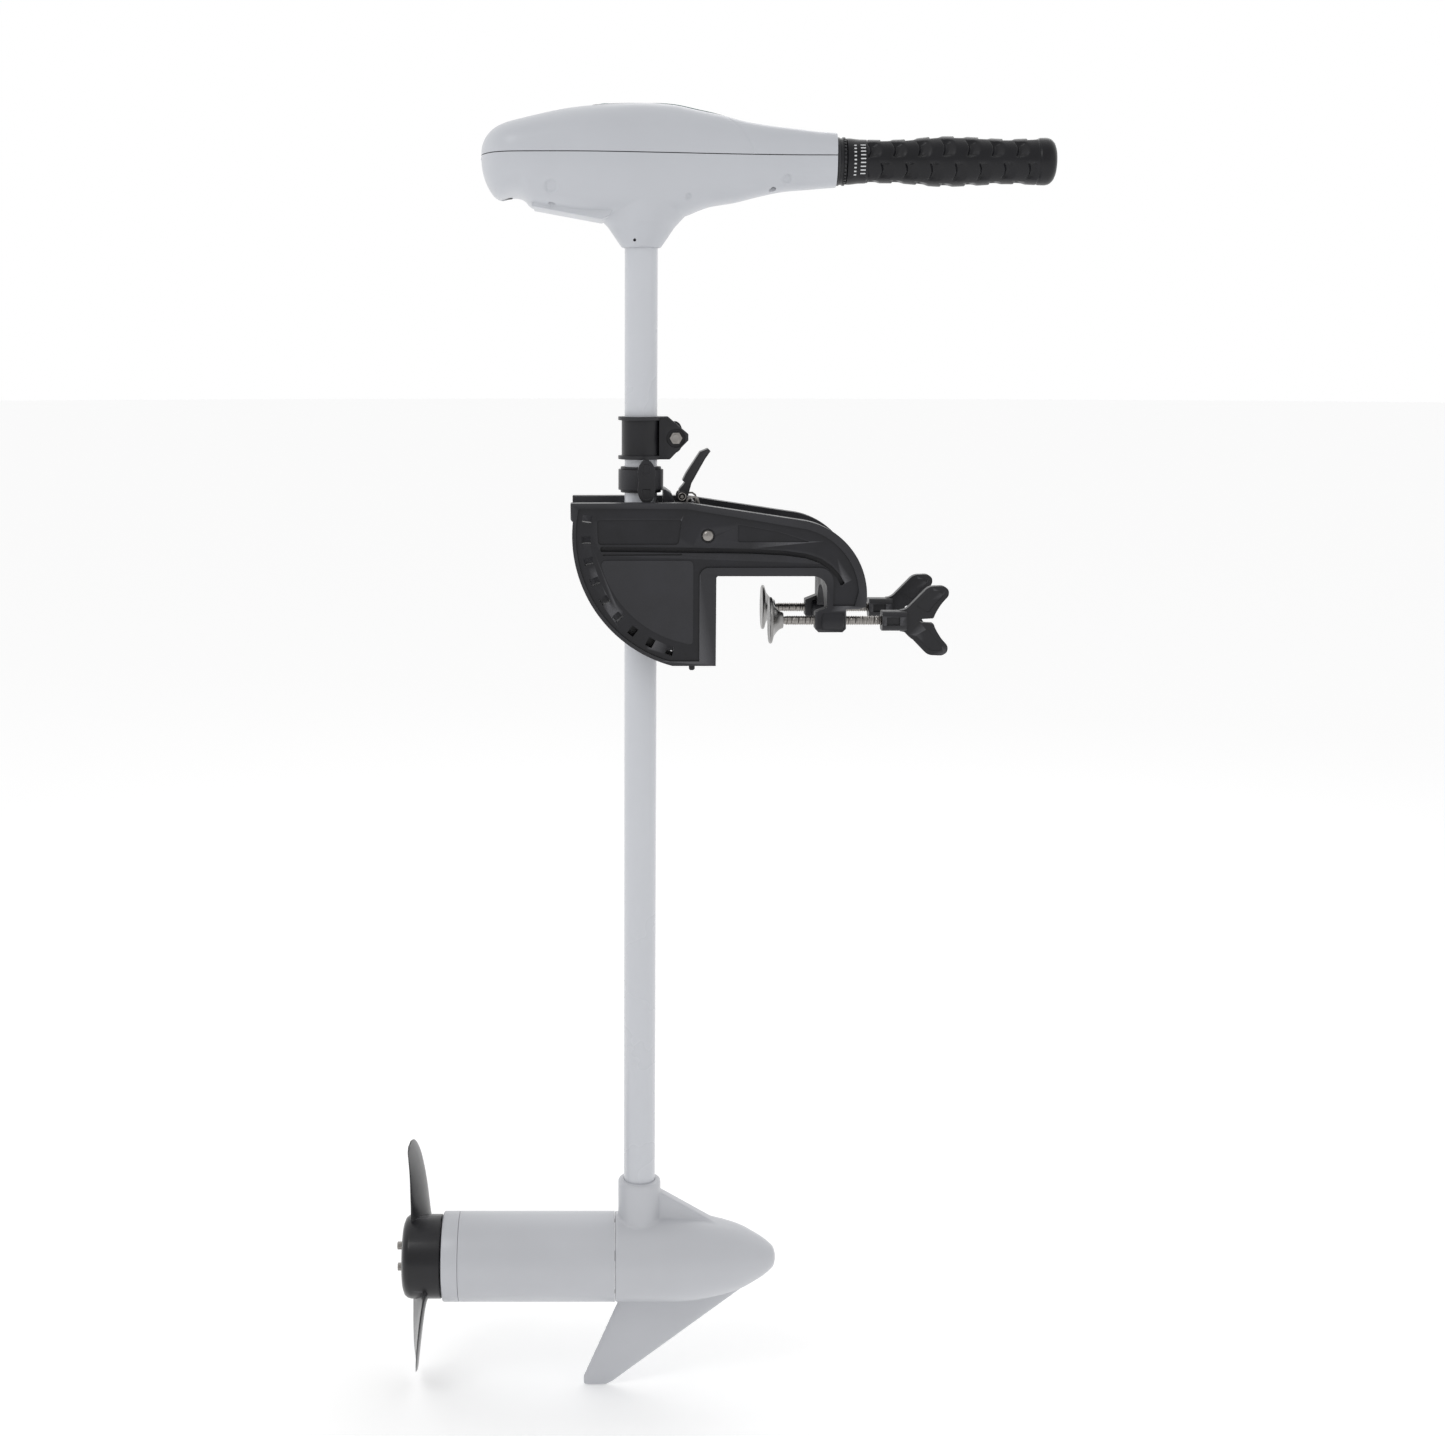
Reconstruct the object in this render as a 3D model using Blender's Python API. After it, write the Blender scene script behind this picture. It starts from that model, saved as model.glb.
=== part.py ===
"""Transom-mount electric trolling motor, modelled piece by piece.

Frame: the origin is the centre of the bracket's bearing face, the flat face that lies against the
outside of the boat's transom. +X points inboard (the tiller's side), +Z points up. Metres throughout.
"""
import math

import bmesh
import bpy
from mathutils import Matrix, Vector

# ---------------------------------------------------------------- clearances
TOUCH = 0.0003          # gap between two pieces that rest on each other
RUN = 0.0004            # radial gap between two pieces that turn or slide

# ---------------------------------------------------------------- facets round a circle
ROUND = 30              # housings
BARREL = 22             # collars, grips and tubes
PIN = 10                # bolts, pins and their holes

# ---------------------------------------------------------------- clamp bracket
THROAT = 0.0965         # bearing face to the inner face of the clamp leg
SEAT_Z = 0.0395         # underside of the seat, which rests on top of the transom
BEARING_DROP = 0.0395   # bearing face below the clamp screws' height
CHEEK_ROOM = 0.0255     # tube to cheek: room for the bush, the collar and the tension knob
CHEEK_THICK = 0.014
WEB_THICK = 0.011
PIVOT_X, PIVOT_Z = -0.0075, 0.0745
SECTOR_RADIUS = 0.118   # toothed outboard edge, round the pivot
TOP_Z = 0.103
LEG_WIDTH = 0.0349
THROAT_FILLET = 0.012
LUG_HALF = 0.0097
SLOT_COUNT = 9
SLOT_PITCH = math.radians(10.0)
SLOT_LOWEST = math.radians(72.0)   # below the outboard direction, seen from the pivot
SLOT_INNER = 0.102
SLOT_RADIAL = 0.008
SLOT_ACROSS = 0.0063
CHANNEL_DEPTH = 0.0056
CHANNEL_WIDTH = 0.0063
PIVOT_BOLT_R = 0.004
PIVOT_HEAD_R = 0.005
PIVOT_HEAD_T = 0.0028

# ---------------------------------------------------------------- clamp screws
SCREW_R = 0.0042
PAD_R = 0.0205
PAD_T = 0.0125
PAD_OPENING = 0.0465    # bearing face to pad face as drawn
KNOB_START = 0.145
KNOB_SLEEVE_R = 0.0094
KNOB_SLEEVE_LENGTH = 0.021
KNOB_WING_SPAN = 0.0307
KNOB_WING_REACH = 0.0583
KNOB_WING_T = 0.008

# ---------------------------------------------------------------- tube, steering and depth collars
SHAFT_X = -0.0652
SHAFT_R = 0.0145
SHAFT_WALL = 0.0022
COLLAR_Z = 0.1114
COLLAR_HEIGHT = 0.0181
COLLAR_WALL = 0.0034
LINER_WALL = 0.0014
LINER_FLANGE_T = 0.002
LINER_FLANGE_EXTRA = 0.0006
DEPTH_Z = 0.1385
DEPTH_HEIGHT = 0.0375
DEPTH_WALL = 0.0022
DEPTH_FLANGE_T = 0.0032
DEPTH_FLANGE_EXTRA = 0.0031
EAR_REACH = 0.0418      # tube axis to the tip of the depth collar's ear
EAR_HALF = 0.0105
EAR_SPLIT = 0.0016
DEPTH_SCREW_REACH = 0.0308
DEPTH_SCREW_R = 0.003
WING_LENGTH = 0.038     # tip to tip of the two small lobed knobs
WING_WIDTH = 0.021
WING_THICK = 0.009
DEPTH_WING_LENGTH = 0.028
TENSION_OFFSET = 0.0044
TENSION_STUD_R = 0.003

# ---------------------------------------------------------------- tilt hinge and its lock
HINGE_TUBE_R = 0.0115
HINGE_BEAM_HALF = 0.021
FAN_THICK = 0.004
FAN_REACH = 0.111
FAN_HALF_ANGLE = math.radians(14.0)
LATCH_R = 0.0025
LATCH_RELEASED = 0.099  # bar to pivot with the lock pulled clear
LATCH_TRAVEL = 0.005
LATCH_ROD_Y = 0.027
LATCH_ROD_R = 0.0018
LATCH_EYE_R = 0.0046
LEVER_PIN_X, LEVER_PIN_Z = -0.0290, 0.1060
LEVER_PIN_R = 0.002
LEVER_FOOT_X, LEVER_FOOT_Z = -0.0200, 0.1015
LEVER_FOOT_R = 0.0017
LEVER_HALF = 0.0095
LEVER_LENGTH = 0.048
LEVER_LUG_T = 0.0035
SPRING_WIRE_R = 0.0006

# ---------------------------------------------------------------- control head
NECK_Z = 0.3224         # underside of the head's neck
SEAM_RISE = 0.0776      # neck to the parting line of the two shells
SEAM_Z = NECK_Z + SEAM_RISE
HEAD_REAR = -0.2041
HEAD_NOSE = 0.1035
HEAD_HALF_WIDTH = 0.058
NOSE_HALF_WIDTH = 0.0212
HEAD_WALL = 0.003
NECK_R = 0.0168
NECK_FLARE_R = 0.036
NECK_FLARE_HEIGHT = 0.030
SOCKET_DEPTH = 0.044
BOSS_R = 0.0068
COVER_SCREW_R = 0.002
COVER_SCREW_HEAD_R = 0.0038
PANEL_T = 0.0009
STATUS_X, STATUS_LENGTH, STATUS_WIDTH = -0.028, 0.074, 0.046
BUTTON_PANEL_X, BUTTON_PANEL_LENGTH = -0.068, 0.040
BUTTON_PANEL_NARROW, BUTTON_PANEL_WIDE = 0.014, 0.038
BUTTON_R = 0.0055
BUTTON_X = -0.096
BUTTON_PROUD = 0.0016

# ---------------------------------------------------------------- tiller
TILLER_DROP = 0.0038    # tiller axis below the parting line
TILLER_Z = SEAM_Z - TILLER_DROP
TILLER_TUBE_R = 0.011
TILLER_TUBE_WALL = 0.002
TILLER_TUBE_START = 0.058
TILLER_TUBE_END = 0.255
RING_LENGTH = 0.008
RING_R = 0.0206
GRIP_LENGTH = 0.183
GRIP_R = 0.0187
GRIP_SWELL_R = 0.0217
GRIP_END_R = 0.0203

# ---------------------------------------------------------------- lower unit
SOCKET_TOP_Z = -0.5336
MOTOR_DROP = 0.0774     # socket rim to motor axis
MOTOR_Z = SOCKET_TOP_Z - MOTOR_DROP
MOTOR_R = 0.0413
CAN_WALL = 0.003
NOSE_SEAM_X = -0.088
CAN_LENGTH = 0.146
BELL_LENGTH = 0.0152
NOSE_STRAIGHT = 0.058
NOSE_CONE = 0.0929
SOCKET_R = 0.0198
SKEG_THICK = 0.006
SKEG_DROP = 0.129       # motor axis to the skeg's lowest edge
SPIGOT_LENGTH = 0.008
NOSE_CAVITY = 0.036     # wire space in the nose housing, up to the front bearing
ROTOR_SHAFT_R = 0.0048
BEARING_R = 0.011
BEARING_WIDTH = 0.007
MAGNET_T = 0.0042
MAGNET_LENGTH = 0.09
AIR_GAP = 0.001
THROUGH_BOLT_R = 0.0018

# ---------------------------------------------------------------- propeller
PROP_R = 0.118
HUB_R = 0.0385
HUB_LENGTH = 0.0375
HUB_GAP = 0.0012
PROP_PITCH = 0.075
BLADE_REST = 0.42       # radians from upright to the blade's root, as drawn
BLADE_SWEEP = -0.55     # radians that the tip is swept from the root
BLADE_RAKE = -0.007     # how far the tip is set back from the root
HUB_BOLT_OFFSET = 0.0105
HUB_BOLT_R = 0.0038
DRIVE_PIN_R = 0.0022

# ---------------------------------------------------------------- sizes worked out from those above
CHEEK_IN = SHAFT_R + CHEEK_ROOM                 # half the clear width between the cheeks
CHEEK_OUT = CHEEK_IN + CHEEK_THICK
SCREW_Y = CHEEK_IN + CHEEK_THICK / 2
LINER_IN = SHAFT_R + RUN
LINER_OUT = LINER_IN + LINER_WALL
COLLAR_IN = LINER_OUT + TOUCH
COLLAR_OUT = COLLAR_IN + COLLAR_WALL
DEPTH_IN = SHAFT_R + RUN
DEPTH_OUT = DEPTH_IN + DEPTH_WALL
BELL_X = NOSE_SEAM_X - CAN_LENGTH - TOUCH       # front face of the rear end bell
BELL_BACK_X = BELL_X - BELL_LENGTH
CAN_IN = MOTOR_R - CAN_WALL
MAGNET_OUT = CAN_IN - TOUCH
ARMATURE_R = MAGNET_OUT - MAGNET_T - AIR_GAP
HUB_X = BELL_BACK_X - HUB_GAP                   # front face of the hub

PIECES = bpy.data.collections.new("pieces")
CUTTERS = bpy.data.collections.new("cutters")


# ================================================================ scene and material helpers
def clear_scene():
    """Remove whatever the scene holds."""
    for old in list(bpy.data.objects):
        bpy.data.objects.remove(old, do_unlink=True)
    for group in (PIECES, CUTTERS):
        bpy.context.scene.collection.children.link(group)


def material(name, colour, roughness, metallic=0.0):
    """A Principled material, made once per name."""
    found = bpy.data.materials.get(name)
    if found:
        return found
    made = bpy.data.materials.new(name)
    made.use_nodes = True
    shader = made.node_tree.nodes["Principled BSDF"]
    shader.inputs["Base Color"].default_value = (*colour, 1.0)
    shader.inputs["Roughness"].default_value = roughness
    shader.inputs["Metallic"].default_value = metallic
    return made


def empty(name, location, parent=None):
    """An axis marker that moving pieces hang from."""
    marker = bpy.data.objects.new(name, None)
    marker.empty_display_size = 0.02
    PIECES.objects.link(marker)
    hang(marker, location, parent)
    return marker


def world_of(marker):
    """World place of an unturned marker, from its own and its parents' locations."""
    place = Vector((0.0, 0.0, 0.0))
    while marker:
        place += marker.location
        marker = marker.parent
    return place


def hang(obj, location, parent):
    """Put obj at a world location, under parent."""
    obj.parent = parent
    obj.location = Vector(location) - world_of(parent)


def finish(name, mesh, location, look, parent, smooth=True):
    """A piece of the motor from a mesh whose points are relative to location."""
    obj = bpy.data.objects.new(name, mesh)
    PIECES.objects.link(obj)
    hang(obj, location, parent)
    mesh.materials.append(look)
    if smooth:
        mesh.shade_smooth()
        mesh.set_sharp_from_angle(angle=math.radians(35))
    return obj


def tool(name, mesh, location):
    """A hidden shape that cuts or is joined by a Boolean."""
    obj = bpy.data.objects.new(name, mesh)
    CUTTERS.objects.link(obj)
    obj.location = location
    obj.hide_render = True
    obj.display_type = "WIRE"
    return obj


def combine(obj, other, operation):
    """Add other to obj's last live Boolean if that does the same, or else to a new one. The exact
    solver then takes all the shapes of one Boolean at once."""
    step = obj.modifiers[-1] if obj.modifiers else None
    if not step or step.operation != operation:
        step = obj.modifiers.new(f"{operation.lower()}_{other.name}", "BOOLEAN")
        step.operation = operation
        step.solver = "EXACT"
        step.operand_type = "COLLECTION"
        step.collection = bpy.data.collections.new(f"{obj.name}_{operation.lower()}")
    step.collection.objects.link(other)
    return obj


def cut(obj, other):
    return combine(obj, other, "DIFFERENCE")


def join(obj, other):
    return combine(obj, other, "UNION")


def keep(obj, other):
    return combine(obj, other, "INTERSECT")


# ================================================================ mesh helpers
def to_mesh(bm, name):
    """Close a bmesh into a mesh with its faces pointing out."""
    bmesh.ops.remove_doubles(bm, verts=bm.verts, dist=1e-7)
    bmesh.ops.recalc_face_normals(bm, faces=bm.faces)
    mesh = bpy.data.meshes.new(name)
    bm.to_mesh(mesh)
    bm.free()
    return mesh


AXIS_TURN = {
    "X": Matrix.Rotation(math.radians(90), 4, "Y"),
    "Y": Matrix.Rotation(math.radians(-90), 4, "X"),
    "Z": Matrix.Identity(4),
}


def turned(name, profile, axis="Z", sides=BARREL, phase=0.0):
    """Turn a profile of (radius, height) round an axis. A profile that starts and ends on the axis
    makes a solid; any other is closed into a ring."""
    bm = bmesh.new()
    rings = []
    for radius, height in profile:
        if radius < 1e-9:
            rings.append([bm.verts.new((0.0, 0.0, height))])
            continue
        step = 2 * math.pi / sides
        rings.append([bm.verts.new((radius * math.cos(phase + i * step),
                                    radius * math.sin(phase + i * step), height))
                      for i in range(sides)])
    on_axis = len(rings[0]) == 1 and len(rings[-1]) == 1
    pairs = list(zip(rings, rings[1:])) + ([] if on_axis else [(rings[-1], rings[0])])
    for low, high in pairs:
        skin_rings(bm, low, high)
    bm.transform(AXIS_TURN[axis])
    return to_mesh(bm, name)


def skin_rings(bm, low, high):
    """Faces between two closed rings of points, either of which may be a single pole."""
    count = max(len(low), len(high))
    for i in range(count):
        j = (i + 1) % count
        if len(low) == 1:
            bm.faces.new((low[0], high[i], high[j]))
        elif len(high) == 1:
            bm.faces.new((low[i], high[0], low[j]))
        else:
            bm.faces.new((low[i], high[i], high[j], low[j]))


def rod(name, radius, start, end, axis="Z", sides=PIN):
    """A plain round bar along an axis."""
    return turned(name, [(0, start), (radius, start), (radius, end), (0, end)], axis, sides)


def tube(name, inner, outer, start, end, axis="Z", sides=BARREL):
    """A plain round sleeve along an axis."""
    return turned(name, [(inner, start), (outer, start), (outer, end), (inner, end)], axis, sides)


def prism(name, outline, low, high, plane="XZ"):
    """Push a flat outline along the axis square to its plane, from low to high."""
    bm = bmesh.new()
    spots = {"XZ": lambda a, b, d: (a, d, b), "YZ": lambda a, b, d: (d, a, b),
             "XY": lambda a, b, d: (a, b, d)}[plane]
    near = [bm.verts.new(spots(a, b, low)) for a, b in outline]
    far = [bm.verts.new(spots(a, b, high)) for a, b in outline]
    bm.faces.new(near)
    bm.faces.new(far)
    skin_rings(bm, near, far)
    return to_mesh(bm, name)


def block(name, low, high, bevel=0.0):
    """A box between two corners, with its edges eased."""
    bm = bmesh.new()
    bmesh.ops.create_cube(bm, size=1.0)
    size = Vector(high) - Vector(low)
    middle = (Vector(high) + Vector(low)) / 2
    bm.transform(Matrix.Translation(middle) @ Matrix.Diagonal((*size, 1.0)))
    if bevel:
        bmesh.ops.bevel(bm, geom=bm.edges, offset=bevel, segments=2, affect="EDGES")
    return to_mesh(bm, name)


def loft(name, sections):
    """A closed skin through sections that all have the same number of points."""
    bm = bmesh.new()
    rings = [[bm.verts.new(point) for point in section] for section in sections]
    for low, high in zip(rings, rings[1:]):
        skin_rings(bm, low, high)
    bm.faces.new(rings[0])
    bm.faces.new(rings[-1])
    return to_mesh(bm, name)


def arc(centre_x, centre_z, radius, start, end, steps):
    """Points along an arc, angles in radians from +X towards +Z."""
    return [(centre_x + radius * math.cos(start + (end - start) * i / steps),
             centre_z + radius * math.sin(start + (end - start) * i / steps))
            for i in range(steps + 1)]


def from_pivot(radius, angle):
    """A point at a radius from the tilt pivot, the angle measured down from the outboard side."""
    return PIVOT_X - radius * math.cos(angle), PIVOT_Z - radius * math.sin(angle)


def pivot_arc(radius, start, end, steps):
    """Points on an arc round the tilt pivot, angles as in from_pivot."""
    return [from_pivot(radius, start + (end - start) * i / steps) for i in range(steps + 1)]


def eased(stops, x):
    """Smooth value at x through (place, value) stops, with level ends."""
    if x <= stops[0][0]:
        return stops[0][1]
    if x >= stops[-1][0]:
        return stops[-1][1]
    index = max(i for i, stop in enumerate(stops) if stop[0] <= x)
    index = min(index, len(stops) - 2)
    (x0, v0), (x1, v1) = stops[index], stops[index + 1]

    def slope(i):
        if i <= 0 or i >= len(stops) - 1:
            return 0.0
        return (stops[i + 1][1] - stops[i - 1][1]) / (stops[i + 1][0] - stops[i - 1][0])

    span = x1 - x0
    t = (x - x0) / span
    return ((2 * t ** 3 - 3 * t ** 2 + 1) * v0 + (t ** 3 - 2 * t ** 2 + t) * span * slope(index)
            + (3 * t ** 2 - 2 * t ** 3) * v1 + (t ** 3 - t ** 2) * span * slope(index + 1))


# ================================================================ looks
def looks():
    """Every finish on the motor."""
    return {
        "shell": material("head_shell", (0.80, 0.81, 0.83), 0.28),
        "tube": material("white_tube", (0.82, 0.83, 0.85), 0.22),
        "hull": material("lower_unit_paint", (0.78, 0.79, 0.81), 0.32),
        "moulded": material("bracket_nylon", (0.022, 0.022, 0.025), 0.5),
        "knob": material("knob_plastic", (0.018, 0.018, 0.02), 0.42),
        "rubber": material("grip_rubber", (0.02, 0.02, 0.022), 0.62),
        "steel": material("stainless_steel", (0.62, 0.60, 0.57), 0.3, 1.0),
        "prop": material("propeller_plastic", (0.02, 0.02, 0.022), 0.38),
        "panel": material("panel_black", (0.015, 0.016, 0.018), 0.3),
        "button": material("button_pale", (0.75, 0.85, 0.84), 0.35),
        "board": material("board_green", (0.03, 0.16, 0.07), 0.5),
        "magnet": material("ferrite", (0.09, 0.09, 0.1), 0.6),
        "iron": material("laminations", (0.35, 0.33, 0.31), 0.45, 1.0),
        "copper": material("copper", (0.72, 0.36, 0.2), 0.35, 1.0),
        "bush": material("bush_acetal", (0.05, 0.05, 0.055), 0.4),
    }


# ================================================================ clamp bracket
def cheek_outline():
    """Side outline of a cheek: bearing face, seat, clamp leg with its lug, bowed back, top, sector."""
    leg_out = THROAT + LEG_WIDTH
    bow_r = LEG_WIDTH + 0.032
    bow_x, bow_z = leg_out - bow_r, SEAT_Z - 0.0175
    sector_end = math.asin((PIVOT_Z + BEARING_DROP) / SECTOR_RADIUS)
    outline = [(0.0, -BEARING_DROP), (0.0, SEAT_Z)]
    outline += arc(THROAT - THROAT_FILLET, SEAT_Z - THROAT_FILLET, THROAT_FILLET,
                   math.radians(90), 0.0, 5)
    outline += [(THROAT, LUG_HALF + 0.002), (THROAT - 0.010, LUG_HALF - 0.002),
                (THROAT - 0.010, -LUG_HALF + 0.003), (THROAT - 0.007, -LUG_HALF),
                (THROAT + 0.014, -LUG_HALF), (THROAT + 0.017, -LUG_HALF + 0.003),
                (THROAT + 0.017, KNOB_SLEEVE_R + 0.0010),
                (leg_out - 0.007, KNOB_SLEEVE_R + 0.0012)]
    outline += arc(bow_x, bow_z, bow_r, math.radians(-8), math.radians(79), 10)
    outline += [(PIVOT_X - 0.0165, TOP_Z), (PIVOT_X - SECTOR_RADIUS, TOP_Z)]
    outline += pivot_arc(SECTOR_RADIUS, 0.0, sector_end, 14)
    return outline


def slot_cutter(index, side):
    """One square lock slot through a cheek."""
    low, high = sorted((side * (CHEEK_IN - 0.002), side * (CHEEK_OUT + 0.002)))
    mesh = block("slot", (-SLOT_INNER - SLOT_RADIAL, low, -SLOT_ACROSS / 2),
                 (-SLOT_INNER, high, SLOT_ACROSS / 2))
    mesh.transform(Matrix.Rotation(-(SLOT_LOWEST - index * SLOT_PITCH), 4, "Y"))
    return tool(f"slot_{index}", mesh, (PIVOT_X, 0, PIVOT_Z))


def lock_channel(side):
    """The groove in a cheek's inner face that the lock bar's end sweeps along."""
    spare = math.radians(3.0)
    start, end = SLOT_LOWEST + spare, SLOT_LOWEST - (SLOT_COUNT - 1) * SLOT_PITCH - spare
    outer = SLOT_INNER + 0.0001
    band = pivot_arc(outer, start, end, 20) + pivot_arc(outer - CHANNEL_WIDTH, end, start, 20)
    low, high = sorted((side * (CHEEK_IN - 0.002), side * (CHEEK_IN + CHANNEL_DEPTH)))
    return tool("lock_channel", prism("lock_channel", band, low, high), (0, 0, 0))


def make_cheek(name, side, look):
    """A moulded side plate. side is -1 for the near one and +1 for the far one."""
    low, high = sorted((side * CHEEK_IN, side * CHEEK_OUT))
    cheek = finish(name, prism(name, cheek_outline(), low, high), (0, 0, 0), look["moulded"], None)
    cut(cheek, lock_channel(side))
    for index in range(SLOT_COUNT):
        cut(cheek, slot_cutter(index, side))
    hole = rod("pivot_hole", PIVOT_BOLT_R + TOUCH, CHEEK_IN - 0.002, CHEEK_OUT + 0.002, "Y")
    sink = rod("pivot_sink", PIVOT_HEAD_R + 0.001, CHEEK_OUT - PIVOT_HEAD_T - TOUCH,
               CHEEK_OUT + 0.002, "Y", BARREL)
    turn = Matrix.Identity(4) if side > 0 else Matrix.Rotation(math.pi, 4, "Z")
    for mesh in (hole, sink):
        mesh.transform(turn)
        cut(cheek, tool(mesh.name, mesh, (PIVOT_X, 0, PIVOT_Z)))
    screw_hole = rod("screw_hole", SCREW_R + RUN, THROAT - 0.02, THROAT + LEG_WIDTH, "X")
    cut(cheek, tool("screw_hole", screw_hole, (0, side * SCREW_Y, 0)))
    return cheek


def make_bridge(look):
    """The moulded webs that tie the two cheeks: bearing plate, seat web and arched inboard web."""
    inner = CHEEK_IN - TOUCH
    back = THROAT + WEB_THICK
    outline = [(0, -BEARING_DROP), (0, SEAT_Z), (THROAT, SEAT_Z), (THROAT, 0.004), (back, 0.004),
               (back, SEAT_Z + WEB_THICK), (-WEB_THICK, SEAT_Z + WEB_THICK),
               (-WEB_THICK, -BEARING_DROP)]
    bridge = finish("bracket_bridge", prism("bracket_bridge", outline, -inner, inner), (0, 0, 0),
                    look["moulded"], None)
    arch = [(-inner + 0.008, -0.01)] + [(inner * 0.8 * math.cos(a), 0.004 + 0.022 * math.sin(a))
                                        for a in [math.pi * (1 - i / 10) for i in range(11)]]
    arch += [(inner - 0.008, -0.01)]
    cutter = prism("web_arch", arch, THROAT - 0.002, back + 0.002, "YZ")
    cut(bridge, tool("web_arch", cutter, (0, 0, 0)))
    return bridge


def make_pivot_bolt(look):
    """Tilt axle: a bolt with its head sunk in the near cheek and its nut in the far one."""
    head = CHEEK_OUT - PIVOT_HEAD_T
    tip = CHEEK_OUT - 0.0002
    profile = [(0, -CHEEK_OUT), (PIVOT_HEAD_R * 0.8, -CHEEK_OUT), (PIVOT_HEAD_R, -head - 0.0018),
               (PIVOT_HEAD_R, -head), (PIVOT_BOLT_R, -head), (PIVOT_BOLT_R, tip), (0, tip)]
    finish("pivot_bolt", turned("pivot_bolt", profile, "Y", BARREL), (PIVOT_X, 0, PIVOT_Z),
           look["steel"], None)
    nut = tube("pivot_nut", PIVOT_BOLT_R + TOUCH, PIVOT_HEAD_R + 0.0004, head, tip, "Y", BARREL)
    finish("pivot_nut", nut, (PIVOT_X, 0, PIVOT_Z), look["steel"], None)


# ================================================================ clamp screws
def wing_outline(start):
    """Half of the V-shaped finger grip, from the sleeve out to a wing's tip."""
    reach, span = KNOB_WING_REACH, KNOB_WING_SPAN
    half = [(start, 0.6 * KNOB_SLEEVE_R), (start + 0.42 * reach - 0.008, 0.80 * KNOB_SLEEVE_R),
            (start + 0.70 * reach, 0.97 * span), (start + 0.78 * reach, span),
            (start + 0.90 * reach, span), (start + 0.98 * reach, 0.90 * span),
            (start + reach, 0.82 * span), (start + 0.97 * reach, 0.68 * span),
            (start + 0.86 * reach, 0.42 * span), (start + 0.795 * reach, 0.12 * span)]
    return half + [(x, -z) for x, z in reversed(half)]


def make_clamp(side_name, side, look):
    """One thumb screw with its swivel pad, as two axes: the pad slides and the screw also turns."""
    y = side * SCREW_Y
    slide = empty(f"{side_name}_pad_axis", (PAD_OPENING, y, 0))
    spin = empty(f"{side_name}_screw_axis", (PAD_OPENING, y, 0), slide)
    ball = SCREW_R * 0.8
    pad = [(0, 0), (PAD_R, 0), (PAD_R, 0.0014), (PAD_R * 0.78, 0.0035), (PAD_R * 0.42, 0.0075),
           (0.0068, PAD_T), (ball + TOUCH, PAD_T), (ball + TOUCH, 0.005), (0, 0.005)]
    pad_mesh = turned(f"{side_name}_clamp_pad", pad, "X", BARREL)
    finish(f"{side_name}_clamp_pad", pad_mesh, (PAD_OPENING, y, 0), look["steel"], slide)
    neck = PAD_T + 0.001
    end = KNOB_START + KNOB_SLEEVE_LENGTH * 0.6 - PAD_OPENING
    shank = [(0, 0.005 + TOUCH), (ball, 0.005 + TOUCH), (ball, neck), (SCREW_R, neck + 0.001),
             (SCREW_R, end), (0, end)]
    finish(f"{side_name}_clamp_rod", turned("clamp_rod", shank, "X", PIN), (PAD_OPENING, y, 0),
           look["steel"], spin)
    sleeve = rod("knob_sleeve", KNOB_SLEEVE_R, 0, KNOB_SLEEVE_LENGTH, "X", BARREL)
    knob = finish(f"{side_name}_clamp_knob", sleeve, (KNOB_START, y, 0), look["knob"], spin)
    wings = prism("knob_wings", wing_outline(0.004), -KNOB_WING_T / 2, KNOB_WING_T / 2)
    join(knob, tool("knob_wings", wings, (KNOB_START, y, 0)))
    bore = rod("knob_bore", SCREW_R + TOUCH, -0.001, KNOB_SLEEVE_LENGTH * 0.6 + TOUCH, "X")
    cut(knob, tool("knob_bore", bore, (KNOB_START, y, 0)))


# ================================================================ tilt hinge, lock and collars
def hinge_beam_outline():
    """Side outline of the arm between the steering collar and the pivot, dipped under the lever."""
    left = SHAFT_X + COLLAR_IN + 0.001
    root = COLLAR_Z + 0.0006
    round_pivot = arc(PIVOT_X, PIVOT_Z, HINGE_TUBE_R - 0.0005, math.radians(55),
                      math.radians(-125), 8)
    dip = [(LEVER_PIN_X - 0.0092, LEVER_PIN_Z + 0.0028),
           (LEVER_PIN_X - 0.0060, LEVER_PIN_Z - 0.0062),
           (LEVER_PIN_X, LEVER_PIN_Z - 0.0078), (PIVOT_X - 0.012, PIVOT_Z + 0.0165)]
    return [(left, COLLAR_Z + 0.0012), (left + 0.004, COLLAR_Z + 0.0012)] + dip + round_pivot \
        + [(left + 0.002, COLLAR_Z - 0.014), (left + 0.002, root), (left, root)]


def fan_outline():
    """Guide plate between the pivot and the lock slots."""
    middle = SLOT_LOWEST - SLOT_PITCH
    edge = pivot_arc(FAN_REACH, middle + FAN_HALF_ANGLE, middle - FAN_HALF_ANGLE, 8)
    root = pivot_arc(HINGE_TUBE_R * 0.8, middle - 0.35, middle + 0.35, 2)
    return edge + root


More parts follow.
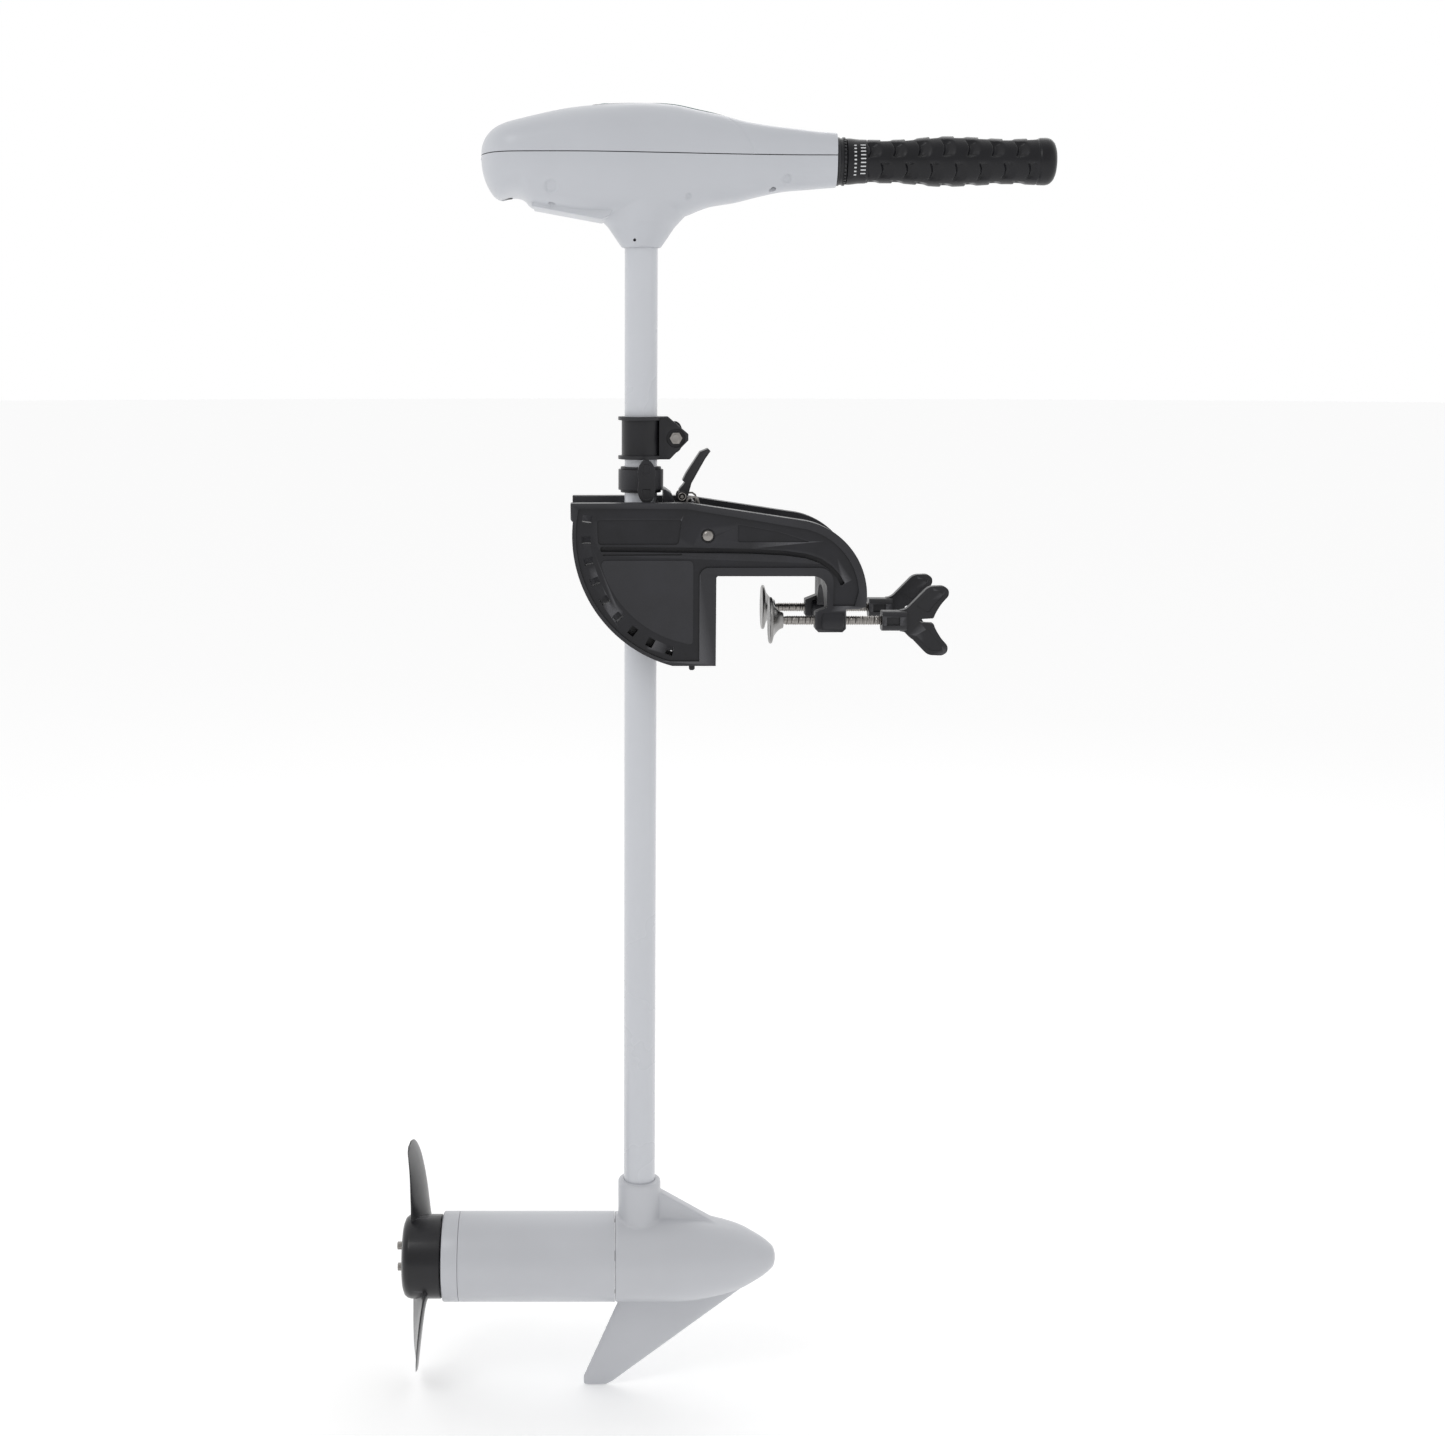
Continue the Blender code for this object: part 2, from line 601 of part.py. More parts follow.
def make_tilt_hinge(look, axis):
    """The casting that swings on the pivot bolt and carries the steering collar."""
    inner = CHEEK_IN - RUN
    collar = rod("tilt_hinge", COLLAR_OUT, COLLAR_Z, COLLAR_Z + COLLAR_HEIGHT, "Z", BARREL)
    hinge = finish("tilt_hinge", collar, (SHAFT_X, 0, 0), look["moulded"], axis)
    beam = prism("hinge_beam", hinge_beam_outline(), -HINGE_BEAM_HALF, HINGE_BEAM_HALF)
    join(hinge, tool("hinge_beam", beam, (0, 0, 0)))
    barrel = rod("hinge_barrel", HINGE_TUBE_R, -inner, inner, "Y", BARREL)
    join(hinge, tool("hinge_barrel", barrel, (PIVOT_X, 0, PIVOT_Z)))
    for side in (-1, 1):
        low, high = sorted((side * (inner - FAN_THICK), side * inner))
        join(hinge, tool("hinge_fan", prism("hinge_fan", fan_outline(), low, high), (0, 0, 0)))
        lug = lever_lug(side)
        join(hinge, lug)
    boss = rod("tension_boss", 0.0062, -COLLAR_OUT - 0.005, -COLLAR_IN - 0.0012, "Y", PIN)
    place = (SHAFT_X + TENSION_OFFSET, 0, COLLAR_Z + COLLAR_HEIGHT / 2)
    join(hinge, tool("tension_boss", boss, place))
    stud = rod("tension_hole", TENSION_STUD_R + RUN, -COLLAR_OUT - 0.006, -COLLAR_IN + 0.004, "Y")
    cut(hinge, tool("tension_hole", stud, place))
    bore = rod("collar_bore", COLLAR_IN, COLLAR_Z - 0.03, COLLAR_Z + 0.03, "Z", BARREL)
    cut(hinge, tool("collar_bore", bore, (SHAFT_X, 0, 0)))
    pin = rod("pivot_bore", PIVOT_BOLT_R + RUN, -inner - 0.001, inner + 0.001, "Y", BARREL)
    cut(hinge, tool("pivot_bore", pin, (PIVOT_X, 0, PIVOT_Z)))
    cut(hinge, guide_slot())
    lever_hole = rod("lever_hole", LEVER_PIN_R + TOUCH, -0.02, 0.02, "Y", PIN)
    cut(hinge, tool("lever_hole", lever_hole, (LEVER_PIN_X, 0, LEVER_PIN_Z)))
    return hinge


def lever_lug(side):
    """One of the two ears that hold the lever's pin."""
    low, high = sorted((side * (LEVER_HALF + TOUCH), side * (LEVER_HALF + TOUCH + LEVER_LUG_T)))
    outline = arc(LEVER_PIN_X, LEVER_PIN_Z, 0.0048, math.radians(-20), math.radians(200), 8)
    outline += [(LEVER_PIN_X - 0.0075, LEVER_PIN_Z - 0.014),
                (LEVER_PIN_X + 0.0005, LEVER_PIN_Z - 0.018)]
    return tool("lever_lug", prism("lever_lug", outline, low, high), (0, 0, 0))


def guide_slot():
    """The slot in both guide plates that keeps the lock bar on its radius."""
    spare = LATCH_R + RUN
    mesh = block("guide_slot", (-LATCH_RELEASED - LATCH_TRAVEL - spare - 0.001, -CHEEK_IN - 0.001,
                                -spare), (-LATCH_RELEASED + spare + 0.001, CHEEK_IN + 0.001, spare))
    mesh.transform(Matrix.Rotation(-SLOT_LOWEST, 4, "Y"))
    return tool("guide_slot", mesh, (PIVOT_X, 0, PIVOT_Z))


def make_liner(look, axis):
    """Flanged bush that the tube turns and slides in."""
    low, high = COLLAR_Z - TOUCH, COLLAR_Z + COLLAR_HEIGHT + TOUCH
    rim = COLLAR_IN + LINER_FLANGE_EXTRA + 0.0008
    profile = [(LINER_IN, low - LINER_FLANGE_T), (rim, low - LINER_FLANGE_T), (rim, low),
               (LINER_OUT, low), (LINER_OUT, high), (rim, high), (rim, high + LINER_FLANGE_T),
               (LINER_IN, high + LINER_FLANGE_T)]
    finish("steering_liner", turned("steering_liner", profile, "Z", BARREL), (SHAFT_X, 0, 0),
           look["bush"], axis)


def lobed_outline(length, width):
    """Outline of a two-lobed wing knob in the XZ plane, its long way up."""
    points = []
    count = 20
    for i in range(count):
        a = 2 * math.pi * i / count
        waist = 1.0 - 0.22 * math.cos(a) ** 2 * (1 - abs(math.sin(a)))
        points.append((width / 2 * math.cos(a) * waist, length / 2 * math.sin(a)))
    return points


def make_tension_knob(look, hinge_axis):
    """Lobed screw that squeezes the steering bush."""
    centre = (SHAFT_X + TENSION_OFFSET, -COLLAR_OUT - 0.0055, COLLAR_Z + COLLAR_HEIGHT / 2)
    axis = empty("tension_knob_axis", centre, hinge_axis)
    lobes = prism("tension_knob", lobed_outline(WING_LENGTH, WING_WIDTH), -0.004 - WING_THICK,
                  -0.004)
    knob = finish("tension_knob", lobes, centre, look["knob"], axis)
    hub = rod("tension_hub", 0.0055, -0.005, 0.0, "Y")
    join(knob, tool("tension_hub", hub, centre))
    stud = rod("tension_stud", TENSION_STUD_R, -0.003, 0.0074, "Y", PIN)
    join(knob, tool("tension_stud", stud, centre))


def make_latch(look, hinge_axis):
    """The lock bar with its two pull rods and their eyes, drawn pulled clear of the slots."""
    x, z = from_pivot(LATCH_RELEASED, SLOT_LOWEST)
    axis = empty("latch_axis", (x, 0, z), hinge_axis)
    reach = CHEEK_IN + CHANNEL_DEPTH - 0.0011
    bar = finish("latch_bar", rod("latch_bar", LATCH_R, -reach, reach, "Y", PIN), (x, 0, z),
                 look["steel"], axis)
    way = Vector((LEVER_FOOT_X - x, 0, LEVER_FOOT_Z - z))
    lean = Matrix.Rotation(math.atan2(way.x, way.z), 4, "Y")
    for side in (-1, 1):
        length = way.length - LATCH_EYE_R - 0.0008
        link = rod("latch_rod", LATCH_ROD_R, 0, length, "Z", PIN)
        link.transform(lean)
        join(bar, tool("latch_rod", link, (x, side * LATCH_ROD_Y, z)))
        eye = tube("latch_eye", LATCH_EYE_R, LATCH_EYE_R + 0.0017, -0.0013, 0.0013, "Y", PIN)
        join(bar, tool("latch_eye", eye, (LEVER_FOOT_X, side * LATCH_ROD_Y, LEVER_FOOT_Z)))


def make_lever(look, hinge_axis):
    """Release lever: a thumb paddle over a narrow neck, with a cross foot in the rods' eyes."""
    pin = (LEVER_PIN_X, 0, LEVER_PIN_Z)
    axis = empty("lever_axis", pin, hinge_axis)
    lean = math.radians(28)
    up = Vector((math.sin(lean), 0, math.cos(lean)))
    out = Vector((math.cos(lean), 0, -math.sin(lean)))

    def at(along, across):
        spot = up * along + out * across
        return spot.x, spot.z

    end = LEVER_LENGTH
    profile = [at(-0.0045, -0.001), at(0.004, -0.0048), at(0.012, -0.0032), at(0.0125, -0.006),
               at(0.020, -0.0062), at(end - 0.006, -0.0042), at(end, 0.0008),
               at(end - 0.001, 0.0036), at(end - 0.010, 0.0026), at(0.014, 0.0022),
               at(0.003, 0.0048), at(-0.0035, 0.0035)]
    paddle = prism("tilt_lever", profile, -LEVER_HALF, LEVER_HALF)
    lever = finish("tilt_lever", paddle, pin, look["moulded"], axis)
    foot_x, foot_z = LEVER_FOOT_X - LEVER_PIN_X, LEVER_FOOT_Z - LEVER_PIN_Z
    arm_y = LEVER_HALF - 0.002
    arm = prism("lever_arm", [(-0.001, 0.0025), (-0.001, -0.0025), (foot_x, foot_z - 0.0017),
                              (foot_x + 0.0017, foot_z), (foot_x, foot_z + 0.0017)], -arm_y, arm_y)
    join(lever, tool("lever_arm", arm, pin))
    reach = LATCH_ROD_Y + 0.002
    foot = rod("lever_foot", LEVER_FOOT_R, -reach, reach, "Y", PIN)
    join(lever, tool("lever_foot", foot, (LEVER_FOOT_X, 0, LEVER_FOOT_Z)))
    bore = rod("lever_bore", LEVER_PIN_R + RUN, -0.02, 0.02, "Y", PIN)
    cut(lever, tool("lever_bore", bore, pin))
    lug_out = LEVER_HALF + TOUCH + LEVER_LUG_T
    finish("lever_pin", rod("lever_pin", LEVER_PIN_R, -lug_out - 0.0025, lug_out + 0.001, "Y", PIN),
           pin, look["steel"], hinge_axis)
    make_lever_spring(look, hinge_axis, lug_out)


def make_lever_spring(look, hinge_axis, lug_out):
    """Coil of spring wire round the free end of the lever's pin."""
    turns, per_turn = 2, 12
    coil_r = LEVER_PIN_R + SPRING_WIRE_R + 0.0006
    start = lug_out + 0.0006 + SPRING_WIRE_R - 0.0005
    curve = bpy.data.curves.new("lever_spring", "CURVE")
    curve.dimensions = "3D"
    curve.bevel_depth = SPRING_WIRE_R
    curve.bevel_resolution = 1
    curve.use_fill_caps = True
    line = curve.splines.new("POLY")
    count = turns * per_turn + 1
    line.points.add(count - 1)
    for i, point in enumerate(line.points):
        a = 2 * math.pi * i / per_turn
        y = -(start + i * 0.0016 / per_turn)
        point.co = (coil_r * math.cos(a), y, coil_r * math.sin(a), 1.0)
    obj = bpy.data.objects.new("lever_spring", curve)
    PIECES.objects.link(obj)
    hang(obj, (LEVER_PIN_X, 0, LEVER_PIN_Z), hinge_axis)
    curve.materials.append(look["steel"])


def make_depth_collar(look, steer_axis):
    """Split clamp ring on the tube, with its screw and wing knob."""
    low, high = DEPTH_Z, DEPTH_Z + DEPTH_HEIGHT
    rim = DEPTH_OUT + DEPTH_FLANGE_EXTRA
    profile = [(DEPTH_IN, low), (rim, low), (rim, low + DEPTH_FLANGE_T),
               (DEPTH_OUT, low + DEPTH_FLANGE_T), (DEPTH_OUT, high - DEPTH_FLANGE_T),
               (rim, high - DEPTH_FLANGE_T), (rim, high), (DEPTH_IN, high)]
    ring = finish("depth_collar", turned("depth_collar", profile, "Z", BARREL), (SHAFT_X, 0, 0),
                  look["moulded"], steer_axis)
    middle = (low + high) / 2
    ear = [(DEPTH_IN + 0.001, high), (EAR_REACH - 0.018, high), (EAR_REACH, middle + 0.0035),
           (EAR_REACH, middle - 0.002), (EAR_REACH - 0.0165, low), (DEPTH_IN + 0.001, low)]
    join(ring, tool("ear", prism("ear", ear, -EAR_HALF, EAR_HALF), (SHAFT_X, 0, 0)))
    split = block("ear_split", (0.005, -EAR_SPLIT / 2, low - 0.001),
                  (EAR_REACH + 0.001, EAR_SPLIT / 2, high + 0.001))
    bore = rod("depth_bore", DEPTH_IN, low - 0.001, high + 0.001, "Z", BARREL)
    for mesh in (split, bore):
        cut(ring, tool(mesh.name, mesh, (SHAFT_X, 0, 0)))
    place = (SHAFT_X + DEPTH_SCREW_REACH, 0, middle)
    hole = rod("depth_hole", DEPTH_SCREW_R + TOUCH, -0.02, 0.02, "Y", PIN)
    cut(ring, tool("depth_hole", hole, place))
    sink = rod("depth_sink", 0.0082, -EAR_HALF - 0.001, -EAR_HALF + 0.002, "Y", BARREL)
    cut(ring, tool("depth_sink", sink, place))
    make_depth_screw(look, steer_axis, place)


def make_depth_screw(look, steer_axis, place):
    """Clamp screw of the depth collar with its hexagon head, and the wing knob on its thread."""
    seat = -EAR_HALF + 0.002 - TOUCH
    head = [(0, seat - 0.0042), (0.0052, seat - 0.0042), (0.0056, seat - 0.0036), (0.0056, seat),
            (0, seat)]
    screw = finish("depth_screw", turned("depth_screw", head, "Y", 6), place, look["steel"],
                   steer_axis, smooth=False)
    shank = rod("depth_shank", DEPTH_SCREW_R, seat - 0.001, EAR_HALF + 0.010, "Y", PIN)
    join(screw, tool("depth_shank", shank, place))
    axis = empty("depth_knob_axis", place, steer_axis)
    start = EAR_HALF + TOUCH
    wing = lobed_outline(DEPTH_WING_LENGTH, WING_WIDTH * 0.8)
    knob = finish("depth_knob", prism("depth_knob", wing, start + 0.003, start + 0.003 + WING_THICK),
                  place, look["knob"], axis)
    join(knob, tool("depth_hub", rod("depth_hub", 0.0062, start, start + 0.004, "Y"), place))
    bore = rod("depth_knob_bore", DEPTH_SCREW_R + TOUCH, start - 0.001, EAR_HALF + 0.0104, "Y", PIN)
    cut(knob, tool("depth_knob_bore", bore, place))


# ================================================================ tube and control head
def head_top(x):
    """Height of the cover's crown along the head."""
    return SEAM_Z + eased([(HEAD_REAR, 0.006), (HEAD_REAR + 0.011, 0.023), (HEAD_REAR + 0.032, 0.0306),
                           (-0.131, 0.0398), (-0.063, 0.0449), (-0.016, 0.0392), (0.045, 0.0266),
                           (HEAD_NOSE, 0.0200)], x)


def head_bottom(x):
    """Height of the housing's keel along the head, without the neck."""
    return SEAM_Z - eased([(HEAD_REAR, 0.014), (HEAD_REAR + 0.011, 0.0356), (-0.162, 0.0424),
                           (-0.110, 0.0519), (-0.065, 0.0535), (-0.016, 0.0459), (0.057, 0.0297),
                           (HEAD_NOSE, 0.0260)], x)


def head_half_width(x):
    """Half width of the head in plan."""
    return eased([(HEAD_REAR, 0.62 * HEAD_HALF_WIDTH), (HEAD_REAR + 0.012, 0.86 * HEAD_HALF_WIDTH),
                  (-0.155, HEAD_HALF_WIDTH), (-0.105, 0.97 * HEAD_HALF_WIDTH),
                  (-0.045, 0.76 * HEAD_HALF_WIDTH), (0.015, 0.52 * HEAD_HALF_WIDTH),
                  (0.065, NOSE_HALF_WIDTH * 1.06), (HEAD_NOSE, NOSE_HALF_WIDTH)], x)


def head_section(x, grow, count=24):
    """Cross-section of the head at x, grown outwards by grow."""
    top, bottom = head_top(x) - SEAM_Z + grow, SEAM_Z - head_bottom(x) + grow
    half = head_half_width(x) + grow
    points = []
    for i in range(count):
        a = 2 * math.pi * i / count
        c, s = math.cos(a), math.sin(a)
        square = 0.80 if s >= 0 else 0.74
        y = half * math.copysign(abs(c) ** square, c)
        z = (top if s >= 0 else bottom) * math.copysign(abs(s) ** square, s)
        points.append((x, y, SEAM_Z + z))
    return points


def head_body(name, grow, rear_cut=0.0, nose_cut=0.0):
    """The head's full rounded body, grown or shrunk by grow."""
    start, end = HEAD_REAR - grow + rear_cut, HEAD_NOSE - nose_cut
    places = [start, start + 0.003, start + 0.008, start + 0.016]
    steps = 11
    places += [start + 0.028 + (end - start - 0.028) * i / steps for i in range(steps + 1)]
    return loft(name, [head_section(x, grow) for x in places])


def cover_screw_spots():
    """Where the four screws go that hold the shells together."""
    return {"rear_near": (-0.1426, -0.036), "rear_far": (-0.1426, 0.036),
            "front_near": (0.048, -0.0135), "front_far": (0.048, 0.0135)}


def make_shells(look, depth_axis):
    """Lower housing and top cover of the control head."""
    outer_low = head_body("head_housing", 0.0)
    outer_high = head_body("head_cover", 0.0)
    housing = finish("head_housing", outer_low, (0, 0, 0), look["shell"], depth_axis)
    cover = finish("head_cover", outer_high, (0, 0, 0), look["shell"], depth_axis)
    gap = TOUCH / 2
    span_low = block("below_seam", (-0.4, -0.2, SEAM_Z - 0.3), (0.4, 0.2, SEAM_Z - gap))
    span_high = block("above_seam", (-0.4, -0.2, SEAM_Z + gap), (0.4, 0.2, SEAM_Z + 0.3))
    keep(housing, tool("below_seam", span_low, (0, 0, 0)))
    keep(cover, tool("above_seam", span_high, (0, 0, 0)))
    flare = [(0, NECK_Z), (NECK_R, NECK_Z), (NECK_R + 0.0045, NECK_Z + 0.0055),
             (NECK_R + 0.0110, NECK_Z + 0.0155), (NECK_FLARE_R - 0.0035, NECK_Z + 0.0225),
             (NECK_FLARE_R + 0.002, NECK_Z + NECK_FLARE_HEIGHT), (0, NECK_Z + NECK_FLARE_HEIGHT)]
    join(housing, tool("neck_flare", turned("neck_flare", flare, "Z", BARREL), (SHAFT_X, 0, 0)))
    inside = tool("head_inside", head_body("head_inside", -HEAD_WALL, 0.001, 0.004), (0, 0, 0))
    cut(housing, inside)
    cut(cover, inside)
    sleeve = rod("neck_sleeve", SHAFT_R + 0.0032, NECK_Z + 0.012, NECK_Z + SOCKET_DEPTH + 0.004,
                 "Z", BARREL)
    join(housing, tool("neck_sleeve", sleeve, (SHAFT_X, 0, 0)))
    for x, y in cover_screw_spots().values():
        join_screw_posts(housing, cover, x, y)
    socket_r, wire_r, stop = SHAFT_R + TOUCH, SHAFT_R - SHAFT_WALL, NECK_Z + SOCKET_DEPTH
    socket = [(0, NECK_Z - 0.001), (socket_r, NECK_Z - 0.001), (socket_r, stop), (wire_r, stop),
              (wire_r, stop + 0.01), (0, stop + 0.01)]
    socket_mesh = turned("neck_socket", socket, "Z", BARREL, math.radians(4))
    cut(housing, tool("neck_socket", socket_mesh, (SHAFT_X, 0, 0)))
    for label, (x, y) in cover_screw_spots().items():
        place_cover_screw(housing, cover, x, y, label, look, depth_axis)
    nose = rod("nose_bore", TILLER_TUBE_R + RUN, TILLER_TUBE_START, HEAD_NOSE + 0.002, "X", BARREL)
    for shell in (housing, cover):
        cut(shell, tool("nose_bore", nose, (0, 0, TILLER_Z)))
    gland = rod("gland_hole", 0.0048, head_bottom(HEAD_REAR + 0.021) - 0.01, SEAM_Z - 0.02, "Z", PIN)
    cut(housing, tool("gland_hole", gland, (HEAD_REAR + 0.021, 0, 0)))
    return cover


def join_screw_posts(housing, cover, x, y):
    """A post in each shell for one screw."""
    arch = (1 - (abs(y) / head_half_width(x)) ** 2.5) ** 0.4
    roof = SEAM_Z + (head_top(x) - SEAM_Z) * arch - HEAD_WALL * 0.5
    floor = SEAM_Z - (SEAM_Z - head_bottom(x)) * arch + HEAD_WALL * 0.5
    low = rod("post_low", BOSS_R, floor, SEAM_Z - TOUCH / 2, "Z", PIN)
    high = rod("post_high", BOSS_R - 0.002, SEAM_Z + TOUCH / 2, roof, "Z", PIN)
    join(housing, tool("post_low", low, (x, y, 0)))
    join(cover, tool("post_high", high, (x, y, 0)))


def place_cover_screw(housing, cover, x, y, label, look, depth_axis):
    """The stepped hole for one screw, and the screw, which is driven from below."""
    head_z = SEAM_Z - 0.014
    sink_r, way_r, way_top = COVER_SCREW_HEAD_R + 0.0006, COVER_SCREW_R + TOUCH, SEAM_Z + 0.0105
    below = head_bottom(x) - 0.01
    way = [(0, below), (sink_r, below), (sink_r, head_z), (way_r, head_z), (way_r, way_top),
           (0, way_top)]
    way_mesh = turned("screw_way", way, "Z", PIN, math.radians(5))
    for shell in (housing, cover):
        cut(shell, tool("screw_way", way_mesh, (x, y, 0)))
    top = head_z - TOUCH
    body = [(0, top - 0.003), (COVER_SCREW_HEAD_R * 0.8, top - 0.003),
            (COVER_SCREW_HEAD_R, top - 0.0018), (COVER_SCREW_HEAD_R, top), (COVER_SCREW_R, top),
            (COVER_SCREW_R, SEAM_Z + 0.010), (0, SEAM_Z + 0.010)]
    finish(f"cover_screw_{label}", turned("cover_screw", body, "Z", PIN), (x, y, 0), look["steel"],
           depth_axis)


def status_outline(grow):
    """Oval of the status panel."""
    return [((STATUS_LENGTH / 2 + grow) * math.cos(2 * math.pi * i / BARREL) + STATUS_X,
             (STATUS_WIDTH / 2 + grow) * math.sin(2 * math.pi * i / BARREL)) for i in range(BARREL)]


def button_outline(grow):
    """Trapezoid of the button panel, narrow end at the oval."""
    front, back = BUTTON_PANEL_X + grow, BUTTON_PANEL_X - BUTTON_PANEL_LENGTH - grow
    narrow, wide = BUTTON_PANEL_NARROW / 2 + grow, BUTTON_PANEL_WIDE / 2 + grow
    return [(front, -narrow), (front, narrow), (back, wide), (back, -wide)]


def make_panels(look, depth_axis, cover):
    """The two inlaid panels on the cover, in pockets that follow its crown."""
    bottom, top = SEAM_Z + 0.012, SEAM_Z + 0.08
    for name, outline in (("status_panel", status_outline), ("button_panel", button_outline)):
        pocket = tool(f"{name}_pocket", prism("pocket", outline(TOUCH), bottom, top, "XY"), (0, 0, 0))
        cut(pocket, tool(f"{name}_floor", head_body("floor", -PANEL_T - TOUCH), (0, 0, 0)))
        cut(cover, pocket)
        panel = finish(name, head_body(name, 0.0), (0, 0, 0), look["panel"], depth_axis)
        keep(panel, tool(f"{name}_rim", prism("rim", outline(0.0), bottom, top, "XY"), (0, 0, 0)))
        cut(panel, tool(f"{name}_back", head_body("back", -PANEL_T), (0, 0, 0)))
        if name == "button_panel":
            hole = rod("button_hole", BUTTON_R + RUN, bottom, top, "Z", BARREL)
            for pierced in (panel, cover):
                cut(pierced, tool("button_hole", hole, (BUTTON_X, 0, 0)))
    axis = empty("test_button_axis", (BUTTON_X, 0, head_top(BUTTON_X)), depth_axis)
    body = [(0, -0.006), (BUTTON_R, -0.006), (BUTTON_R, BUTTON_PROUD - 0.0006),
            (BUTTON_R - 0.0008, BUTTON_PROUD), (0, BUTTON_PROUD)]
    finish("test_button", turned("test_button", body, "Z", BARREL), (BUTTON_X, 0, head_top(BUTTON_X)),
           look["button"], axis)


def make_head_inside(look, depth_axis):
    """Circuit board, speed switch and cable gland."""
    board_z = SEAM_Z - 0.008
    board = block("control_board", (-0.048, -0.021, board_z), (0.014, 0.021, board_z + 0.0016))
    finish("control_board", board, (0, 0, 0), look["board"], depth_axis, smooth=False)
    start = TILLER_TUBE_START - 0.040
    switch = [(0, start), (0.0125, start), (0.0125, start + 0.014), (0.0060, start + 0.015),
              (0.0060, TILLER_TUBE_START - TOUCH), (0, TILLER_TUBE_START - TOUCH)]
    finish("speed_switch", turned("speed_switch", switch, "X", BARREL), (0, 0, TILLER_Z), look["knob"],
           depth_axis)
    wall = head_bottom(HEAD_REAR + 0.021)
    lip, bore = 0.0068, 0.0032
    gland = [(bore, wall - 0.0075), (lip - 0.0015, wall - 0.0075), (lip, wall - 0.0030),
             (0.0045, wall - 0.0020), (0.0045, wall + 0.0075), (bore, wall + 0.0075)]
    finish("cable_gland", turned("cable_gland", gland, "Z", PIN), (HEAD_REAR + 0.021, 0, 0),
           look["rubber"], depth_axis)


def make_tube(look, depth_axis):
    """The long tube from the head's neck to the lower unit's socket."""
    bottom = MOTOR_Z + MOTOR_R - 0.004
    top = NECK_Z + SOCKET_DEPTH - TOUCH
    finish("shaft_tube", tube("shaft_tube", SHAFT_R - SHAFT_WALL, SHAFT_R, bottom, top, "Z", BARREL),
           (SHAFT_X, 0, 0), look["tube"], depth_axis)


def make_tiller(look, depth_axis):
    """Nose ring, twist tube and the grip that slides on it."""
    ring_start = HEAD_NOSE + TOUCH
    ring = [(TILLER_TUBE_R + RUN, ring_start), (RING_R - 0.001, ring_start),
            (RING_R, ring_start + 0.001), (RING_R, ring_start + RING_LENGTH - 0.001),
            (RING_R - 0.001, ring_start + RING_LENGTH), (TILLER_TUBE_R + RUN, ring_start + RING_LENGTH)]
    finish("nose_ring", turned("nose_ring", ring, "X", BARREL), (0, 0, TILLER_Z), look["knob"], depth_axis)
    twist = empty("twist_axis", (ring_start, 0, TILLER_Z), depth_axis)
    bar = tube("tiller_tube", TILLER_TUBE_R - TILLER_TUBE_WALL, TILLER_TUBE_R, TILLER_TUBE_START,
               TILLER_TUBE_END, "X", BARREL)
    finish("tiller_tube", bar, (0, 0, TILLER_Z), look["knob"], twist)
    slide = empty("grip_axis", (ring_start, 0, TILLER_Z), twist)
    start = ring_start + RING_LENGTH + RUN
    end = start + GRIP_LENGTH
    bore = TILLER_TUBE_R + RUN
    skin = [(start, GRIP_END_R - 0.0008), (start + 0.012, GRIP_R), (start + 0.048, GRIP_R),
            (start + 0.083, GRIP_SWELL_R), (start + 0.112, 0.0208), (start + 0.140, 0.0193),
            (start + 0.160, 0.0197), (end - 0.011, GRIP_END_R), (end - 0.004, 0.0165),
            (end - 0.001, 0.009)]
    profile = [(bore, start)] + [(r, x) for x, r in skin] \
        + [(0, end), (0, TILLER_TUBE_END + 0.004), (bore, TILLER_TUBE_END + 0.004)]
    finish("tiller_grip", grip_mesh(profile), (0, 0, TILLER_Z), look["rubber"], slide)


def grip_mesh(profile):
    """The grip turned as an outer skin and a blind bore, closed at the mouth."""
    bm = bmesh.new()
    sides = BARREL
    rings = []
    for radius, x in profile:
        if radius < 1e-9:
            rings.append([bm.verts.new((x, 0, 0))])
        else:
            rings.append([bm.verts.new((x, radius * math.cos(2 * math.pi * i / sides),
                                        radius * math.sin(2 * math.pi * i / sides)))
                          for i in range(sides)])
    for low, high in zip(rings, rings[1:]):
        if len(low) > 1 or len(high) > 1:
            skin_rings(bm, low, high)
    skin_rings(bm, rings[-1], rings[0])
    return to_mesh(bm, "tiller_grip")


# ================================================================ lower unit
def nose_profile():
    """Turned outline of the nose housing along the motor's axis, hollow from the back."""
    cone_start = NOSE_SEAM_X + NOSE_STRAIGHT
    cone = [(MOTOR_R * math.sqrt(max(0.0, 1 - (i / 8) ** 2)), cone_start + NOSE_CONE * i / 8)
            for i in range(1, 8)]
    inner = bolt_circle() - THROUGH_BOLT_R - 0.002
    seat = BEARING_R + TOUCH
    boss_x = NOSE_SEAM_X + NOSE_CAVITY
    return [(inner, NOSE_SEAM_X), (MOTOR_R, NOSE_SEAM_X), (MOTOR_R, cone_start)] + cone \
        + [(0, cone_start + NOSE_CONE), (0, boss_x + BEARING_WIDTH + 0.004),
           (0.0072, boss_x + BEARING_WIDTH + 0.004), (0.0072, boss_x + BEARING_WIDTH + 0.0005),
           (seat, boss_x + BEARING_WIDTH + 0.0005), (seat, boss_x), (inner, boss_x)]


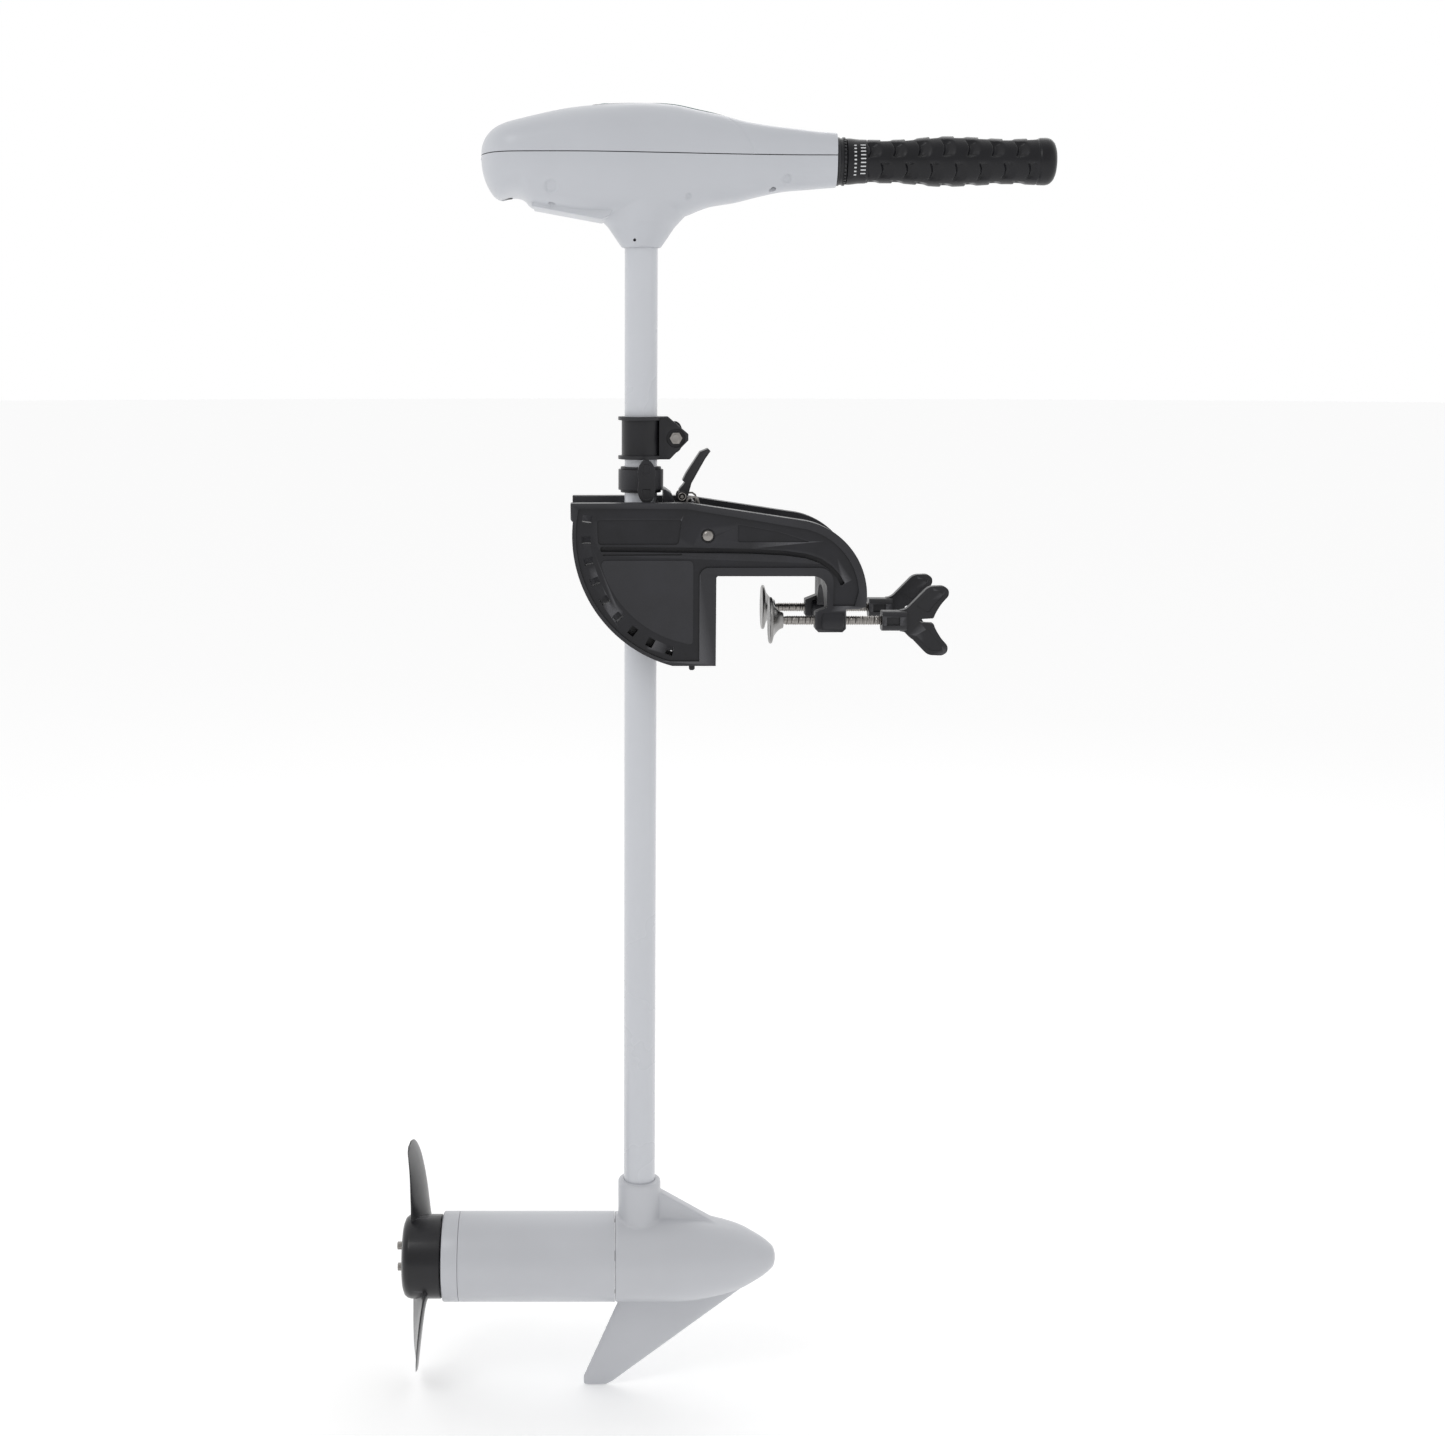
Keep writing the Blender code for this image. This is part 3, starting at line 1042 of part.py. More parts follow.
def solid_of(name, profile, axis, sides):
    """Turn a closed profile whose middle touches the axis, such as a cup seen from its back."""
    bm = bmesh.new()
    rings = []
    for radius, height in profile:
        if radius < 1e-9:
            rings.append([bm.verts.new((0, 0, height))])
        else:
            rings.append([bm.verts.new((radius * math.cos(2 * math.pi * i / sides),
                                        radius * math.sin(2 * math.pi * i / sides), height))
                          for i in range(sides)])
    loop = list(zip(rings, rings[1:] + rings[:1]))
    for low, high in loop:
        if len(low) > 1 or len(high) > 1:
            skin_rings(bm, low, high)
    bm.transform(AXIS_TURN[axis])
    return to_mesh(bm, name)


def make_nose(look, depth_axis):
    """Front housing with the tube's socket, its gusset and the skeg."""
    centre = (0, 0, MOTOR_Z)
    nose = finish("nose_housing", solid_of("nose_housing", nose_profile(), "X", ROUND), centre,
                  look["hull"], depth_axis)
    socket = [(0, MOTOR_R - 0.012), (SOCKET_R + 0.003, MOTOR_R - 0.012),
              (SOCKET_R, MOTOR_R + 0.004), (SOCKET_R, MOTOR_DROP - 0.002),
              (SOCKET_R - 0.002, MOTOR_DROP), (0, MOTOR_DROP)]
    post = tool("tube_socket", turned("tube_socket", socket, "Z", BARREL), (SHAFT_X, 0, MOTOR_Z))
    join(nose, post)
    gusset = [(SHAFT_X, MOTOR_R - 0.006), (SHAFT_X + SOCKET_R - 0.001, MOTOR_DROP - 0.012),
              (SHAFT_X + SOCKET_R + 0.004, MOTOR_DROP - 0.015), (0.000, MOTOR_R - 0.003),
              (0.000, MOTOR_R - 0.014)]
    join(nose, tool("gusset", prism("gusset", gusset, -0.0075, 0.0075), centre))
    skeg = [(0.044, -0.018), (0.040, -0.0255), (-0.093, -SKEG_DROP + 0.001), (-0.096, -SKEG_DROP),
            (-0.1185, -SKEG_DROP), (-0.1185, -SKEG_DROP + 0.008), (-0.0862, -MOTOR_R - 0.005),
            (-0.0862, -MOTOR_R + 0.004), (-0.03, -MOTOR_R + 0.004)]
    join(nose, tool("skeg", prism("skeg", skeg, -SKEG_THICK / 2, SKEG_THICK / 2), centre))
    floor, way = MOTOR_R - 0.0045, 0.006
    bore = [(0, MOTOR_R - 0.0145), (way, MOTOR_R - 0.0145), (way, floor), (SHAFT_R + TOUCH, floor),
            (SHAFT_R + TOUCH, MOTOR_DROP + 0.001), (0, MOTOR_DROP + 0.001)]
    tube_bore = turned("tube_bore", bore, "Z", BARREL, math.radians(4))
    cut(nose, tool("tube_bore", tube_bore, (SHAFT_X, 0, MOTOR_Z)))
    for z in (-1, 1):
        hole = rod("bolt_seat", THROUGH_BOLT_R + TOUCH, NOSE_SEAM_X - 0.001, NOSE_SEAM_X + 0.0108,
                   "X", PIN)
        cut(nose, tool("bolt_seat", hole, (0, 0, MOTOR_Z + z * bolt_circle())))


def bolt_circle():
    """Radius that the two through bolts sit on, just inside the can's wall."""
    return CAN_IN - THROUGH_BOLT_R - 0.0012


def make_can_and_bell(look, depth_axis):
    """Motor can, rear end bell and the two bolts that draw them together."""
    centre = (0, 0, MOTOR_Z)
    can_end = NOSE_SEAM_X - TOUCH
    can = tube("motor_can", CAN_IN, MOTOR_R, can_end - CAN_LENGTH + TOUCH, can_end, "X", ROUND)
    finish("motor_can", can, centre, look["hull"], depth_axis)
    seat = BEARING_R + TOUCH
    shaft_hole = ROTOR_SHAFT_R + RUN
    bearing_back = BELL_X - 0.0075
    seal_x = bearing_back - 0.001
    spigot = CAN_IN - TOUCH
    profile = [(shaft_hole, BELL_BACK_X), (MOTOR_R - 0.0045, BELL_BACK_X),
               (MOTOR_R - 0.0012, BELL_BACK_X + 0.0037), (MOTOR_R, BELL_BACK_X + 0.008),
               (MOTOR_R, BELL_X), (spigot, BELL_X), (spigot, BELL_X + SPIGOT_LENGTH),
               (seat + 0.006, BELL_X + SPIGOT_LENGTH), (seat, BELL_X + SPIGOT_LENGTH),
               (seat, bearing_back), (0.0085, bearing_back), (0.0085, seal_x - 0.004),
               (shaft_hole, seal_x - 0.004)]
    bell = finish("rear_end_bell", turned("rear_end_bell", profile, "X", ROUND), centre, look["hull"],
                  depth_axis)
    bolt_end = NOSE_SEAM_X + 0.0103
    head = BELL_BACK_X + 0.0042
    for label, z in (("upper", 1), ("lower", -1)):
        place = (0, 0, MOTOR_Z + z * bolt_circle())
        way_r, sink_r, behind = THROUGH_BOLT_R + TOUCH, 0.0038, BELL_BACK_X - 0.002
        way = [(0, behind), (sink_r, behind), (sink_r, head), (way_r, head), (way_r, BELL_X + 0.02),
               (0, BELL_X + 0.02)]
        cut(bell, tool("bolt_way", turned("bolt_way", way, "X", PIN, math.radians(5)), place))
        bolt = [(0, head - 0.0030), (0.0032, head - 0.0030), (0.0032, head - TOUCH),
                (THROUGH_BOLT_R, head - TOUCH), (THROUGH_BOLT_R, bolt_end), (0, bolt_end)]
        finish(f"through_bolt_{label}", turned("through_bolt", bolt, "X", PIN), place, look["steel"],
               depth_axis)


def magnet_mesh(start, end):
    """One arc magnet, centred on +Y, along the X axis."""
    half, steps = math.radians(58), 12
    angles = [math.radians(90) - half + 2 * half * i / steps for i in range(steps + 1)]
    outer = [(MAGNET_OUT * math.sin(a), MAGNET_OUT * math.cos(a)) for a in angles]
    inner_r = MAGNET_OUT - MAGNET_T
    inner = [(inner_r * math.sin(a), inner_r * math.cos(a)) for a in reversed(angles)]
    return prism("magnet", outer + inner, start, end, "YZ")


def make_motor_inside(look, depth_axis):
    """Magnets, bearings, seal and brush plate, which stay still in the housings."""
    centre = (0, 0, MOTOR_Z)
    start = BELL_X + SPIGOT_LENGTH + 0.010
    for label, turn in (("near", math.pi), ("far", 0.0)):
        mesh = magnet_mesh(start, start + MAGNET_LENGTH)
        mesh.transform(Matrix.Rotation(turn, 4, "X"))
        finish(f"magnet_{label}", mesh, centre, look["magnet"], depth_axis)
    inner = ROTOR_SHAFT_R + RUN
    rear = BELL_X - 0.0075 + TOUCH
    front = NOSE_SEAM_X + NOSE_CAVITY + TOUCH
    for name, at in (("rear_bearing", rear), ("front_bearing", front)):
        finish(name, tube(name, inner, BEARING_R, at, at + BEARING_WIDTH - TOUCH, "X", BARREL), centre,
               look["steel"], depth_axis)
    seal_back = BELL_X - 0.0075 - 0.005 + TOUCH
    seal = tube("shaft_seal", inner, 0.0085 - TOUCH, seal_back, seal_back + 0.0042, "X", BARREL)
    finish("shaft_seal", seal, centre, look["rubber"], depth_axis)
    plate_x = NOSE_SEAM_X - 0.006
    plate = finish("brush_plate", tube("brush_plate", 0.0160, CAN_IN - TOUCH, plate_x,
                                       plate_x + 0.003, "X", BARREL), centre, look["board"], depth_axis)
    for side in (-1, 1):
        low, high = sorted((side * 0.0152, side * 0.026))
        holder = block("brush_holder", (plate_x - 0.009, low, -0.004), (plate_x + 0.001, high, 0.004))
        join(plate, tool("brush_holder", holder, centre))
    for z in (-1, 1):
        notch = block("plate_notch", (plate_x - 0.002, -THROUGH_BOLT_R - TOUCH, -THROUGH_BOLT_R - TOUCH),
                      (plate_x + 0.005, THROUGH_BOLT_R + TOUCH, 0.006))
        if z < 0:
            notch.transform(Matrix.Rotation(math.pi, 4, "X"))
        cut(plate, tool("plate_notch", notch, (0, 0, MOTOR_Z + z * bolt_circle())))


# ================================================================ rotor and propeller
def make_rotor(look, prop_axis):
    """Motor shaft with the armature and commutator pressed on it."""
    centre = (0, 0, MOTOR_Z)
    shaft_end = NOSE_SEAM_X + NOSE_CAVITY + BEARING_WIDTH + 0.003
    shaft_start = HUB_X - HUB_LENGTH + 0.010
    pin_x = HUB_X - 0.010
    shaft = finish("motor_shaft", rod("motor_shaft", ROTOR_SHAFT_R, shaft_start, shaft_end, "X", BARREL),
                   centre, look["steel"], prop_axis)
    cross = rod("pin_hole", DRIVE_PIN_R + TOUCH, -0.02, 0.02, "Z", PIN)
    cut(shaft, tool("pin_hole", cross, (pin_x, 0, MOTOR_Z)))
    reach = 0.0135
    finish("drive_pin", rod("drive_pin", DRIVE_PIN_R, -reach, reach, "Z", PIN), (pin_x, 0, MOTOR_Z),
           look["steel"], prop_axis)
    start = BELL_X + SPIGOT_LENGTH + 0.013
    end = start + MAGNET_LENGTH - 0.006
    bore = ROTOR_SHAFT_R + TOUCH
    core = finish("armature", tube("armature", bore, ARMATURE_R, start, end, "X", BARREL), centre,
                  look["iron"], prop_axis)
    slots = 10
    for i in range(slots):
        mesh = block("winding_slot", (start - 0.001, -0.0016, ARMATURE_R - 0.007),
                     (end + 0.001, 0.0016, ARMATURE_R + 0.002))
        mesh.transform(Matrix.Rotation(2 * math.pi * i / slots, 4, "X"))
        cut(core, tool("winding_slot", mesh, centre))
    ring = tube("commutator", bore, 0.0140, end + 0.004, end + 0.020, "X", BARREL)
    finish("commutator", ring, centre, look["copper"], prop_axis)


def blade_section(radius, chord, thick, count=14):
    """Points of a blade's section, wrapped on a cylinder of this radius round the X axis."""
    pitch = math.atan2(PROP_PITCH, 2 * math.pi * radius)
    share = (radius - HUB_R) / (PROP_R - HUB_R)
    lag = BLADE_REST + BLADE_SWEEP * share ** 2
    points = []
    for i in range(count):
        a = 2 * math.pi * i / count
        along = chord / 2 * math.cos(a)
        across = thick / 2 * math.sin(a) + 0.05 * chord * (1 - math.cos(a) ** 2)
        x = along * math.sin(pitch) + across * math.cos(pitch) + BLADE_RAKE * share
        turn = (along * math.cos(pitch) - across * math.sin(pitch)) / radius + lag
        points.append((x, radius * math.sin(turn), radius * math.cos(turn)))
    return points


def blade_chord(radius):
    """Width of the blade at a radius, rounded off at the tip."""
    t = (radius - HUB_R) / (PROP_R - HUB_R)
    return eased([(0.0, 0.050), (0.35, 0.060), (0.7, 0.052), (0.92, 0.032), (1.0, 0.012)], t)


def blade_mesh():
    """One blade, from inside the hub out to the tip, standing along +Z."""
    stations = [0.90, 1.0, 1.18, 1.45, 1.8, 2.15, 2.5, 2.75, 2.92]
    top = PROP_R / HUB_R
    radii = [HUB_R * s for s in stations if s < top - 0.05] + [PROP_R * 0.992, PROP_R]
    sections = []
    for radius in radii:
        t = max(0.0, (radius - HUB_R) / (PROP_R - HUB_R))
        sections.append(blade_section(radius, blade_chord(radius), 0.0065 * (1 - 0.7 * t)))
    return loft("blade", sections)


def make_propeller(look, prop_axis):
    """Two-blade weed-shedding propeller on its hub, with the screws seen on its back."""
    centre = (0, 0, MOTOR_Z)
    back = HUB_X - HUB_LENGTH
    shaft_end = back + 0.010
    bore = ROTOR_SHAFT_R + TOUCH
    cone = [(0, back), (HUB_R * 0.45, back + 0.0006), (HUB_R * 0.9, back + 0.003),
            (HUB_R, back + 0.008), (HUB_R, HUB_X), (bore, HUB_X), (bore, shaft_end - TOUCH),
            (0, shaft_end - TOUCH)]
    hub = finish("propeller", solid_of("propeller", cone, "X", ROUND), centre, look["prop"], prop_axis)
    blade_x = HUB_X - HUB_LENGTH * 0.56
    for turn in (0.0, math.pi):
        mesh = blade_mesh()
        mesh.transform(Matrix.Rotation(turn, 4, "X"))
        join(hub, tool("blade", mesh, (blade_x, 0, MOTOR_Z)))
    slot = block("pin_slot", (-0.0026, -0.0026, -0.0142), (0.012, 0.0026, 0.0142))
    cut(hub, tool("pin_slot", slot, (HUB_X - 0.010, 0, MOTOR_Z)))
    for label, z in (("upper", 1), ("lower", -1)):
        place = (0, 0, MOTOR_Z + z * HUB_BOLT_OFFSET)
        hole = rod("hub_bolt_hole", HUB_BOLT_R * 0.45 + TOUCH, back - 0.001, back + 0.0085, "X", PIN)
        cut(hub, tool("hub_bolt_hole", hole, place))
        cap = [(0, back - 0.0048), (HUB_BOLT_R * 0.7, back - 0.0048), (HUB_BOLT_R, back - 0.0036),
               (HUB_BOLT_R, back - TOUCH), (HUB_BOLT_R * 0.45, back - TOUCH),
               (HUB_BOLT_R * 0.45, back + 0.008), (0, back + 0.008)]
        finish(f"hub_screw_{label}", turned("hub_screw", cap, "X", PIN), place, look["steel"],
               prop_axis)


# ================================================================ the whole motor
def build():
    """Every piece, body by body."""
    clear_scene()
    look = looks()
    make_cheek("near_cheek", -1, look)
    make_cheek("far_cheek", 1, look)
    make_bridge(look)
    make_pivot_bolt(look)
    make_clamp("near", -1, look)
    make_clamp("far", 1, look)

    tilt_axis = empty("tilt_axis", (PIVOT_X, 0, PIVOT_Z))
    make_tilt_hinge(look, tilt_axis)
    make_liner(look, tilt_axis)
    make_tension_knob(look, tilt_axis)
    make_latch(look, tilt_axis)
    make_lever(look, tilt_axis)

    steer_axis = empty("steer_axis", (SHAFT_X, 0, COLLAR_Z), tilt_axis)
    make_depth_collar(look, steer_axis)

    depth_axis = empty("depth_axis", (SHAFT_X, 0, COLLAR_Z), steer_axis)
    make_tube(look, depth_axis)
    cover = make_shells(look, depth_axis)
    make_panels(look, depth_axis, cover)
    make_head_inside(look, depth_axis)
    make_tiller(look, depth_axis)
    make_nose(look, depth_axis)
    make_can_and_bell(look, depth_axis)
    make_motor_inside(look, depth_axis)

    prop_axis = empty("prop_axis", (HUB_X, 0, MOTOR_Z), depth_axis)
    make_rotor(look, prop_axis)
    make_propeller(look, prop_axis)


build()
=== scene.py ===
"""Looks of a transom-mount electric trolling motor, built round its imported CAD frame.

Every piece is made in metres in the frame's own axes: +X inboard, towards the tiller, and +Z up
along the tube. Each sub-assembly is a class that holds its sizes, builds its meshes and dresses
them in one of the finishes below.
"""
from __future__ import annotations

import sys

import logging
import math
from dataclasses import dataclass, field
from enum import Enum
from typing import Callable, Iterable, Sequence

import bmesh
import bpy
from mathutils import Matrix, Vector


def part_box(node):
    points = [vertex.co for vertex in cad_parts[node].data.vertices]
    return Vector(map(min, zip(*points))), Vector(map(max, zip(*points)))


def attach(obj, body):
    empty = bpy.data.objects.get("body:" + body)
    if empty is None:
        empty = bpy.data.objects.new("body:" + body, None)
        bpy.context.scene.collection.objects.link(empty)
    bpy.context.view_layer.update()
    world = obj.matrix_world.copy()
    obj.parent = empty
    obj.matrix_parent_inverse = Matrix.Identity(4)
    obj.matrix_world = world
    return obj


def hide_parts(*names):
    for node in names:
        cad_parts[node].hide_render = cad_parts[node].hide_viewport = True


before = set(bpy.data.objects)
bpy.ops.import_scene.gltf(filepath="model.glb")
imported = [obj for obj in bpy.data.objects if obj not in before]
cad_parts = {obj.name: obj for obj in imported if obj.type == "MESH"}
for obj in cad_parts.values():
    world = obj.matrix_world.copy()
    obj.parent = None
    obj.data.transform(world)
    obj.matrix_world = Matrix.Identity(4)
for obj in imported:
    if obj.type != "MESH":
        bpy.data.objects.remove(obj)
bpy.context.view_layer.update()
LOG = logging.getLogger("trolling_motor")

Point2 = tuple[float, float]
Point3 = tuple[float, float, float]
Outline = list[Point2]
Thing = bpy.types.Object

SHAFT_X = -0.0652  # the tube's axis
SHAFT_RADIUS = 0.0145
SCREW_Y = 0.047  # the clamp screws' axes, on both sides of the middle
TILLER_Z = 0.3962  # the tiller's axis
TILLER_RADIUS = 0.0114
BUTTON_X = -0.096  # middle of the push button
MOTOR_Z = -0.611  # axis of the motor and the propeller
SEAM_X = -0.0880  # where the nose housing meets the motor can


class Body(str, Enum):
    """The frame's bodies that finer pieces move with."""

    BRACKET = "bracket"
    NEAR_PAD = "near_pad"
    NEAR_SCREW = "near_screw"
    FAR_PAD = "far_pad"
    FAR_SCREW = "far_screw"
    HINGE = "hinge"
    TENSION = "tension"
    LEVER = "lever"
    LATCH = "latch"
    SWIVEL = "swivel"
    DEPTH_WING = "depth_wing"
    MOTOR = "motor"
    BUTTON = "button"
    GRIP = "grip"
    ROTOR = "rotor"


class Axis(Enum):
    """A row axis, with the turn that takes +Z onto it."""

    X = Matrix(((0, 0, 1), (1, 0, 0), (0, 1, 0))).to_4x4()
    Y = Matrix(((0, 1, 0), (0, 0, 1), (1, 0, 0))).to_4x4()
    Z = Matrix.Identity(4)


class Side(Enum):
    """Which cheek or clamp: the near one faces the viewer."""

    NEAR = -1
    FAR = 1

    @property
    def label(self) -> str:
        """Name used in node names."""
        return self.name.lower()


# ---------------------------------------------------------------- finishes
class Graph:
    """A node tree that is filled one node at a time."""

    def __init__(self, tree: bpy.types.NodeTree) -> None:
        """Start on a tree.

        Args:
            tree: The node tree to fill.
        """
        self.tree = tree

    def add(self, kind: str, inputs: dict | None = None, **settings) -> bpy.types.Node:
        """Add a node.

        Args:
            kind: Blender's name for the node.
            inputs: Socket name or number to a value, or to a socket to link from.
            **settings: Attributes of the node.

        Returns:
            The new node.
        """
        node = self.tree.nodes.new(kind)
        for key, value in settings.items():
            setattr(node, key, value)
        for key, value in (inputs or {}).items():
            socket = node.inputs[key]
            if isinstance(value, bpy.types.NodeSocket):
                self.tree.links.new(value, socket)
            else:
                socket.default_value = value
        return node


@dataclass(frozen=True)
class Finish:
    """A surface: its colour, gloss, fine grain and broad unevenness, all on object coordinates."""

    name: str
    colour: Point3
    roughness: float
    metallic: float = 0.0
    specular: float = 0.5
    coat: float = 0.0
    coat_roughness: float = 0.12
    grain: float = 900.0
    grain_depth: float = 0.00004
    stretch: Point3 = (1.0, 1.0, 1.0)
    patch: float = 14.0
    tone: float = 0.05
    gloss_drift: float = 0.06
    sheen: float = 0.0
    # share of the painted edge highlight: sharp edges painted paler grey
    wear: float = 0.0

    def material(self) -> bpy.types.Material:
        """Build the material, or return it if it was built before.

        Returns:
            The material.
        """
        label = f"{self.name}_look"
        found = bpy.data.materials.get(label)
        if found:
            return found
        made = bpy.data.materials.new(label)
        made.use_nodes = True
        made.diffuse_color = (*self.colour, 1.0)
        graph = Graph(made.node_tree)
        shader = made.node_tree.nodes["Principled BSDF"]
        place = graph.add("ShaderNodeTexCoord").outputs["Object"]
        spread = graph.add("ShaderNodeMapping", {"Vector": place, "Scale": self.stretch})
        grain = graph.add("ShaderNodeTexNoise", {"Vector": spread.outputs[0], "Scale": self.grain,
                                                 "Detail": 3.0, "Roughness": 0.55})
        patch = graph.add("ShaderNodeTexNoise", {"Vector": place, "Scale": self.patch,
                                                 "Detail": 4.0, "Roughness": 0.6})
        self._colour(graph, shader, patch.outputs[0], grain.outputs[0])
        rough = graph.add("ShaderNodeMapRange", {
            "Value": patch.outputs[0], "From Min": 0.3, "From Max": 0.7,
            "To Min": max(0.02, self.roughness - self.gloss_drift),
            "To Max": min(1.0, self.roughness + self.gloss_drift)})
        bump = graph.add("ShaderNodeBump", {"Height": grain.outputs[0], "Strength": 0.5,
                                            "Distance": self.grain_depth})
        made.node_tree.links.new(rough.outputs[0], shader.inputs["Roughness"])
        made.node_tree.links.new(bump.outputs[0], shader.inputs["Normal"])
        shader.inputs["Metallic"].default_value = self.metallic
        shader.inputs["Specular IOR Level"].default_value = self.specular
        shader.inputs["Coat Weight"].default_value = self.coat
        shader.inputs["Coat Roughness"].default_value = self.coat_roughness
        shader.inputs["Sheen Weight"].default_value = self.sheen
        return made

    def _colour(self, graph: Graph, shader: bpy.types.Node, patch: bpy.types.NodeSocket,
                grain: bpy.types.NodeSocket) -> None:
        """Link the base colour: two near tones in broad patches, and a painted highlight that makes
        sharp edges paler.

        Args:
            graph: The material's tree.
            shader: The surface shader.
            patch: Broad noise.
            grain: Fine noise.
        """
        low = tuple(c * (1 - self.tone) for c in self.colour)
        high = tuple(min(1.0, c * (1 + self.tone)) for c in self.colour)
        share = graph.add("ShaderNodeMapRange", {"Value": patch, "From Min": 0.35,
                                                 "From Max": 0.65})
        mixed = graph.add("ShaderNodeMix", data_type="RGBA")
        graph.tree.links.new(share.outputs[0], mixed.inputs["Factor"])
        mixed.inputs[6].default_value = (*low, 1.0)
        mixed.inputs[7].default_value = (*high, 1.0)
        colour = mixed.outputs[2]
        # painted highlight: sharp edges painted paler
        if self.wear > 0:
            colour = self._worn(graph, colour, grain)
        graph.tree.links.new(colour, shader.inputs["Base Color"])

    def _worn(self, graph: Graph, colour: bpy.types.NodeSocket,
              grain: bpy.types.NodeSocket) -> bpy.types.NodeSocket:
        """A painted highlight: sharp edges, found from the surface's pointiness, painted paler as if
        they caught the light.

        Args:
            graph: The material's tree.
            colour: Colour that gets the painted edge highlight.
            grain: Fine noise that breaks the painted highlight up.

        Returns:
            The rubbed colour.
        """
        edge = graph.add("ShaderNodeNewGeometry").outputs["Pointiness"]
        sharp = graph.add("ShaderNodeMapRange", {"Value": edge, "From Min": 0.53, "From Max": 0.62})
        broken = graph.add("ShaderNodeMath", {0: sharp.outputs[0], 1: grain}, operation="MULTIPLY")
        amount = graph.add("ShaderNodeMath", {0: broken.outputs[0], 1: self.wear},
                           operation="MULTIPLY")
        mixed = graph.add("ShaderNodeMix", data_type="RGBA")
        graph.tree.links.new(amount.outputs[0], mixed.inputs["Factor"])
        graph.tree.links.new(colour, mixed.inputs[6])
        # pale grey of the painted edge highlight
        mixed.inputs[7].default_value = (0.30, 0.30, 0.32, 1.0)
        return mixed.outputs[2]


@dataclass(frozen=True)
class TurnedMetal(Finish):
    """Bare metal with fine turning marks round the X axis."""

    metallic: float = 1.0
    grain: float = 2600.0
    grain_depth: float = 0.00002
    stretch: Point3 = (1.0, 0.02, 0.02)


SHELL_WHITE = Finish("shell_white", (0.53, 0.545, 0.58), 0.36, specular=0.38, coat=0.15,
                     coat_roughness=0.18, grain=520.0, grain_depth=0.00002, tone=0.015, patch=9.0,
                     gloss_drift=0.04)
TUBE_WHITE = Finish("tube_white", (0.58, 0.595, 0.63), 0.28, coat=0.35, coat_roughness=0.1,
                    grain=700.0, grain_depth=0.00003, stretch=(1.0, 1.0, 0.04), tone=0.015,
                    patch=7.0)
HULL_PAINT = Finish("motor_paint", (0.52, 0.53, 0.56), 0.38, coat=0.22, coat_roughness=0.22,
                    grain=420.0, grain_depth=0.00004, tone=0.02, patch=11.0)
# the black mouldings below get a painted edge highlight: their sharp edges are painted paler
BRACKET_NYLON = Finish("bracket_nylon", (0.0105, 0.0105, 0.0135), 0.42, specular=0.36,
                       grain=1500.0, grain_depth=0.00006, tone=0.30, patch=26.0, gloss_drift=0.12,
                       wear=0.45)
KNOB_PLASTIC = Finish("knob_plastic", (0.0105, 0.0105, 0.0130), 0.38, specular=0.38, grain=1300.0,
                      grain_depth=0.00005, tone=0.2, patch=30.0, gloss_drift=0.08, wear=0.3)
GRIP_RUBBER = Finish("grip_rubber", (0.0065, 0.0065, 0.0085), 0.33, specular=0.32, grain=1900.0,
                     grain_depth=0.00002, tone=0.2, patch=22.0)
GLAND_RUBBER = Finish("gland_rubber", (0.012, 0.012, 0.012), 0.6, specular=0.3, grain=1600.0,
                      tone=0.15)
PROP_PLASTIC = Finish("propeller_plastic", (0.0085, 0.0085, 0.0105), 0.32, specular=0.36,
                      coat=0.12, grain=1000.0, grain_depth=0.00003, tone=0.2, patch=18.0,
                      gloss_drift=0.07, wear=0.35)
BUSH_ACETAL = Finish("bush_acetal", (0.018, 0.018, 0.02), 0.38, specular=0.35, tone=0.1)
PANEL_GLOSS = Finish("panel_gloss", (0.006, 0.0065, 0.008), 0.16, coat=0.6, coat_roughness=0.06,
                     grain=300.0, grain_depth=0.000008, tone=0.1, gloss_drift=0.03)
BUTTON_PALE = Finish("button_pale", (0.62, 0.70, 0.70), 0.34, grain=1100.0, tone=0.03)
MARK_WHITE = Finish("mark_white", (0.66, 0.67, 0.68), 0.5, grain=1200.0, tone=0.05)
MARK_TEAL = Finish("mark_teal", (0.01, 0.30, 0.30), 0.4, grain=1200.0, tone=0.05)
STAINLESS = TurnedMetal("stainless", (0.30, 0.285, 0.27), 0.30, tone=0.06, patch=40.0,
                        gloss_drift=0.08)
PRESSED_STEEL = Finish("pressed_steel", (0.30, 0.295, 0.29), 0.32, metallic=1.0, grain=620.0,
                       grain_depth=0.00003, tone=0.10, patch=70.0, gloss_drift=0.10)
TILLER_STEEL = Finish("tiller_tube_steel", (0.55, 0.55, 0.55), 0.28, metallic=1.0, tone=0.05)
FERRITE = Finish("ferrite", (0.05, 0.05, 0.055), 0.7, grain=1400.0, grain_depth=0.0001)
LAMINATIONS = TurnedMetal("laminations", (0.30, 0.29, 0.28), 0.45)
COPPER = TurnedMetal("copper", (0.62, 0.30, 0.17), 0.32)
SINTERED_BRONZE = Finish("sintered_bronze", (0.45, 0.32, 0.16), 0.5, metallic=1.0, grain=1800.0)
BOARD_GREEN = Finish("board_green", (0.02, 0.13, 0.05), 0.42, grain=700.0, patch=120.0, tone=0.2)
BOARD_BROWN = Finish("board_brown", (0.16, 0.09, 0.045), 0.55, grain=800.0, patch=90.0, tone=0.2)


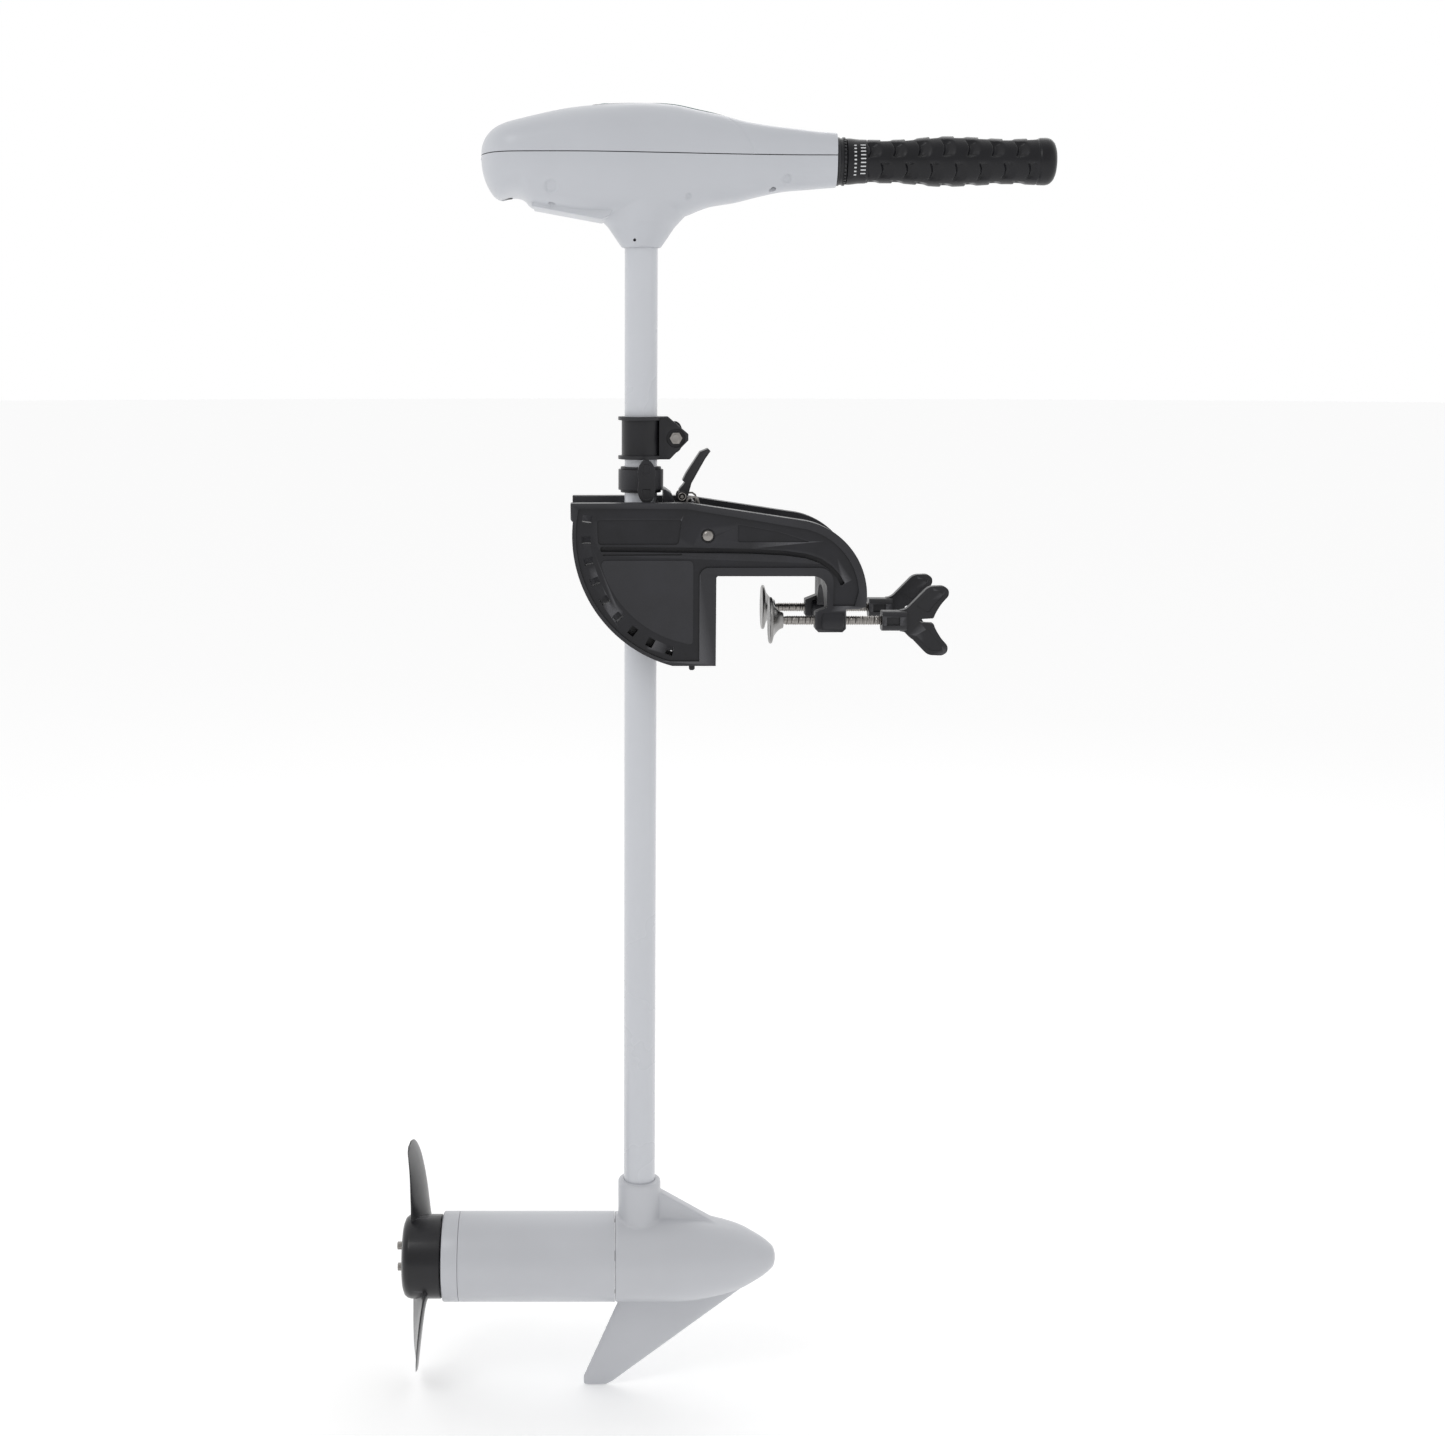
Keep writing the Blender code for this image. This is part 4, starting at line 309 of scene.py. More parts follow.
# ---------------------------------------------------------------- meshes
class Forge:
    """Makes the plain meshes that every sub-assembly is built from."""

    @staticmethod
    def thing(name: str, bm: bmesh.types.BMesh, flip_check: bool = True) -> Thing:
        """Turn a bmesh into an object in the scene.

        Args:
            name: Object name.
            bm: The mesh, freed here.
            flip_check: Whether normals are recalculated to point outwards.

        Returns:
            The object.
        """
        bmesh.ops.remove_doubles(bm, verts=bm.verts, dist=1e-7)
        if flip_check:
            bmesh.ops.recalc_face_normals(bm, faces=bm.faces)
        mesh = bpy.data.meshes.new(name)
        bm.to_mesh(mesh)
        bm.free()
        made = bpy.data.objects.new(name, mesh)
        bpy.context.scene.collection.objects.link(made)
        return made

    @staticmethod
    def loft(name: str, rings: Sequence[Sequence[Point3]], capped: bool = True,
             closed: bool = True) -> Thing:
        """Skin a row of rings of equal count.

        Args:
            name: Object name.
            rings: The rings, in order.
            capped: Whether both ends get a face.
            closed: Whether each ring joins its own end.

        Returns:
            The lofted object.
        """
        bm = bmesh.new()
        rows = [[bm.verts.new(point) for point in ring] for ring in rings]
        for low, high in zip(rows, rows[1:]):
            count = len(low)
            for i in range(count if closed else count - 1):
                j = (i + 1) % count
                bm.faces.new((low[i], low[j], high[j], high[i]))
        if capped:
            bm.faces.new(rows[0])
            bm.faces.new(rows[-1])
        return Forge.thing(name, bm)

    @staticmethod
    def turned(name: str, profile: Sequence[Point2], axis: Axis, centre: Point3,
               sides: int = 72) -> Thing:
        """Turn a profile of (radius, height) points round an axis.

        Args:
            name: Object name.
            profile: The closed profile; a zero radius makes a pole.
            axis: Axis to turn round.
            centre: Where the axis's zero stands.
            sides: Facets round the circle.

        Returns:
            The turned object.
        """
        bm = bmesh.new()
        rows: list[list[bmesh.types.BMVert]] = []
        for radius, height in profile:
            if radius < 1e-7:
                rows.append([bm.verts.new((0, 0, height))])
                continue
            rows.append([bm.verts.new((radius * math.cos(2 * math.pi * i / sides),
                                       radius * math.sin(2 * math.pi * i / sides), height))
                         for i in range(sides)])
        pairs = list(zip(rows, rows[1:]))
        if len(rows[0]) > 1 or len(rows[-1]) > 1:
            pairs.append((rows[-1], rows[0]))
        for low, high in pairs:
            for i in range(sides):
                j = (i + 1) % sides
                quad = [low[i % len(low)], low[j % len(low)], high[j % len(high)],
                        high[i % len(high)]]
                corners = list(dict.fromkeys(quad))
                if len(corners) > 2:
                    bm.faces.new(corners)
        bm.transform(Matrix.Translation(centre) @ axis.value)
        return Forge.thing(name, bm)

    @staticmethod
    def prism(name: str, outline: Outline, low: float, high: float, axis: Axis = Axis.Y) -> Thing:
        """Extrude an outline along an axis.

        Args:
            name: Object name.
            outline: Points in the plane across the axis: XZ for Y, YZ for X and XY for Z.
            low: Start along the axis.
            high: End along the axis.
            axis: Axis to extrude along.

        Returns:
            The prism.
        """
        def place(u: float, v: float, w: float) -> Point3:
            if axis is Axis.Y:
                return u, w, v
            return (w, u, v) if axis is Axis.X else (u, v, w)

        return Forge.loft(name, [[place(u, v, low) for u, v in outline],
                                 [place(u, v, high) for u, v in outline]])

    @staticmethod
    def box(name: str, low: Point3, high: Point3) -> Thing:
        """A box between two corners, to be cut or bevelled."""
        corners = [(low[0], low[1]), (high[0], low[1]), (high[0], high[1]), (low[0], high[1])]
        return Forge.prism(name, corners, low[2], high[2], Axis.Z)

    @staticmethod
    def rod(name: str, radius: float, start: Point3, end: Point3, sides: int = 32) -> Thing:
        """A round bar between two points.

        Args:
            name: Object name.
            radius: Its radius.
            start: Centre of one end.
            end: Centre of the other.
            sides: Facets round it.

        Returns:
            The bar.
        """
        low, high = Vector(start), Vector(end)
        bm = bmesh.new()
        bmesh.ops.create_cone(bm, cap_ends=True, segments=sides, radius1=radius, radius2=radius,
                              depth=(high - low).length)
        turn = (high - low).to_track_quat("Z", "Y").to_matrix().to_4x4()
        bm.transform(Matrix.Translation((low + high) / 2) @ turn)
        return Forge.thing(name, bm)

    @staticmethod
    def solved(thing: Thing) -> Thing:
        """Apply every modifier on an object and leave it plain."""
        depsgraph = bpy.context.evaluated_depsgraph_get()
        depsgraph.update()
        mesh = bpy.data.meshes.new_from_object(thing.evaluated_get(depsgraph))
        mesh.name = thing.name
        old = thing.data
        thing.modifiers.clear()
        thing.data = mesh
        bpy.data.meshes.remove(old)
        return thing

    @staticmethod
    def combined(thing: Thing, others: Iterable[Thing], operation: str) -> Thing:
        """Add, cut away or keep the overlap with other closed objects, which are used up.

        Args:
            thing: The object that is changed.
            others: The objects that are used up.
            operation: UNION, DIFFERENCE or INTERSECT.

        Returns:
            The changed object.
        """
        used = list(others)
        group = bpy.data.collections.new("used")
        for other in used:
            group.objects.link(other)
        modifier = thing.modifiers.new("combine", "BOOLEAN")
        modifier.operation = operation
        modifier.solver = "EXACT"
        modifier.operand_type = "COLLECTION"
        modifier.collection = group
        Forge.solved(thing)
        for other in used:
            bpy.data.objects.remove(other)
        bpy.data.collections.remove(group)
        return thing

    @staticmethod
    def joined(thing: Thing, others: Iterable[Thing]) -> Thing:
        """Union other objects into one."""
        return Forge.combined(thing, others, "UNION")

    @staticmethod
    def cut(thing: Thing, others: Iterable[Thing]) -> Thing:
        """Cut other objects out of one."""
        return Forge.combined(thing, others, "DIFFERENCE")

    @staticmethod
    def rounded(thing: Thing, width: float, segments: int = 2, angle: float = 32.0) -> Thing:
        """Break the sharp edges with a small radius and shade the rest smooth.

        Args:
            thing: The object.
            width: Width of the broken edge.
            segments: Steps across it.
            angle: Edges sharper than this many degrees are broken.

        Returns:
            The object.
        """
        Forge.cleaned(thing)
        modifier = thing.modifiers.new("edges", "BEVEL")
        modifier.width = width
        modifier.segments = segments
        modifier.limit_method = "ANGLE"
        modifier.angle_limit = math.radians(angle)
        modifier.use_clamp_overlap = True
        Forge.solved(thing)
        Forge.shaded(thing)
        evener = thing.modifiers.new("even", "WEIGHTED_NORMAL")
        evener.keep_sharp = True
        evener.weight = 90
        return Forge.solved(thing)

    @staticmethod
    def cleaned(thing: Thing) -> Thing:
        """Merge doubles and melt away flat seams between faces."""
        bm = bmesh.new()
        bm.from_mesh(thing.data)
        bmesh.ops.remove_doubles(bm, verts=bm.verts, dist=2e-6)
        bmesh.ops.dissolve_limit(bm, angle_limit=math.radians(1.0), verts=bm.verts,
                                 edges=bm.edges)
        bm.to_mesh(thing.data)
        bm.free()
        return thing

    @staticmethod
    def shaded(thing: Thing, angle: float = 34.0) -> Thing:
        """Shade smooth, with edges sharper than an angle left crisp."""
        thing.data.polygons.foreach_set("use_smooth", [True] * len(thing.data.polygons))
        thing.data.set_sharp_from_angle(angle=math.radians(angle))
        return thing

    @staticmethod
    def merged(name: str, things: Sequence[Thing]) -> Thing:
        """Put several objects' meshes into one object, without a boolean.

        Args:
            name: Name of the result.
            things: The objects, used up.

        Returns:
            The one object.
        """
        bm = bmesh.new()
        for thing in things:
            bm.from_mesh(thing.data)
        made = Forge.thing(name, bm, flip_check=False)
        for thing in things:
            bpy.data.objects.remove(thing)
        return made

    @staticmethod
    def fused(thing: Thing, voxel: float, rounds: int) -> Thing:
        """Melt a solid's parts together with small fillets, by remeshing and smoothing.

        Args:
            thing: The object.
            voxel: Grid size.
            rounds: How often it is smoothed.

        Returns:
            The object.
        """
        remesh = thing.modifiers.new("fuse", "REMESH")
        remesh.mode = "VOXEL"
        remesh.voxel_size = voxel
        smooth = thing.modifiers.new("fillet", "SMOOTH")
        smooth.factor = 0.5
        smooth.iterations = rounds
        Forge.solved(thing)
        return Forge.shaded(thing, 60.0)

    @staticmethod
    def refined(node: str, name: str, width: float, segments: int = 2) -> Thing:
        """A copy of a CAD node with its flat faces healed and its edges broken.

        Args:
            node: The CAD node.
            name: Name of the copy.
            width: Width of the broken edges.
            segments: Steps across them.

        Returns:
            The copy.
        """
        bm = bmesh.new()
        bm.from_mesh(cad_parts[node].data)
        bmesh.ops.remove_doubles(bm, verts=bm.verts, dist=5e-6)
        made = Forge.thing(name, bm, flip_check=False)
        return Forge.rounded(made, width, segments)


def circle(centre: Point2, radius: float, count: int) -> Outline:
    """Evenly spaced points round a circle; six of them make a hexagon.

    Args:
        centre: Its centre.
        radius: Its radius.
        count: Number of points.

    Returns:
        The points.
    """
    return [(centre[0] + radius * math.cos(2 * math.pi * i / count),
             centre[1] + radius * math.sin(2 * math.pi * i / count)) for i in range(count)]


def arc(centre: Point2, radius: float, start: float, end: float, steps: int) -> Outline:
    """Points along an arc.

    Args:
        centre: Its centre.
        radius: Its radius.
        start: First angle in degrees, from the first axis towards the second.
        end: Last angle in degrees.
        steps: Spaces between points.

    Returns:
        The points.
    """
    return [(centre[0] + radius * math.cos(math.radians(start + (end - start) * i / steps)),
             centre[1] + radius * math.sin(math.radians(start + (end - start) * i / steps)))
            for i in range(steps + 1)]


def softened(corners: Outline, radius: float, steps: int = 5) -> Outline:
    """Round every corner of an outline.

    Args:
        corners: The corners, in order.
        radius: Largest setback from each corner.
        steps: Spaces along each rounded corner.

    Returns:
        The rounded outline.
    """
    points: Outline = []
    for i, corner in enumerate(corners):
        here = Vector(corner)
        before, after = Vector(corners[i - 1]) - here, Vector(corners[(i + 1) % len(corners)]) - here
        reach = min(radius, before.length * 0.45, after.length * 0.45)
        start, end = here + before.normalized() * reach, here + after.normalized() * reach
        for k in range(steps + 1):
            t = k / steps
            spot = start * (1 - t) ** 2 + here * 2 * t * (1 - t) + end * t ** 2
            points.append((spot.x, spot.y))
    return points


def strip(path: Outline, half: float) -> Outline:
    """Outline of a band along a path.

    Args:
        path: The path's points.
        half: Half of the band's width.

    Returns:
        The outline.
    """
    left: Outline = []
    right: Outline = []
    for i, point in enumerate(path):
        ahead, behind = Vector(path[min(i + 1, len(path) - 1)]), Vector(path[max(i - 1, 0)])
        way = (ahead - behind).normalized()
        left.append((point[0] - way.y * half, point[1] + way.x * half))
        right.append((point[0] + way.y * half, point[1] - way.x * half))
    return left + right[::-1]


@dataclass(frozen=True)
class Curve1D:
    """A smooth value along a line, through (place, value) stops."""

    stops: tuple[Point2, ...]

    def __call__(self, x: float) -> float:
        """Value at a place.

        Args:
            x: The place.

        Returns:
            The value.
        """
        stops = self.stops
        if x <= stops[0][0]:
            return stops[0][1]
        if x >= stops[-1][0]:
            return stops[-1][1]
        i = max(k for k in range(len(stops) - 1) if stops[k][0] <= x)
        (x0, v0), (x1, v1) = stops[i], stops[i + 1]
        span, t = x1 - x0, (x - x0) / (x1 - x0)
        m0, m1 = self._slope(i), self._slope(i + 1)
        return ((2 * t ** 3 - 3 * t ** 2 + 1) * v0 + (t ** 3 - 2 * t ** 2 + t) * span * m0
                + (3 * t ** 2 - 2 * t ** 3) * v1 + (t ** 3 - t ** 2) * span * m1)

    def _slope(self, i: int) -> float:
        """Slope at a stop, from its neighbours."""
        last = len(self.stops) - 1
        a, b = self.stops[max(0, i - 1)], self.stops[min(last, i + 1)]
        return (b[1] - a[1]) / (b[0] - a[0])


def smooth_step(low: float, high: float, x: float) -> float:
    """0 below low, 1 above high, and an S between them."""
    t = min(1.0, max(0.0, (x - low) / (high - low)))
    return t * t * (3 - 2 * t)


# ---------------------------------------------------------------- geometry node trees
class Repeater:
    """Geometry node trees for what repeats: threads and coils, and items set round an axis."""

    def __init__(self) -> None:
        """Build the trees once."""
        self.coil_tree = self._make_coil_tree()
        self.ring_tree = self._make_ring_tree()

    @staticmethod
    def _new_tree(name: str, sockets: Sequence[tuple[str, str]]) -> tuple[Graph, bpy.types.Node]:
        """A tree with named inputs and one mesh output.

        Args:
            name: Name of the tree.
            sockets: Name and kind of each input.

        Returns:
            The graph and its input node.
        """
        tree = bpy.data.node_groups.new(name, "GeometryNodeTree")
        for label, kind in sockets:
            tree.interface.new_socket(name=label, in_out="INPUT", socket_type=kind)
        tree.interface.new_socket(name="Mesh", in_out="OUTPUT",
                                  socket_type="NodeSocketGeometry")
        graph = Graph(tree)
        return graph, graph.add("NodeGroupInput")

    @staticmethod
    def _end(graph: Graph, geometry: bpy.types.NodeSocket, finish: bpy.types.NodeSocket) -> None:
        """Close a tree with Realize Instances and Set Material."""
        real = graph.add("GeometryNodeRealizeInstances", {"Geometry": geometry})
        dressed = graph.add("GeometryNodeSetMaterial", {"Geometry": real.outputs[0],
                                                        "Material": finish})
        graph.add("NodeGroupOutput", {"Mesh": dressed.outputs[0]})

    def _make_coil_tree(self) -> bpy.types.NodeTree:
        """A wire wound as a helix round +Z: a thread's ridge or a spring."""
        graph, given = self._new_tree("coil", [
            ("Radius", "NodeSocketFloat"), ("Length", "NodeSocketFloat"),
            ("Turns", "NodeSocketFloat"), ("Wire", "NodeSocketFloat"),
            ("Steps", "NodeSocketInt"), ("Sides", "NodeSocketInt"),
            ("Finish", "NodeSocketMaterial")])
        spiral = graph.add("GeometryNodeCurveSpiral", {
            "Resolution": given.outputs["Steps"], "Rotations": given.outputs["Turns"],
            "Start Radius": given.outputs["Radius"], "End Radius": given.outputs["Radius"],
            "Height": given.outputs["Length"]})
        wire = graph.add("GeometryNodeCurvePrimitiveCircle", {
            "Resolution": given.outputs["Sides"], "Radius": given.outputs["Wire"]})
        swept = graph.add("GeometryNodeCurveToMesh", {
            "Curve": spiral.outputs[0], "Profile Curve": wire.outputs[0], "Fill Caps": True})
        self._end(graph, swept.outputs[0], given.outputs["Finish"])
        return graph.tree

    def _make_ring_tree(self) -> bpy.types.NodeTree:
        """Copies of one item, each turned a step further round an axis."""
        graph, given = self._new_tree("ring_of_items", [
            ("Item", "NodeSocketObject"), ("Count", "NodeSocketInt"),
            ("Start", "NodeSocketFloat"), ("Step", "NodeSocketFloat"),
            ("Axis", "NodeSocketVector"), ("Centre", "NodeSocketVector"),
            ("Finish", "NodeSocketMaterial")])
        spots = graph.add("GeometryNodeMeshLine", {"Count": given.outputs["Count"],
                                                   "Offset": (0.0, 0.0, 0.0)})
        number = graph.add("GeometryNodeInputIndex").outputs[0]
        turned = graph.add("ShaderNodeMath", {0: number, 1: given.outputs["Step"],
                                              2: given.outputs["Start"]},
                           operation="MULTIPLY_ADD")
        turn = graph.add("FunctionNodeAxisAngleToRotation", {
            "Axis": given.outputs["Axis"], "Angle": turned.outputs[0]})
        item = graph.add("GeometryNodeObjectInfo", {"Object": given.outputs["Item"]})
        copies = graph.add("GeometryNodeInstanceOnPoints", {
            "Points": spots.outputs[0], "Instance": item.outputs["Geometry"],
            "Rotation": turn.outputs[0]})
        placed = graph.add("GeometryNodeTransform", {"Geometry": copies.outputs[0],
                                                     "Translation": given.outputs["Centre"]})
        self._end(graph, placed.outputs[0], given.outputs["Finish"])
        return graph.tree

    @staticmethod
    def _run(name: str, tree: bpy.types.NodeTree, values: dict) -> Thing:
        """Run a tree and keep its result as a plain mesh.

        Args:
            name: Name of the object made.
            tree: The tree.
            values: Input name to value.

        Returns:
            The object.
        """
        made = Forge.thing(name, bmesh.new())
        modifier = made.modifiers.new("repeat", "NODES")
        modifier.node_group = tree
        for socket in tree.interface.items_tree:
            if socket.in_out == "INPUT":
                modifier[socket.identifier] = values[socket.name]
        return Forge.solved(made)

    def coil(self, name: str, radius: float, length: float, turns: float, wire: float,
             finish: Finish, steps: int = 18, sides: int = 6) -> Thing:
        """A helix of wire that rises from the origin along +Z.

        Args:
            name: Object name.
            radius: Radius to the wire's middle.
            length: Rise from end to end.
            turns: Number of turns.
            wire: Radius of the wire.
            finish: Its finish.
            steps: Points for each turn.
            sides: Facets round the wire.

        Returns:
            The coil.
        """
        return self._run(name, self.coil_tree, {
            "Radius": radius, "Length": length, "Turns": turns, "Wire": wire, "Steps": steps,
            "Sides": sides, "Finish": finish.material()})

    def ring(self, name: str, item: Thing, count: int, start: float, step: float, axis: Point3,
             centre: Point3, finish: Finish) -> Thing:
        """Copies of an item round an axis; the item is used up.

        Args:
            name: Object name.
            item: The item, drawn with the axis through the origin.
            count: Number of copies.
            start: First turn in radians.
            step: Turn from one copy to the next.
            axis: Direction of the axis.
            centre: A point on the axis.
            finish: Finish of the copies.

        Returns:
            The copies as one mesh.
        """
        made = self._run(name, self.ring_tree, {
            "Item": item, "Count": count, "Start": start, "Step": step, "Axis": axis,
            "Centre": centre, "Finish": finish.material()})
        bpy.data.objects.remove(item)
        return made


@dataclass
class Assembly:
    """A group of finished pieces."""

    repeater: Repeater
    pieces: list[Thing] = field(default_factory=list, init=False)

    def dress(self, thing: Thing, body: Body, finish: Finish, slot: str,
              nodes: Sequence[str] = ()) -> Thing:
        """Give a finished piece its finish, its body and the CAD nodes it stands for.

        Args:
            thing: The piece.
            body: Body that it moves with.
            finish: Its finish.
            slot: Material slot of the record that it belongs to; not used.
            nodes: CAD nodes that it replaces.

        Returns:
            The piece.
        """
        thing.data.materials.clear()
        thing.data.materials.append(finish.material())
        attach(thing, body.value)
        if nodes:
            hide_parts(*nodes)
        self.pieces.append(thing)
        LOG.info("%s: %d faces on %s", thing.name, len(thing.data.polygons), body.value)
        return thing


# ---------------------------------------------------------------- clamp bracket
@dataclass
class ClampBracket(Assembly):
    """The two moulded cheeks, the webs between them, and the tilt bolt."""

    inner: float = 0.040
    outer: float = 0.054
    throat: float = 0.0965
    seat: float = 0.0395
    leg: float = 0.0349
    pivot: Point2 = (-0.0075, 0.0745)
    sector: float = 0.118
    top: float = 0.103
    slot_count: int = 9
    slot_pitch: float = 10.0
    slot_lowest: float = 72.0
    slot_inner: float = 0.102
    slot_size: Point2 = (0.008, 0.0063)
    field_depth: float = 0.0022

    def from_pivot(self, radius: float, degrees: float) -> Point2:
        """A point round the tilt pivot, its angle measured down from the outboard side."""
        a = math.radians(degrees)
        return self.pivot[0] - radius * math.cos(a), self.pivot[1] - radius * math.sin(a)

    def outline(self) -> Outline:
        """Side outline of a cheek, with the small tab at its outboard top corner."""
        leg_out, lug = self.throat + self.leg, 0.0097
        bow_r = self.leg + 0.032
        end = math.degrees(math.asin((self.pivot[1] + self.seat) / self.sector))
        points: Outline = [(0.0, -self.seat), (0.0, self.seat - 0.0012), (0.0012, self.seat)]
        points += arc((self.throat - 0.012, self.seat - 0.012), 0.012, 90, 0, 12)
        points += [(self.throat, lug + 0.002), (self.throat - 0.010, lug - 0.002),
                   (self.throat - 0.010, 0.003 - lug), (self.throat - 0.007, -lug),
                   (self.throat + 0.014, -lug), (self.throat + 0.017, 0.003 - lug),
                   (self.throat + 0.017, 0.0104), (leg_out - 0.007, 0.0106)]
        points += arc((leg_out - bow_r, self.seat - 0.0175), bow_r, -8, 79, 40)
        points += [(self.pivot[0] - 0.0165, self.top)]
        points += softened([(-0.1268, self.top), (-0.1268, 0.0885)], 0.0006, 2)[1:]
        points += [(self.pivot[0] - self.sector, 0.0870)]
        start = math.degrees(math.asin(-0.0125 / self.sector))
        return points + [self.from_pivot(self.sector, start + (end - start) * i / 64)
                         for i in range(65)]

    def field_outline(self) -> Outline:
        """Outline of the sunk field inside the raised edge of a cheek."""
        edge = self.sector - 0.0032
        top, foot, band = self.top - 0.0050, -0.0355, 0.0145
        start = math.degrees(math.asin((self.pivot[1] - top) / edge))
        end = math.degrees(math.asin((self.pivot[1] - foot) / edge))
        bow_r = self.leg + 0.032
        leg_out, sill = self.throat + self.leg, self.seat + 0.0074
        points: Outline = [(-band, foot)]
        points += arc((-band + 0.008, sill - 0.008), 0.008, 180, 90, 8)
        points += arc((self.throat - 0.007, sill - 0.0125), 0.0125, 90, 0, 10)
        points += [(self.throat + 0.0055, 0.0135), (leg_out - 0.0105, 0.0135)]
        points += arc((leg_out - bow_r, self.seat - 0.0175), bow_r - 0.0070, 4, 79, 32)
        points += [(-0.0260, top)]
        return points + [self.from_pivot(edge, start + (end - start) * i / 48) for i in range(49)]

    def _layers(self, side: Side) -> tuple[list[Thing], list[Thing], list[Thing]]:
        """Shapes that give a cheek its relief.

        Args:
            side: Which cheek.

        Returns:
            The first cut, what is then added, and what is cut last.
        """
        def slab(name: str, outline: Outline, low: float, high: float) -> Thing:
            near, far = sorted((side.value * low, side.value * high))
            return Forge.prism(name, outline, near, far)

        face = self.outer - self.field_depth
        past = self.outer + 0.004
        field = slab("field", self.field_outline(), face, past)
        panel_arc = [self.from_pivot(0.0962, a) for a in range(72, 12, -3)]
        lower = softened([(-0.0200, -0.0215)] + panel_arc + [(-0.098, 0.0530), (-0.0200, 0.0530)],
                         0.005, 4)
        raised = [slab("lower_panel", lower, face - 0.002, face + 0.0009)]
        upper = softened([(-0.1040, 0.0885), (-0.1030, 0.0668), (-0.0330, 0.0668),
                          (-0.0315, 0.0780), (-0.0300, 0.0885)], 0.003, 4)
        long_groove = [(-0.1010, 0.0628), (-0.02, 0.0622), (0.03, 0.0612), (0.060, 0.0595),
                       (0.078, 0.0570), (0.090, 0.0530), (0.099, 0.0470), (0.1055, 0.0400),
                       (0.1105, 0.0320)]
        fine_groove = [(-0.0990, 0.0578), (-0.06, 0.0580), (-0.030, 0.0583)]
        wedge = softened([(0.0184, 0.0845), (0.0540, 0.0780), (0.0816, 0.0690), (0.0184, 0.0690)],
                         0.002, 3)
        cuts = [slab("upper_panel", upper, face - 0.0016, past),
                slab("long_groove", softened(strip(long_groove, 0.0021), 0.001, 2),
                     face - 0.0052, past),
                slab("fine_groove", softened(strip(fine_groove, 0.0007), 0.0003, 1),
                     face - 0.0014, past),
                slab("wedge", wedge, face - 0.0012, past)]
        return [field], raised, cuts

    def _slots(self, side: Side) -> list[Thing]:
        """Cutters for the row of lock slots and the groove behind them."""
        low, high = sorted((side.value * (self.inner - 0.002), side.value * (self.outer + 0.002)))
        half = self.slot_size[1] / 2
        item = Forge.box("slot", (-self.slot_inner - self.slot_size[0], low, -half),
                         (-self.slot_inner, high, half))
        slots = self.repeater.ring(
            "slots", item, self.slot_count, -math.radians(self.slot_lowest),
            math.radians(self.slot_pitch), (0.0, 1.0, 0.0), (self.pivot[0], 0.0, self.pivot[1]),
            BRACKET_NYLON)
        start = self.slot_lowest + 3
        end = self.slot_lowest - (self.slot_count - 1) * self.slot_pitch - 3
        outer = self.slot_inner + 0.0001
        steps = 48
        angles = [start + (end - start) * i / steps for i in range(steps + 1)]
        band = [self.from_pivot(outer, a) for a in angles]
        band += [self.from_pivot(outer - 0.0063, a) for a in angles[::-1]]
        low, high = sorted((side.value * (self.inner - 0.002), side.value * (self.inner + 0.0056)))
        return [slots, Forge.prism("lock_channel", band, low, high)]

    def build_cheek(self, side: Side) -> Thing:
        """One cheek with its relief, slots, screw lug and peg.

        Args:
            side: Which cheek.

        Returns:
            The cheek.
        """
        low, high = sorted((side.value * self.inner, side.value * self.outer))
        cheek = Forge.prism(f"{side.label}_cheek_moulding", self.outline(), low, high)
        field, raised, cuts = self._layers(side)
        y = side.value * SCREW_Y
        barrel = Forge.turned("screw_barrel", [(0, 0.0925), (0.0094, 0.0925), (0.0102, 0.0935),
                                               (0.0102, 0.1105), (0.0094, 0.1115), (0, 0.1115)],
                              Axis.X, (0, y, 0), 48)
        peg = Forge.turned("peg", [(0, -0.0440), (0.0018, -0.0440), (0.0026, -0.0428),
                                   (0.0027, -0.036), (0, -0.036)], Axis.Z, (-0.0207, y, 0), 24)
        Forge.cut(cheek, field)
        Forge.joined(cheek, [*raised, barrel, peg])
        Forge.cut(cheek, [*cuts, *self._slots(side)])
        out = side.value * (self.outer + 0.002)
        hole = Forge.rod("pivot_hole", 0.0043, (self.pivot[0], side.value * 0.038, self.pivot[1]),
                         (self.pivot[0], out, self.pivot[1]))
        sink = Forge.rod("pivot_sink", 0.0063,
                         (self.pivot[0], side.value * (self.outer - 0.0031), self.pivot[1]),
                         (self.pivot[0], out, self.pivot[1]), 48)
        bore = Forge.rod("screw_bore", 0.0047, (self.throat - 0.02, y, 0),
                         (self.throat + self.leg, y, 0), 24)
        Forge.cut(cheek, [hole, sink, bore])
        Forge.rounded(cheek, 0.0005, 2, 30)
        return self.dress(cheek, Body.BRACKET, BRACKET_NYLON, "moulded_black",
                          [f"{side.label}_cheek"])

